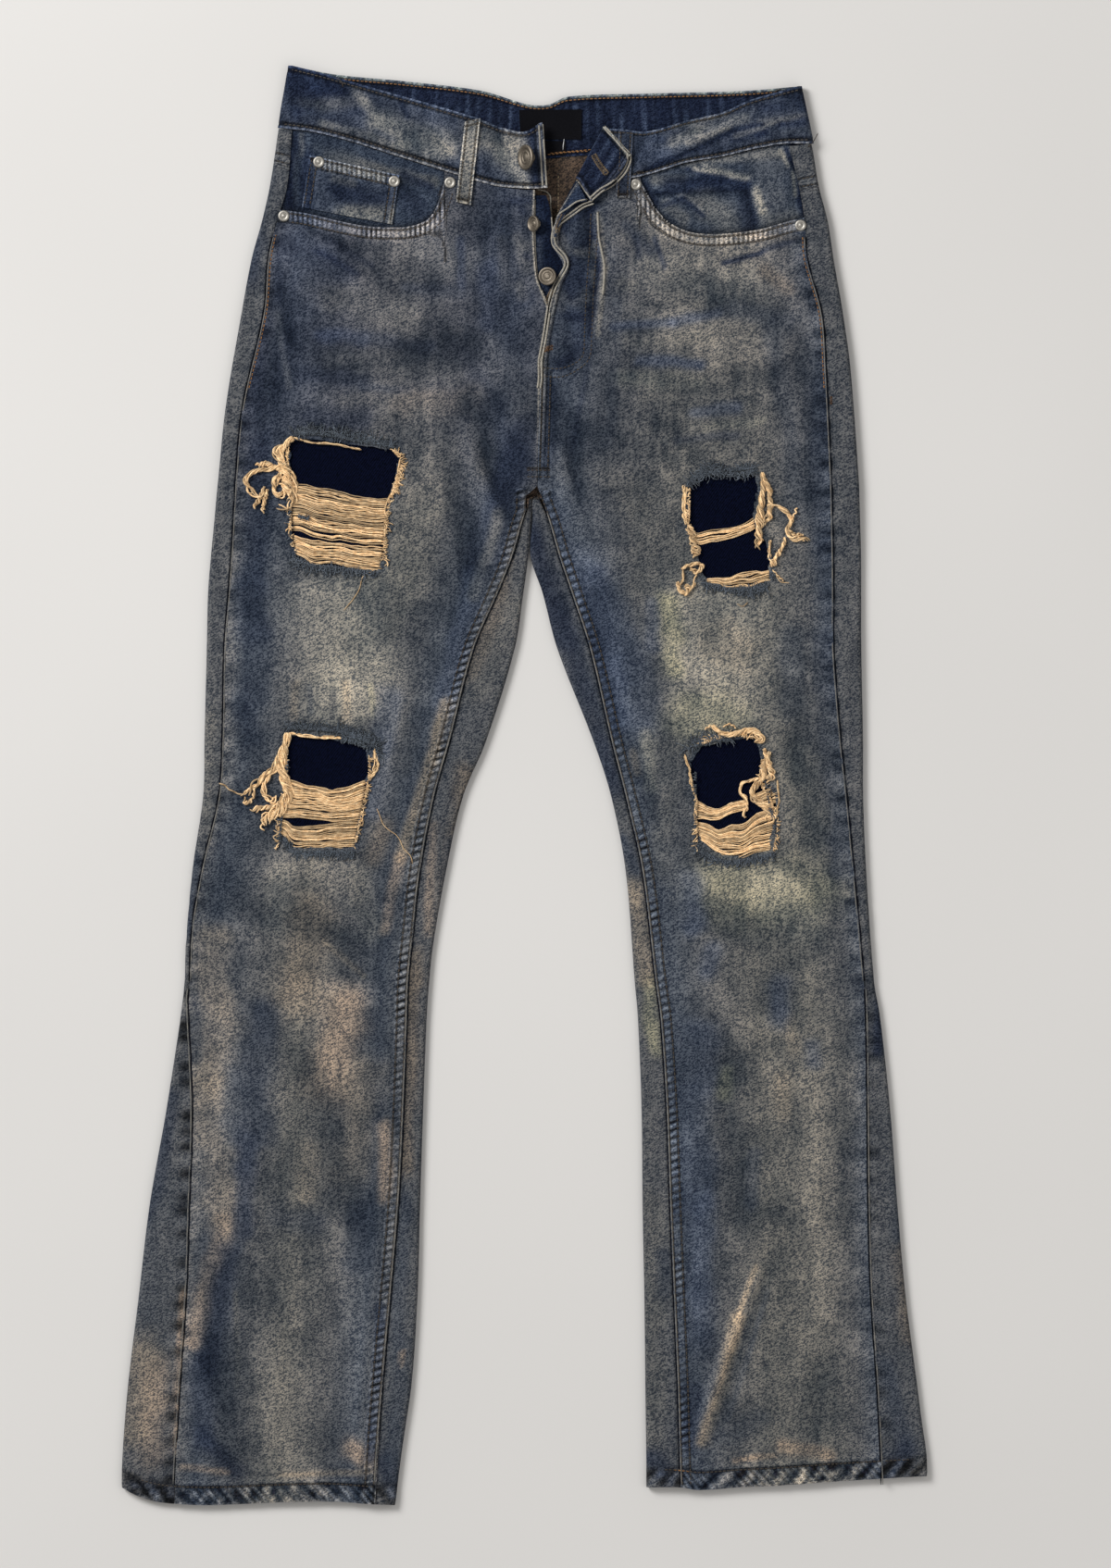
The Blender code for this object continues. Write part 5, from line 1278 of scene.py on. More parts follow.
def makeFly():
    y, u = np.meshgrid(np.linspace(334, 452, 60), np.linspace(0, 1, 24), indexing="ij")
    x = -16 + (follow(flyLook["shieldEdge"], y) + 16) * u
    depth = ply + flyLook["clear"] + (flyLook["drop"] - flyLook["clear"]) * (1 - blend(355, 385, y))
    relief = 0.15 * softNoise(x, y, 10, 95) - 0.5 * hump(x - 7, 2.5) * blend(340, 380, y)
    colour = paint(dyed(x, flyLook["shieldColour"]), flyLook["strokes"], x, y)
    colour = mottle(colour, x, y, relief)
    piece = addCloth("fly_shield_cloth", np.stack([x, y, upper(x, y) - depth + relief], -1), cloth, denim,
                     toLinear(colour), inside=True)
    standFor("fly_shield")
    t, u = np.meshgrid(np.linspace(0, 1, 26), np.linspace(0, 1, 12), indexing="ij")
    yIn, yOut = 420 + 42 * t, 420 + 27.6 * t
    start, end = follow(flyLook["facingInner"], yIn), follow(flyLook["facingOuter"], yOut)
    x, y = start + (end - start) * u, yIn + (yOut - yIn) * u
    relief = 0.25 * hump(u, 0.12) + 0.15 * softNoise(x, y, 5, 96)
    colour = mottle(dyed(x, flyLook["facingColour"]), x, y, relief)
    edge = hump(u, 0.14)[..., None] * 0.6
    colour = over(colour, screenColour(flyLook["edgeColour"]), edge)
    z = upper(x, y) + ply + flyLook["clear"] + relief
    piece = addCloth("fly_facing_cloth", np.stack([x, y, z], -1), cloth, denim, toLinear(colour),
                     inside=True)
    standFor("fly_facing")


# Rips: the dark cloth behind, bare weft across, frayed edges and loose ends.

# Bands of bare weft across the openings: the opening, the node it stands for, its upper and its lower edge.
wefts = (
    (1, "upper", ((-179, 232), (-168, 230), (-158, 227), (-148, 226), (-134, 223), (-121, 221), (-103, 220)),
     ((-178, 195), (-172, 195), (-161, 191), (-144, 188), (-129, 185), (-107, 184))),
    (1, "lower", ((-177, 192), (-168, 189), (-158, 187), (-144, 186), (-129, 183), (-107, 182)),
     ((-176, 177), (-168, 174), (-162, 169), (-149, 170), (-134, 167), (-111, 163))),
    (2, "upper", ((123, 199), (132, 194), (144, 195), (159, 198), (168, 201), (177, 206)),
     ((124, 191), (135, 184), (144, 186), (156, 189), (166, 192), (177, 197))),
    (2, "lower", ((138, 158), (149, 160), (161, 162), (169, 163), (177, 165), (182, 164), (190, 166)),
     ((139, 156), (149, 155), (154, 151), (171, 151), (182, 155), (190, 157))),
    (3, "upper", ((-181, 5), (-166, 1), (-154, -2), (-137, -1), (-126, 3), (-121, 5)),
     ((-187, -25), (-176, -25), (-160, -25), (-142, -28), (-126, -27))),
    (3, "lower", ((-189, -26), (-182, -27), (-177, -32), (-165, -31), (-148, -29), (-126, -28)),
     ((-190, -34), (-183, -40), (-178, -49), (-160, -49), (-148, -48), (-130, -49))),
    (4, "upper", ((131, -11), (143, -17), (154, -15), (161, -12), (170, -11)),
     ((131, -26), (139, -25), (149, -25), (161, -21), (170, -18))),
    (4, "upper", ((176, -7), (186, -2), (195, 2)), ((184, -17), (190, -14), (196, -13))),
    (4, "lower", ((131, -28), (141, -29), (149, -33), (160, -30), (170, -28), (179, -21), (193, -16)),
     ((134, -43), (143, -51), (152, -56), (163, -56), (175, -52), (190, -50))),
)
weftLook = {"pitch": 1.05, "radius": 0.48, "wander": 0.9}
yarn = {"fringeRadius": 0.36, "tuftRadius": 0.62, "looseRadius": 0.3, "shade": (0.5, 1.5)}


def addThreads(name, paths, radii, material, sides=4):
    # round threads along paths of (x, y, z) points, joined into one mesh, each of its own shade
    points, faces, shades, offset = [], [], [], 0
    random = np.random.default_rng(len(paths))
    angle = np.linspace(0, 2 * math.pi, sides, endpoint=False)
    for path, radius in zip(paths, radii):
        path = np.asarray(path, float)
        run = np.gradient(path, axis=0)
        run /= np.maximum(np.linalg.norm(run, axis=1, keepdims=True), 1e-9)
        side = np.cross(run, (0.02, 0.03, 1.0))
        side /= np.maximum(np.linalg.norm(side, axis=1, keepdims=True), 1e-9)
        up = np.cross(side, run)
        taper = np.ones(len(path))
        taper[0] = taper[-1] = 0.45
        ring = (path[:, None] + radius * taper[:, None, None] *
                (side[:, None] * np.cos(angle)[None, :, None] + up[:, None] * np.sin(angle)[None, :, None]))
        points.append(ring.reshape(-1, 3))
        index = offset + np.arange(len(path) * sides).reshape(len(path), sides)
        after = np.roll(index, -1, axis=1)
        faces.append(np.stack([index[:-1], after[:-1], after[1:], index[1:]], -1).reshape(-1, 4))
        ends = offset + len(path) * sides
        points.append(path[[0, -1]])
        shades.append(np.full(len(path) * sides + 2, random.uniform(*yarn["shade"])))
        first, last = index[0], index[-1]
        faces.append(np.stack([np.full(sides, ends), np.roll(first, -1), first, first], -1))
        faces.append(np.stack([np.full(sides, ends + 1), last, np.roll(last, -1), np.roll(last, -1)], -1))
        offset = ends + 2
    everything = np.concatenate(faces)
    flat = everything[:, 2] == everything[:, 3]
    shade = np.repeat(np.concatenate(shades)[:, None], 3, axis=1)
    return addMesh(name, np.concatenate(points), [everything[~flat], everything[flat][:, :3]], material,
                   shade, sharp=0)


def laidPath(xy, height):
    # a path on the cloth, `height` over it
    xy = np.asarray(xy, float)
    ground = onCloth(xy[:, 0], xy[:, 1])
    return np.column_stack([xy, np.where(np.isfinite(ground), ground, upper(xy[:, 0], xy[:, 1])) + height])


def smoothPath(xy, count):
    xy = np.asarray(xy, float)
    place = runLength(xy)
    at = np.linspace(0, place[-1], count)
    return np.stack([follow(np.stack([place, xy[:, i]], -1), at) for i in range(xy.shape[1])], -1)


patchLook = {"colour": "#04061a", "reach": 9}  # how far the backing goes on under the cloth, in millimetres


def makePatch(rip):
    rows = np.array(rips[rip], float)
    reach = patchLook["reach"]
    low, high = rows[:, 0].min() - reach, rows[:, 0].max() + reach
    start, end = rows[:, 1].min() - reach, rows[:, 2].max() + reach
    x, y, u, v = cornerGrid(((start, low), (end, low), (start, high), (end, high)), 40, 46)
    z = upper(x, y) - ply - 0.2 + 0.25 * softNoise(x, y, 18, 101) - 0.1
    colour = dyed(x, patchLook["colour"]) * (1 + 0.2 * softNoise(x, y, 14, 102))[..., None]
    piece = addCloth(f"rip_backing_{rip}", np.stack([x, y, z], -1), cloth, rawDenim, toLinear(colour))
    standFor(f"rip_patch_{rip}")


def makeWefts():
    random = np.random.default_rng(7)
    bands = {}
    for rip, level, high, low in wefts:
        high, low = smoothPath(high, 26), smoothPath(low, 26)
        count = max(3, int(np.linalg.norm(high - low, axis=1).max() / weftLook["pitch"]))
        for i in range(count):
            share = (i + 0.5 + random.uniform(-0.35, 0.35)) / count
            x, y = (low + (high - low) * share).T
            swing = np.sin(math.pi * np.linspace(0, 1, 26))
            y = y + weftLook["wander"] * (softNoise(x, y * 0.6 + i * 0.15, 9, 110 + rip) + 0.6 * softNoise(x,
                    y + i * 7, 5, 120)) * (0.4 + swing)
            y = y - 0.9 * swing * random.uniform(0, 1) ** 3 + 0.6 * softNoise(x + i * 3, y, 14, 122)
            z = upper(x, y) - 0.25 + 0.45 * softNoise(x + i * 9, y, 8, 130) + 0.35 * (i % 2)
            bands.setdefault((rip, level), []).append(np.column_stack([x, y, z]))
    for (rip, level), paths in bands.items():
        radii = weftLook["radius"] * random.uniform(0.8, 1.15, len(paths))
        piece = addThreads(f"bare_weft_{rip}_{level}", paths, radii, bareWeft)
        standFor(f"rip_weft_{rip}_{level}")


def fringeLine(line, count, long, spreadAngle, random, side):
    # short curly ends along a line of the opening, pointing to one side
    line = np.asarray(line, float)
    place = runLength(line)
    paths = []
    for at in random.uniform(0, place[-1], count):
        x, y = np.interp(at, place, line[:, 0]), np.interp(at, place, line[:, 1])
        index = min(np.searchsorted(place, at), len(line) - 1)
        index = max(index, 1)
        run = line[index] - line[index - 1]
        angle = math.atan2(run[1], run[0]) + side * math.pi / 2 + random.uniform(-spreadAngle, spreadAngle)
        length = long * random.uniform(0.4, 1.2) * (1 + 0.45 * float(softNoise(np.array([x]), np.array([y]),
                7, 103)[0]))
        curl = random.uniform(-0.9, 0.9)
        xy = [(x - math.cos(angle) * 1.0, y - math.sin(angle) * 1.0)]
        for _ in range(6):
            xy.append((xy[-1][0] + math.cos(angle) * length / 6, xy[-1][1] + math.sin(angle) * length / 6))
            angle += curl * random.uniform(0.2, 1.0)
        z = upper(np.array([p[0] for p in xy]), np.array([p[1]
                for p in xy])) + cloth / 2 + random.uniform(0.2, 1.3)
        paths.append(np.column_stack([np.array(xy), z]))
    return paths


fringes = {
    # rip, opening edge as (x, y) points, ends per millimetre, length, side it points to
    "blue": (
        (1, ((-179, 268), (-160, 269), (-130, 264), (-100, 259)), 2.4, 9, 1),
        (1, ((-178, 176), (-166, 170), (-140, 167), (-112, 163)), 2.2, 8, -1),
        (2, ((126, 232), (141, 241), (160, 239), (178, 242)), 2.2, 7, -1),
        (2, ((137, 156), (156, 151), (187, 153)), 2.4, 8, -1),
        (2, ((126, 232), (141, 242), (160, 241), (178, 244)), 2.2, 6, 1),
        (3, ((-182, 43), (-165, 43), (-140, 40), (-118, 33)), 2.6, 8, 1),
        (3, ((-182, -42), (-176, -50), (-150, -50), (-130, -51)), 2.6, 7, -1),
        (3, ((-140, 37), (-126, 35), (-115, 29), (-112, 20)), 3.0, 9, 1),
        (3, ((-140, 36), (-126, 33), (-120, 28)), 2.2, 4, -1),
        (4, ((126, 27), (134, 31), (146, 34), (156, 34)), 3.2, 9, 1),
        (4, ((133, -45), (145, -55), (160, -58), (190, -52)), 2.4, 8, -1),
        (1, ((-180, 240), (-179, 190)), 0.8, 4, -1), (2, ((188, 190), (189, 160)), 1.2, 6, 1),
        (3, ((-181, 20), (-188, -45)), 0.8, 4, -1),
        (4, ((131, 10), (131, -52)), 0.9, 4, -1), (4, ((183, 10), (194, -45)), 0.8, 5, 1),
        (1, ((-173, 206), (-166, 204)), 5, 3, 1),
    ),
    "bare": (
        (1, ((-100, 256), (-94, 248), (-98, 236), (-102, 222)), 1.3, 5, 1),
        (1, ((-106, 215), (-108, 175)), 0.5, 3, 1),
        (2, ((126.5, 228), (126, 206), (125, 199)), 1.2, 4, -1),
        (3, ((-119, 24), (-119, 8), (-122, -8)), 0.9, 4, 1),
        (4, ((136, 32), (158, 38), (178, 36)), 1.0, 6, 1), (4, ((182, 20), (181, 2), (188, -10)), 1.0, 5, 1),
        (1, ((-181, 262), (-181, 235)), 0.8, 4, -1), (3, ((-183, 34), (-182, 10)), 0.8, 4, -1),
        (1, ((-179, 215), (-179, 196), (-177, 183)), 0.7, 4, -1),
        (1, ((-103, 222), (-106, 200), (-107, 172)), 0.7, 4, 1),
        (3, ((-183, -4), (-188, -30), (-189, -48)), 0.7, 4, -1),
        (3, ((-122, -8), (-126, -28), (-130, -48)), 0.7, 4, 1),
        (4, ((131, -8), (132, -30), (132, -52)), 0.7, 4, -1),
        (4, ((188, -10), (194, -28), (191, -52)), 0.7, 4, 1),
    ),
}


def makeFringes():
    random = np.random.default_rng(19)
    for kind, material in (("blue", indigoYarn), ("bare", bareWeft)):
        paths = []
        for rip, line, density, long, side in fringes[kind]:
            fine = smoothPath(line, 20)
            length = np.linalg.norm(np.diff(fine, axis=0), axis=1).sum()
            paths += fringeLine(fine, int(length * density * 1.5), long * 1.15, 1.1, random, side)
        radii = np.full(len(paths), yarn["fringeRadius"] * (1.0 if kind == "blue" else 1.3))
        addThreads(f"{kind}_fringe", paths, radii, material, sides=3)


# Bunches of loose weft: the tuft they stand for, strands, how far they stray, and their course over the
# cloth.
tufts = (
    (1, 8, 2.6, ((-177, 266), (-183, 262), (-187, 252), (-183, 240), (-180, 228), (-178, 216))),
    (1, 4, 2.2, ((-180, 262), (-191, 256), (-184, 246), (-178, 236), (-177, 222), (-181, 212), (-190, 216))),
    (1, 5, 1.6, ((-182, 246), (-196, 242), (-207, 240), (-213, 234), (-210, 226), (-201, 222), (-195, 228))),
    (1, 4, 1.5, ((-184, 240), (-196, 246), (-207, 244))),
    (1, 5, 2.0, ((-186, 240), (-192, 232), (-188, 222), (-183, 226), (-186, 234), (-193, 229))),
    (1, 3, 1.2, ((-199, 229), (-203, 220), (-208, 211))), (1, 3, 1.2,
            ((-197, 227), (-199, 217), (-201, 208))),
    (2, 7, 2.4, ((182, 240), (183, 228), (181, 214), (180, 200), (180, 188), (180, 179))),
    (2, 6, 2.0, ((182, 238), (187, 228), (189, 216), (186, 204), (183, 194))),
    (2, 4, 1.4, ((186, 215), (194, 214), (201, 209), (205, 203), (202, 196), (205, 190), (212, 189),
                 (221, 186))),
    (2, 2, 1.2, ((202, 196), (207, 192), (214, 194))), (2, 1, 0.8, ((205, 203), (207, 208), (208, 213))),
    (2, 3, 1.3, ((200, 190), (198, 183), (194, 176), (190, 170), (189, 166))),
    (2, 2, 1.2, ((188, 188), (188, 175), (191, 169), (193, 175), (192, 182))),
    (2, 1, 0.5, ((190, 165), (195, 160), (201, 155))),
    (2, 5, 2.6, ((126, 200), (129, 190), (132, 178), (131, 170))),
    (2, 4, 1.2, ((120, 166), (127, 169), (136, 169), (134, 164), (125, 165))),
    (2, 2, 0.8, ((122, 165), (121, 157), (118, 152), (121, 147), (127, 150), (130, 155), (132, 163))),
    (2, 4, 1.2, ((117, 156), (119, 150), (124, 147), (125, 152), (120, 153))),
    (3, 11, 3.2, ((-181, 40), (-184, 28), (-186, 16), (-184, 5), (-181, -6), (-186, -17), (-196, -24),
                  (-200, -32))),
    (3, 5, 2.2, ((-183, 34), (-189, 20), (-194, 11), (-204, 3), (-212, -6), (-222, -8))),
    (3, 1, 0.5, ((-216, -7), (-223, -5), (-230, 0), (-237, 4))),
    (3, 3, 1.6, ((-190, 12), (-199, 1), (-199, -8), (-192, -12), (-188, -5))),
    (3, 2, 1.1, ((-206, -1), (-210, -12), (-214, -13), (-216, -8))),
    (3, 4, 1.6, ((-182, -6), (-190, -15), (-202, -18), (-213, -18))),
    (3, 3, 1.5, ((-186, -17), (-197, -24), (-201, -30), (-199, -36))),
    (4, 8, 2.0, ((188, 26), (184, 15), (183, 7), (177, 0), (174, -5), (177, -11), (184, -16), (188, -23),
                 (186, -31))),
    (4, 4, 1.8, ((183, 28), (187, 20), (189, 8), (186, 0))), (4, 3, 1.4,
            ((175, -8), (183, -12), (190, -18), (191, -26), (186, -30))),
    (4, 3, 1.1, ((180, 6), (172, 3), (166, 1), (165, -4), (169, -10), (170, -18), (168, -25), (171, -26))),
    (5, 8, 1.8, ((144, 46), (149, 41), (156, 39), (163, 40), (170, 42), (177, 41), (182, 35), (175, 32))),
    (5, 1, 0.5, ((152, 45), (157, 47), (163, 44))), (5, 1, 0.5, ((138, 43), (141, 45), (144, 46))),
)


def makeTufts():
    random = np.random.default_rng(23)
    bunches = {}
    for node, strands, stray, course in tufts:
        for _ in range(int(strands * 1.5)):
            short = random.uniform(0.75, 1.0)
            fine = smoothPath(course, 44)[:int(44 * short)]
            phase, turns = random.uniform(0, 6.28), random.uniform(2.0, 4.5)
            t = np.linspace(0, 1, len(fine))
            away = 1.5 * stray * (0.5 * np.sin(turns * 6.28 * t + phase)
                                  + 0.5 * softNoise(t * 40 + phase * 50, t * 0 + strands, 7,
                                  140)) * (0.55 + 0.7 * t)
            fine = fine + sideways(fine) * away[:, None]
            height = 0.5 + 0.9 * (1 + np.cos(turns * 6.28 * t + phase)) + random.uniform(0, 0.6)
            bunches.setdefault(node, []).append(laidPath(fine, height))
    for node, paths in bunches.items():
        piece = addThreads(f"loose_weft_{node}", paths, np.full(len(paths), yarn["tuftRadius"]), bareWeft)
        standFor(f"rip_tuft_{node}")


# Rolled bare edges along the openings, and single threads that came loose.
boundEdges = (
    (((-178, 267), (-163, 263), (-149, 262), (-134, 259), (-125, 257)), 4, 0.8),
    (((-183, 262), (-181, 245), (-180, 233)), 3, 0.8),
    (((-182, 40), (-168, 38), (-154, 37), (-140, 36)), 6, 1.4),
    (((-115, 28), (-113, 16), (-118, 4)), 6, 2.0),
    (((123, 229), (122, 214), (124, 200)), 7, 2.0), (((-95, 250), (-97, 240), (-99, 228), (-103, 222),
            (-107, 212), (-105, 205)), 3, 0.7),
    (((123, 23), (126, 14), (128, 2), (131, -10), (131, -24)), 6, 1.4),
    (((194, 4), (195, -10), (193, -24)), 3, 0.8),
)
looseThreads = (
    ((-109, 166), (-115, 165), (-124, 160), (-127, 150), (-132, 142), (-138, 134)),
    ((-113, -18), (-108, -30), (-97, -40), (-92, -49), (-88, -53), (-86, -60)),
    ((193, 160), (196, 156), (203, 155)), ((163, 139), (167, 137), (171, 140)),
    ((-172, 202), (-168, 208), (-160, 204), (-163, 198), (-170, 199)),
)


# Turned edges rubbed pale, laid as fine cords: the course, how far apart its two cords are, their radius.
wornRidges = (
    (((53, 447), (45, 444), (38, 439), (31, 434), (25, 429), (23, 425), (22, 419), (23, 414), (26, 410),
      (30, 406), (32, 402),
      (32, 398), (30, 394), (27, 389), (24, 384), (22, 379), (19, 368), (18, 361), (17, 354), (15, 341),
      (13, 331), (12, 325),
      (12, 311), (11, 304)), 2.3, 0.7),
    (((48, 449), (40, 447), (33, 442), (26, 437), (22, 431)), 0, 0.6),
    (((80, 484), (80, 478), (77, 471), (72, 465), (66, 460), (59, 456), (51, 449)), 2.4, 0.7),
    (((61, 505), (65, 500), (70, 495), (75, 489), (80, 484)), 1.6, 0.6),
    (((40, 464), (44, 459), (48, 453), (51, 449)), 0, 0.6),
    (((11, 507), (12, 490), (13, 474), (14, 459)), 0, 0.6), (((14, 507), (15, 490), (16, 474), (17, 459)), 0,
            0.6),
    (((10, 457), (17, 455), (20, 451), (20, 445), (21, 432), (22, 419)), 0, 0.5),
    (((56, 439), (57, 420), (59, 410), (61, 399), (61, 388), (60, 376)), 0, 0.8),
    (((8, 455), (8, 420), (9, 400), (11, 384), (17, 368)), 0, 0.5),
)


# Down each leg: how far a rubbed ridge and the dark cord beside it lie inward from the seam, and the
# stretch. The dark cord is painted shade: it stands for the shadow in the fold of the seam.
seamRidges = {"inseam": ((0.8, -0.5, -536, 214, 0.5),), "outseam": ((0.8, -0.5, -150, 425, 0.42),
        (-1.0, 0.4, -536, -152, 0.45))}


def seamCords(side):
    ridges, shadowCords = [], []
    for seam, stretches in seamRidges.items():
        for ridge, fold, low, high, radius in stretches:
            y = np.arange(low, high, 5.0)
            line = side.outseam(y) if seam == "outseam" else side.inseam(y)
            inward = -side.out if seam == "outseam" else side.out
            # the second cord is the dark one: painted shade for the shadow in the seam's fold
            for away, group in ((ridge, ridges), (fold, shadowCords)):
                path = laidPath(np.stack([line + inward * away, y], -1), 0.15 if group is ridges else 0.05)
                path[:, 2] = np.convolve(np.pad(path[:, 2], 2, "edge"), np.ones(5) / 5, "valid")
                if group is ridges:  # it sinks into the cloth here and there, where it isn't rubbed
                    path[:, 2] += 0.5 * softNoise(path[:, 0], y, 13, 155) - 0.12
                group.append((path, radius if group is ridges else 0.5))
    return ridges, shadowCords


looseEnds = (((217, 489), (221, 493), (225, 500)), ((-139, 535), (-140, 539), (-144, 542)),
             ((191, 531), (194, 533), (197, 534)))


def makeLooseThreads():
    random = np.random.default_rng(29)
    paths, radii = [], []
    for line, strands, stray in boundEdges:
        for i in range(strands):
            fine = smoothPath(line, 30)
            noise = stray * np.stack([softNoise(fine[:, 0] + i * 31, fine[:, 1], 5, 150),
                                      softNoise(fine[:, 0], fine[:, 1] + i * 31, 5, 151)], -1)
            fine = fine + noise
            z = upper(fine[:, 0], fine[:, 1]) + cloth / 2 + 0.35 + 0.4 * random.uniform(0, 1, 1)
            paths.append(np.column_stack([fine, z]))
            radii.append(0.45)
    for line in looseThreads:
        fine = smoothPath(line, 24)
        fine = fine + 0.5 * np.stack([softNoise(fine[:, 0], fine[:, 1], 4, 152),
                                      softNoise(fine[:, 0], fine[:, 1], 4, 153)], -1)
        paths.append(laidPath(fine, 0.6))
        radii.append(yarn["looseRadius"])
    addThreads("loose_threads", paths, radii, bareWeft)
    paths, radii = [], []
    for line, apart, radius in wornRidges:
        fine = smoothPath(line, 120)
        for offset in ((-apart / 2, apart / 2) if apart else (0,)):
            path = laidPath(offsetLine(fine, offset), 0.25)
            path[:, 2] = np.convolve(np.pad(path[:, 2], 4, "edge"), np.ones(9) / 9, "valid")
            paths.append(path)
            radii.append(radius)
    addThreads("worn_edges", paths, radii, rubbedEdge, sides=6)
    rubbed, shadowCords = [], []
    for side in sides:
        ridges, dark = seamCords(side)
        rubbed += ridges
        shadowCords += dark
    addThreads("worn_seams", [path for path, _ in rubbed], [radius for _, radius in rubbed],
                       rubbedSeam, sides=6)
    # dark cords of painted shade along the seams, for the shadow in each seam's fold
    addThreads("painted_seam_shadows", [path for path, _ in shadowCords], [radius for _, radius in shadowCords],
                       seamShadowCord, sides=4)
    paths = [laidPath(smoothPath(line, 12), 0.5) for line in looseEnds]
    addThreads("loose_ends", paths, [0.32] * len(paths), brownThread)


# Stitching.

stitchLook = {"long": 2.5, "pitch": 3.2, "wide": 0.42, "high": 0.3}
underStitchLook = {"long": 2.5, "pitch": 3.2, "wide": 0.42, "high": 0.1}


def addStitches(name, lines, material, look=stitchLook, below=False):
    # runs of machine stitches laid on the cloth along lines of (x, y) points
    centres, runs = [], []
    for line in lines:
        line = np.asarray(line, float)
        place = runLength(line)
        at = np.arange(look["pitch"] / 2, place[-1], look["pitch"])
        a, b = pointsAt(line, at - look["long"] / 2), pointsAt(line, at + look["long"] / 2)
        centres.append((a + b) / 2)
        runs.append(b - a)
    centres, runs = np.concatenate(centres), np.concatenate(runs)
    z0 = onCloth(*(centres - runs / 2).T, below)
    z1 = onCloth(*(centres + runs / 2).T, below)
    zMid = onCloth(*centres.T, below)
    rise = -1 if below else 1
    keep = np.isfinite(z0 + z1 + zMid) & (np.abs(z1 - z0) < 1.6)
    centres, runs, zMid, z0, z1 = centres[keep], runs[keep], zMid[keep], z0[keep], z1[keep]
    along = np.column_stack([runs, z1 - z0])
    unit = along / np.linalg.norm(along, axis=1, keepdims=True)
    side = np.cross(unit, (0, 0, 1.0))
    side /= np.linalg.norm(side, axis=1, keepdims=True)
    up = np.cross(side, unit) * rise
    base = np.column_stack([centres, np.maximum(zMid * rise, (z0 + z1) / 2 * rise) * rise])
    shape = []
    for t, size in ((-0.5, 0.25), (-0.3, 1.0), (0.3, 1.0), (0.5, 0.25)):
        for w, h in ((-1, 0.1), (0, 1), (1, 0.1), (0, -0.8)):
            sink = (-0.4 if abs(t) == 0.5 else 0.4) * look["high"]
            shape.append(base + along * t + side * (w * size * look["wide"])
                         + up * (h * size * look["high"] + sink))
    points = np.stack(shape, 1)
    count = len(points)
    ring = np.arange(16).reshape(4, 4)
    after = np.roll(ring, -1, axis=1)
    body = np.stack([ring[:-1], ring[1:], after[1:], after[:-1]], -1).reshape(-1, 4)
    caps = np.array([ring[0], ring[3][::-1]])
    faces = np.concatenate([body, caps])
    faces = faces if not below else faces[:, ::-1]
    everything = (faces[None] + 16 * np.arange(count)[:, None, None]).reshape(-1, 4)
    return addMesh(name, points.reshape(-1, 3), everything, material, sharp=0)


def lineAlong(makeX, low, high, step=2.0):
    y = np.arange(low, high, step)
    return np.stack([makeX(y), y], -1)


def offsetLine(line, away):
    return np.asarray(line, float) + away * sideways(line)


def openRuns(line, reach=1.6):
    # the stretches of a line of (x, y, z) points that no other cloth covers
    bare = np.abs(onCloth(line[:, 0], line[:, 1]) - line[:, 2]) < reach
    ends = np.flatnonzero(np.diff(np.r_[0, bare.astype(int), 0]))
    return [line[a:b, :2] for a, b in zip(ends[::2], ends[1::2]) if b - a > 3]


def zigzag(line, wide, pitch):
    # the close side-to-side stitching of a bartack or a buttonhole
    line = np.asarray(line, float)
    place = runLength(line)
    at = np.arange(0, place[-1] + pitch / 2, pitch / 2)
    fine = pointsAt(line, at)
    return fine + np.where(np.arange(len(fine)) % 2, 0.5, -0.5)[:, None] * wide * sideways(fine)


seamRows = {"inseam": (1.4, 7.8), "mouth": (2.1, 8.4), "hem": 13.4, "rise": (1.6, 7.6), "side": 2.2}
flyStitch = (((13.5, 320), (27.5, 319.5), (39.5, 324), (45, 330), (46, 345), (47.5, 380), (50, 415),
              (51, 440)),
             ((12, 314), (28, 313), (40, 318), (49.5, 327), (51.5, 345), (53, 380), (55.5, 415),
              (56.5, 440)))
bartacks = {
    "orange": (((14, 334.5), (22, 337)), ((14, 332.5), (21.5, 334.5)), ((-213, 303), (-211, 309)),
               ((235, 292), (235, 298))),
    "brown": (((1.8, 243), (19, 243)), ((-52, 450), (-43, 448)), ((-46, 505), (-35, 507.5)),
              ((71, 453), (80, 453)),
              ((-66, 452), (-62, 460)), ((-102.5, 466), (-97, 464)), ((-165, 481), (-160, 479)),
              ((86, 470), (91, 470))),
}
buttonholes = (
    (((62, 469.6), (57, 476), (52.9, 483)), 3.2), (((25, 425), (27, 431), (30, 437)), 2.6),
    (((17, 371), (19, 375), (21.5, 380)), 2.4),
)


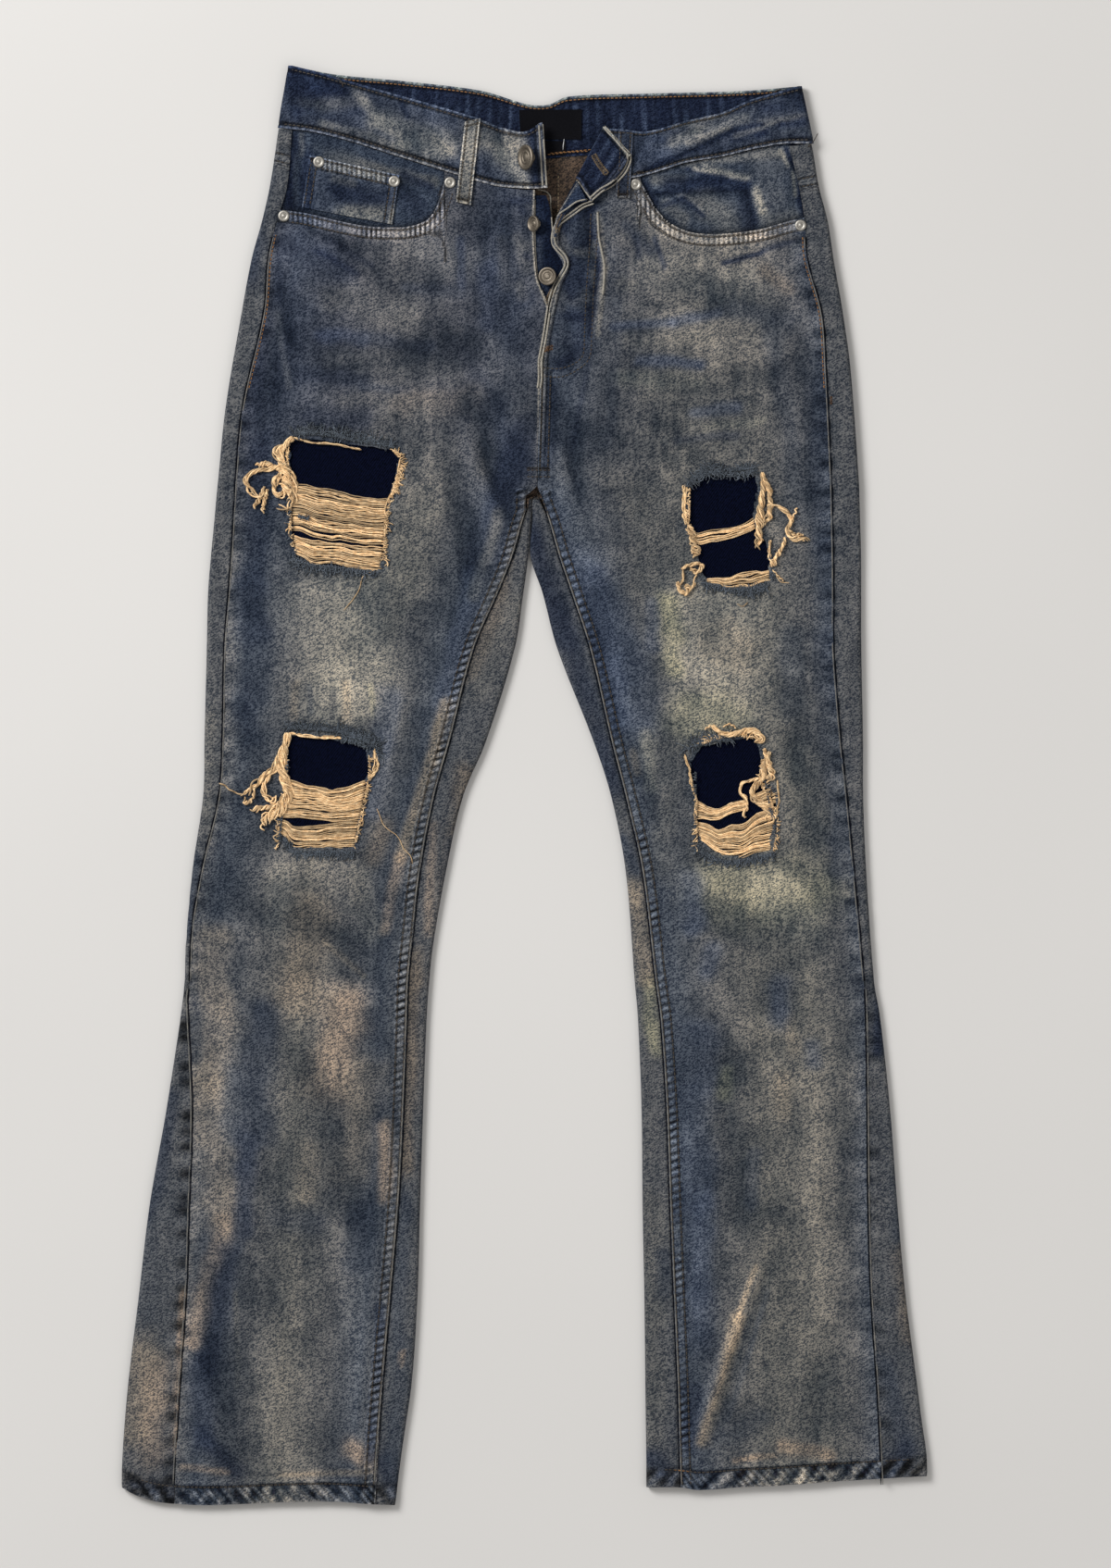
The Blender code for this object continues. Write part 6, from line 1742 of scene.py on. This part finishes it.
def makeStitching(bandMiddle):
    brown, orange, tan, underRows = [], [], [], []
    for side in sides:
        out = side.out
        for away in seamRows["inseam"]:
            line = lineAlong(lambda y: side.inseam(y) + out * away, -536, 222)
            brown.append(line)
        hemX = np.arange(min(side.hem[0][0], side.hem[-1][0]) + 14,
                         max(side.hem[0][0], side.hem[-1][0]) - 12, 2.0)
        hemLine = np.stack([hemX, follow(side.hem, hemX) + seamRows["hem"]], -1)
        brown.append(hemLine)
        underRows.append(hemLine)
        edge = mouthPolygon(side)[1]
        for away in seamRows["mouth"]:
            row = offsetLine(edge, -away)
            row = row[(row[:, 1] < 462) & (row[:, 0] > -180) & (row[:, 0] < 207)]
            brown.append(row)
        orange.append(lineAlong(lambda y: side.outseam(y) - out * seamRows["side"], 304, 424))
        for away in (2.0, 8.0):
            xs = np.arange(14, 232, 2.0) if out > 0 else np.arange(-215, 8, 2.0)
            underRows.append(np.stack([xs, follow(yokeSeam, xs) + away], -1))
            top = np.linspace(side.outseam(460) + out * 2.0, side.edge("outer", 460) - out * 2.5, 8)
            brown.append(np.stack([top, follow(yokeSeam, top) + away], -1))
        underRows.append(lineAlong(lambda y: follow(centreBack, y) + out * 2.2, 224, 420))
        midX, top = backPockets[side.name]
        half, high, point = backPockets["half"], backPockets["high"], backPockets["point"]
        for away in (2.0, 8.6):
            h = half - away
            underRows.append(smoothLine(((midX - h, top - away), (midX - h, top - high + away * 0.4),
                                         (midX, top - high - point + away),
                                      (midX + h, top - high + away * 0.4), (midX + h, top - away))))
        underRows.append(np.array([(midX - half, top - 12.5), (midX + half, top - 12.5)]))
    brown.append(lineAlong(lambda y: follow(left.fly, y) + seamRows["rise"][0], 244, 322))
    brown.append(lineAlong(lambda y: follow(left.fly, y) + seamRows["rise"][1], 244, 316))
    brown += [smoothPath(line, 60) for line in flyStitch]
    brown += [np.array([(1.5, 241.5), (20, 241.5)]), np.array([(1.5, 236.5), (20, 236.5)])]
    (ax, ay), (bx, by), (cx, cy), (dx, dy) = coinPocket["corners"]
    for drop in (2.0, 8.4):
        brown.append(np.array([(cx + 3, cy - drop), (dx - 3, dy - drop)]))
    for inset in (1.8, 6.2):
        brown.append(np.array([(cx + inset, cy - 3), (ax + inset, ay + 2)]))
        brown.append(np.array([(dx - inset, dy - 3), (bx - inset, by + 2)]))
    for (ax, ay), (bx, by), (cx, cy), (dx, dy) in loops["frontCorners"]:
        for share in (0.16, 0.84):
            brown.append(np.array([(ax + (bx - ax) * share, ay + (by - ay) * share),
                                   (cx + (dx - cx) * share, cy + (dy - cy) * share)]))
    middle, kinds = bandMiddle
    for share in (bandLook["rowLow"], bandLook["rowHigh"]):
        column = middle[:, int(round(share * (bandLook["across"] - 1)))]
        for part, rows in ((0, brown), (4, brown), (2, orange)):
            rows += openRuns(column[kinds == part] + (0, 0, garment["band"] / 2))
        underRows.append(column[kinds == 2][:, :2])
    for midX, midY in loops["backAt"]:
        for shift in (-3.6, 3.6):
            underRows.append(np.array([(midX + shift, midY - 4), (midX + shift, midY + 35)]))
    orange.append(np.array([(19.5, 484.5), (52, 487.5)]))
    orange.append(np.array([(x, follow(left.hem, x) + seamRows["hem"]) for x in (114.0, 128.0)]))
    tan.append(lineAlong(lambda y: 26.0 + 0 * y, 436, 474))
    addStitches("brown_stitches", brown, brownThread)
    addStitches("orange_stitches", orange, orangeThread)
    addStitches("worn_stitches", tan, tanThread)
    addStitches("underside_stitches", underRows, brownThread, underStitchLook, below=True)
    for colour, material in (("orange", orangeThread), ("brown", brownThread)):
        paths = [laidPath(zigzag(line, 1.9, 0.7), 0.15) for line in bartacks[colour]]
        addThreads(f"{colour}_bartacks", paths, np.full(len(paths), 0.24), material, 4)
    paths = []
    for line, wide in buttonholes:
        fine = smoothPath(line, 20)
        paths.append(laidPath(zigzag(offsetLine(fine, wide / 2), 1.3, 0.7), 0.2))
        paths.append(laidPath(zigzag(offsetLine(fine, -wide / 2), 1.3, 0.7), 0.2))
        paths.append(laidPath(zigzag(fine, wide, 1.4), 0.1))
        angle = np.linspace(0, 2 * math.pi, 20)
        eye = np.stack([fine[0, 0] + wide * 0.62 * np.cos(angle), fine[0, 1] + wide * 0.62 * np.sin(angle)],
                       -1)
        paths.append(laidPath(zigzag(eye, 1.3, 0.7), 0.2))
    addThreads("buttonhole_stitches", paths, np.full(len(paths), 0.26), tanThread, 4)
    white = [laidPath([(29.5, 487), (29.8, 491), (30.4, 495.5)], 0.5)]
    addThreads("label_stitch", white, [0.35], labelThread, 4)


def smoothLine(corners):
    corners = np.asarray(corners, float)
    return np.concatenate([np.linspace(a, b, 30)[:-1] for a, b in zip(corners[:-1], corners[1:])]
                          + [corners[-1:]])


clothTrees = []


def onCloth(x, y, below=False):
    # height of the uppermost cloth at points, or of the lowest seen from under the garment
    if not clothTrees:
        points, faces, offset = [], [], 0
        for outer, grid in surfaces:
            points.append(outer)
            faces.append(grid + offset)
            offset += len(outer)
        clothTrees.append(BVHTree.FromPolygons(np.concatenate(points).tolist(),
                np.concatenate(faces).tolist()))
    start, way = (-20.0, (0, 0, 1)) if below else (60.0, (0, 0, -1))
    found = []
    for px, py in zip(np.ravel(x).tolist(), np.ravel(y).tolist()):
        hit = clothTrees[0].ray_cast((px, py, start), way)[0]
        found.append(hit.z if hit is not None else np.nan)
    return np.array(found)


# Buttons and rivets.

metalParts = {
    "buttons": (("waist_button", 6.5, 480.6, 9.8, 3.0, 5.0, 56),
                ("fly_button_1", 10.4, 430, 6.2, 2.4, 3.4, 48),
                ("fly_button_2", 18.6, 390, 7.0, 2.4, 3.0, 14)),
    "hidden": (24.0, 353.5, 5.0, 1.2), "rivetRadius": 4.4, "rivetHigh": 1.3,
    "rivets": ((-157.6, 477.8), (-99.8, 462.9), (-57, 462.0), (-184.4, 436.4), (85.3, 460.6),
               (211.6, 429.2)),
}


def turned(name, profile, foot, lean, node, material, steps=56):
    # (radius, height) pairs turned about an axis that leans to the wearer's right
    profile = np.array(profile, float)
    angle = np.linspace(0, 2 * math.pi, steps, endpoint=False)
    ring = np.stack([profile[:, 0, None] * np.cos(angle), profile[:, 0, None] * np.sin(angle),
                     np.broadcast_to(profile[:, 1, None], (len(profile), steps))], -1)
    tilt = math.radians(-lean)
    turn = np.array(((math.cos(tilt), 0, math.sin(tilt)), (0, 1, 0), (-math.sin(tilt), 0, math.cos(tilt))))
    points = ring.reshape(-1, 3) @ turn.T + np.array(foot)
    index = np.arange(len(profile) * steps).reshape(len(profile), steps)
    after = np.roll(index, -1, axis=1)
    faces = np.stack([index[:-1], index[1:], after[1:], after[:-1]], -1).reshape(-1, 4)
    caps = [index[0][None], index[-1][::-1][None]]
    piece = addMesh(name, points, [faces] + caps, material, sharp=35)
    standFor(node)


def makeMetal():
    for name, x, y, radius, head, shank, lean in metalParts["buttons"]:
        high, r = shank + head, radius
        sunk = high - 1.1
        profile = ((0.02, high - 0.45), (r * 0.2, high - 0.5), (r * 0.28, sunk + 0.1), (r * 0.34, sunk),
                   (r * 0.4, sunk + 0.35),
                   (r * 0.48, sunk + 0.4), (r * 0.54, sunk), (r * 0.62, sunk - 0.05), (r * 0.68, sunk + 0.3),
                   (r * 0.76, sunk + 0.75), (r * 0.86, high), (r * 0.94, high - 0.15),
                   (r * 0.99, high - 0.6), (r, high - 1.2), (r * 0.98, high - 1.8),
                   (r * 0.92, shank + 0.2), (r * 0.7, shank), (2.8, shank - 0.1), (2.5, shank - 0.6),
                   (2.5, 0.5), (2.9, 0), (0.02, 0))
        ground = float(upper(x, y)) + (garment["frontBand"] + garment["band"] / 2 if name == "waist_button"
                                       else -ply - 0.8 + cloth / 2)
        foot = (x, y, ground + garment["gap"] + 2.6 * math.sin(math.radians(lean)))
        turned(f"{name}_shank", profile, foot, lean, name, antique)
    x, y, r, high = metalParts["hidden"]
    foot = (x, y, float(upper(x, y)) - ply - 1.8 + cloth / 2 + 1.6 * garment["gap"])
    turned("fly_button_3_shank", ((0.02, high), (r * 0.9, high), (r, high / 2), (r, 0), (0.02, 0)), foot, 0,
           "fly_button_3", antique, 32)
    r, h = metalParts["rivetRadius"], metalParts["rivetHigh"]
    for number, (x, y) in enumerate(metalParts["rivets"], 1):
        profile = ((0.02, h), (r * 0.16, h), (r * 0.26, h * 0.85), (r * 0.34, h * 0.5), (r * 0.42, h * 0.45),
                   (r * 0.52, h * 0.62),
                   (r * 0.62, h * 0.8), (r * 0.74, h * 0.85), (r * 0.88, h * 0.7), (r * 0.97, h * 0.4),
                   (r, h * 0.1), (r, 0), (0.02, 0))
        spot = onCloth([x, x + 3, x - 3, x, x], [y, y, y, y + 3, y - 3])
        foot = (x, y, max(float(upper(x, y)) + cloth / 2 + garment["gap"], float(np.nanmedian(spot)) - 0.1))
        turned(f"rivet_cap_{number}", profile, foot, 0, f"rivet_{number}", nickel, 48)


# Materials.

def addNode(tree, kind, inputs=None, **settings):
    node = tree.nodes.new("ShaderNode" + kind)
    for name, value in settings.items():
        setattr(node, name, value)
    for key, value in (inputs or {}).items():
        if isinstance(value, bpy.types.NodeSocket):
            tree.links.new(value, node.inputs[key])
        else:
            node.inputs[key].default_value = value
    return node


def startMaterial(name, roughness, metallic=0.0, sheen=0.0):
    material = bpy.data.materials.new(name)
    material.use_nodes = True
    tree = material.node_tree
    surface = tree.nodes["Principled BSDF"]
    surface.inputs["Roughness"].default_value = roughness
    surface.inputs["Metallic"].default_value = metallic
    surface.inputs["Sheen Weight"].default_value = sheen
    surface.inputs["Sheen Roughness"].default_value = 0.5
    return material, tree, surface


def inMillimetres(tree, scale=(1, 1, 1), turn=0.0):
    place = addNode(tree, "TexCoord")
    turnedPlace = addNode(tree, "Mapping", {"Vector": place.outputs["Object"],
                                            "Rotation": (0, 0, math.radians(turn)),
                                        "Scale": (1000, 1000, 1000)})
    return addNode(tree, "Mapping", {"Vector": turnedPlace.outputs[0], "Scale": scale}).outputs[0]


denimLook = {
    "twill": 1.15, "speck": 1.0, "blotch": 4.5, "slub": 1.5, "ladder": 6.0, "ladderTint": 0.95,
    "ladderHigh": 0.4,
    "dark": (0.37, 0.42, 0.50), "light": (1.93, 1.81, 1.63), "low": 0.44, "high": 0.565,
    "seamReach": 12.0, "seamRows": ((0, 0.62), (0.6, 0.72), (1.2, 0.24), (2.6, 0.24), (3.3, 0.6),
                                    (7.0, 0.56), (7.6, 0.24),
                                    (8.9, 0.24), (9.7, 0.6), (12, 0.5)),
}


def makeDenim():
    # stone-washed indigo twill: matt and grainy, blue where the warp keeps its dye and beige where it is
    # worn off;
    # real twill lines are 0.9 mm apart, drawn at 1.15 mm so that they show
    material, tree, surface = startMaterial("washed_indigo_denim", 0.93, sheen=0.02)
    surface.inputs["Specular IOR Level"].default_value = 0.08
    look = denimLook
    twill = addNode(tree, "TexNoise", {"Vector": inMillimetres(tree, (1, 0.4, 1), 62),
                                       "Scale": 1 / look["twill"], "Detail": 2.0})
    speck = addNode(tree, "TexNoise", {"Vector": inMillimetres(tree), "Scale": 1 / look["speck"],
                                       "Detail": 1.0})
    slub = addNode(tree, "TexNoise", {"Vector": inMillimetres(tree, (1, 0.08, 1)), "Scale": 1 / look["slub"],
                                      "Detail": 2.0})
    blotch = addNode(tree, "TexNoise", {"Vector": inMillimetres(tree), "Scale": 1 / look["blotch"],
                                        "Detail": 5.0, "Roughness": 0.6})
    fine = addNode(tree, "Mix", {"Factor": 0.5, "A": twill.outputs[0], "B": speck.outputs[0]},
                   data_type="FLOAT").outputs[0]
    broad = addNode(tree, "Mix", {"Factor": 0.5, "A": slub.outputs[0], "B": blotch.outputs[0]},
                    data_type="FLOAT").outputs[0]
    grain = addNode(tree, "Mix", {"Factor": 0.2, "A": fine, "B": broad}, data_type="FLOAT").outputs[0]
    worn = addNode(tree, "MapRange", {"Value": grain, "From Min": look["low"], "From Max": look["high"]})
    tint = addNode(tree, "Mix", {0: worn.outputs[0], 6: (*look["dark"], 1), 7: (*look["light"], 1)},
                   data_type="RGBA")
    seam = addNode(tree, "SeparateColor", {0: addNode(tree, "Attribute",
            attribute_name="seam").outputs["Color"]})
    turn = addNode(tree, "Math", {0: seam.outputs[0], 1: 1000 * 2 * math.pi / look["ladder"]},
                   operation="MULTIPLY")
    wave = addNode(tree, "Math", {0: turn.outputs[0]}, operation="SINE")
    ladder = addNode(tree, "Math", {0: wave.outputs[0], 1: seam.outputs[1]}, operation="MULTIPLY").outputs[0]
    gain = addNode(tree, "Math", {0: ladder, 1: look["ladderTint"], 2: 1.0}, operation="MULTIPLY_ADD")
    rows = addNode(tree, "ValToRGB", {0: seam.outputs[2]})
    elements = rows.color_ramp.elements
    for spot, (away, tone) in enumerate(look["seamRows"]):
        between = 0 < spot < len(look["seamRows"]) - 1
        element = elements.new(away / look["seamReach"]) if between else elements[-(spot > 0)]
        element.position, element.color = away / look["seamReach"], (tone, tone, tone, 1)
    doubled = addNode(tree, "Math", {0: rows.outputs[0], 1: 2.0}, operation="MULTIPLY")
    gain = addNode(tree, "Math", {0: gain.outputs[0], 1: doubled.outputs[0]}, operation="MULTIPLY")
    wash = addNode(tree, "Attribute", attribute_name="wash")
    colour = addNode(tree, "VectorMath", {0: wash.outputs["Color"], 1: tint.outputs[2]},
                     operation="MULTIPLY")
    colour = addNode(tree, "VectorMath", {0: colour.outputs[0], "Scale": gain.outputs[0]}, operation="SCALE")
    tree.links.new(colour.outputs[0], surface.inputs["Base Color"])
    height = addNode(tree, "Math", {0: ladder, 1: look["ladderHigh"], 2: grain}, operation="MULTIPLY_ADD")
    bump = addNode(tree, "Bump", {"Height": height.outputs[0], "Strength": 0.7, "Distance": 0.0008})
    tree.links.new(bump.outputs[0], surface.inputs["Normal"])
    return material


def makeYarn(name, dark, light, roughness=0.95, size=3.0, bumpSize=0.8, sheen=0.2, shaded=False):
    # spun cotton: soft and matt, paler on the fluff and darker in the twist
    material, tree, surface = startMaterial(name, roughness, sheen=sheen)
    surface.inputs["Specular IOR Level"].default_value = 0.2 if sheen else 0.04
    cloud = addNode(tree, "TexNoise", {"Vector": inMillimetres(tree), "Scale": 1 / size, "Detail": 3.0})
    # a wave texture repeats every 0.314 over its scale, in millimetres
    twist = addNode(tree, "TexWave", {"Vector": inMillimetres(tree, turn=35), "Scale": 0.314 / bumpSize,
                                      "Distortion": 2.0},
                    wave_type="BANDS", bands_direction="X")
    share = addNode(tree, "Mix", {"Factor": 0.3, "A": cloud.outputs[0], "B": twist.outputs[1]},
                    data_type="FLOAT").outputs[0]
    spun = addNode(tree, "MapRange", {"Value": share, "From Min": 0.3, "From Max": 0.7})
    colour = addNode(tree, "Mix", {0: spun.outputs[0], 6: (*toLinear(screenColour(dark)), 1),
                                   7: (*toLinear(screenColour(light)), 1)}, data_type="RGBA")
    result = colour.outputs[2]
    if shaded:
        shade = addNode(tree, "Attribute", attribute_name="wash")
        result = addNode(tree, "VectorMath", {0: result, 1: shade.outputs["Color"]},
                         operation="MULTIPLY").outputs[0]
    tree.links.new(result, surface.inputs["Base Color"])
    bump = addNode(tree, "Bump", {"Height": twist.outputs[1], "Strength": 0.4, "Distance": 0.0002})
    tree.links.new(bump.outputs[0], surface.inputs["Normal"])
    return material


def makeMetalCoat(name, dark, light):
    # plated brass tumbled with the cloth: a soft dull shine with fine scuffs and darker hollows
    material, tree, surface = startMaterial(name, 0.5, metallic=1.0)
    scuff = addNode(tree, "TexNoise", {"Vector": inMillimetres(tree), "Scale": 1.1, "Detail": 5.0,
                                       "Roughness": 0.7})
    colour = addNode(tree, "Mix", {0: scuff.outputs[0], 6: (*toLinear(screenColour(dark)), 1),
                                   7: (*toLinear(screenColour(light)), 1)}, data_type="RGBA")
    tree.links.new(colour.outputs[2], surface.inputs["Base Color"])
    rough = addNode(tree, "MapRange", {"Value": scuff.outputs[0], "From Min": 0.3, "From Max": 0.7,
                                       "To Min": 0.42, "To Max": 0.66})
    tree.links.new(rough.outputs[0], surface.inputs["Roughness"])
    bump = addNode(tree, "Bump", {"Height": scuff.outputs[0], "Strength": 0.15, "Distance": 0.0001})
    tree.links.new(bump.outputs[0], surface.inputs["Normal"])
    return material


def makeFloor():
    # matt pale paint: even, with the faintest clouding
    material, tree, surface = startMaterial("matt_white_paint", 0.8)
    cloud = addNode(tree, "TexNoise", {"Vector": inMillimetres(tree), "Scale": 0.003, "Detail": 1.0})
    colour = addNode(tree, "Mix", {0: cloud.outputs[0], 6: (*toLinear(screenColour("#d3d1ce")), 1),
                                   7: (*toLinear(screenColour("#dad8d5")), 1)}, data_type="RGBA")
    tree.links.new(colour.outputs[2], surface.inputs["Base Color"])
    return material


# Floor, lights and camera.

studio = {
    "frameHigh": 1.2027, "middle": (0.0238, 0.0011), "distance": 8.0,
    "key": ((-2.9, 2.2, 3.0), 2.0, 212.0), "fill": ((1.4, -0.7, 2.3), 2.6, 15.0), "world": ("#f2f0ee", 0.40),
}


def makeStudio():
    mesh = bpy.data.meshes.new("floor")
    mesh.from_pydata([(-3, -3, 0), (3, -3, 0), (3, 3, 0), (-3, 3, 0)], [], [(0, 1, 2, 3)])
    floor = bpy.data.objects.new("floor", mesh)
    floor.location.z = -0.0002
    bpy.context.scene.collection.objects.link(floor)
    mesh.materials.append(makeFloor())
    for name in ("key", "fill"):
        place, size, power = studio[name]
        light = bpy.data.lights.new(name, "AREA")
        light.size, light.energy = size, power
        lamp = bpy.data.objects.new(name, light)
        lamp.location = place
        lamp.rotation_euler = (Vector((0, 0, 0)) - Vector(place)).to_track_quat("-Z", "Y").to_euler()
        bpy.context.scene.collection.objects.link(lamp)
    world = bpy.data.worlds.new("studio")
    world.use_nodes = True
    background = world.node_tree.nodes["Background"]
    background.inputs["Color"].default_value = (*toLinear(screenColour(studio["world"][0])), 1)
    background.inputs["Strength"].default_value = studio["world"][1]
    bpy.context.scene.world = world
    data = bpy.data.cameras.new("camera")
    data.sensor_fit = "VERTICAL"
    data.sensor_height = 24.0
    data.lens = 24.0 * studio["distance"] / studio["frameHigh"]
    data.clip_start, data.clip_end = 0.05, 20
    camera = bpy.data.objects.new("camera", data)
    camera.location = (*studio["middle"], studio["distance"])
    bpy.context.scene.collection.objects.link(camera)
    bpy.context.scene.camera = camera
    bpy.context.scene.view_settings.view_transform = "Standard"


# The garment, put together.


def clothArea(piece, layers):
    # the finished cloth's own area, creases and cut edges included; the flat cut isn't measured apart
    areas = np.empty(len(piece.data.polygons), np.float32)
    piece.data.polygons.foreach_get("area", areas)
    return float(areas.sum()) / layers


makeStudio()
print("studio ready")
# stone-washed twill: matt and grainy, pale where it rubs and blue in the hollows
denim = makeDenim()
# rinsed denim, never washed down: an even, nearly black blue that takes no light
rawDenim = makeYarn("rinsed_navy_denim", "#010207", "#0a0f24", size=1.5, bumpSize=1.6, sheen=0.0)
# undyed cotton weft laid bare by wear: warm cream, soft, with no shine
bareWeft = makeYarn("bare_cotton_weft", "#b88f5e", "#fbdcae", shaded=True)
# warp dyed only on its outside and frayed: blue with grey broken ends
indigoYarn = makeYarn("frayed_indigo_cotton", "#10161f", "#67707a", size=1.2, shaded=True)
# a thin dark cord of painted shade: the shadow in the fold of a seam
seamShadowCord = makeYarn("painted_seam_shadow_cord", "#06080e", "#12161f", size=1.5, sheen=0.0)
# a turned edge rubbed down to the white core of its yarn: pale and chalky
rubbedEdge = makeYarn("rubbed_cotton_denim_edge", "#6f6b63", "#b5afa2", size=1.5)
# a seam rubbed in the wash: patchy, between the blue and the pale of its core
rubbedSeam = makeYarn("rubbed_denim_seam", "#3a3f47", "#8d887e", size=5.0)
# dyed core-spun thread: dark, with a faint dry gleam
brownThread = makeYarn("brown_polycotton_thread", "#241f1a", "#50453a", 0.7)
# the same thread in amber: it lifts the seams off the blue
orangeThread = makeYarn("amber_polycotton_thread", "#5c3f24", "#a87640", 0.7)
# thread that lost its dye in the wash: dry and dusty
tanThread = makeYarn("worn_tan_thread", "#7c6a54", "#b39c7c", 0.8)
# bleached tack thread: the one clean white
labelThread = makeYarn("white_label_thread", "#a9a9aa", "#e4e4e4", 0.7)
# damask woven label: flat black, smoother than the denim round it
labelSatin = makeYarn("black_damask_label", "#050507", "#101015", 0.6, size=1.2, bumpSize=0.9, sheen=0.0)
# nickel plate tumbled in the wash: pale metal gone dull
nickel = makeMetalCoat("tumbled_nickel_plated_brass", "#8b877f", "#c4c0b8")
# brass darkened in an acid bath: brown, with brighter rims where it rubs
antique = makeMetalCoat("antiqued_brass", "#524b40", "#9c9285")

fronts = makeFront(right, (1, 3), rightStrokes, rightProfile), makeFront(left, (2, 4), leftStrokes,
        leftProfile)
for piece in fronts:
    clothArea(piece, 1)
print("fronts made")
backs = makeBack(right, rightStrips), makeBack(left, leftStrips)
for piece in backs:
    clothArea(piece, 2)
yokes = makeYoke(right, rightStrips), makeYoke(left, leftStrips)
for piece in yokes:
    clothArea(piece, 2)
print("backs and yokes made")
band, bandMiddle = makeBand()
clothArea(band, 2)
makeLoops()
makeLabels()
print("waistband, loops and labels made")
for side in sides:
    makeFacing(side)
    makeBackPocket(side)
makeCoinPocket()
makeFly()
print("pockets and fly made")
for rip in rips:
    makePatch(rip)
makeWefts()
makeFringes()
makeTufts()
makeLooseThreads()
print("rips made")
makeStitching(bandMiddle)
makeMetal()
print("stitching and metal made")
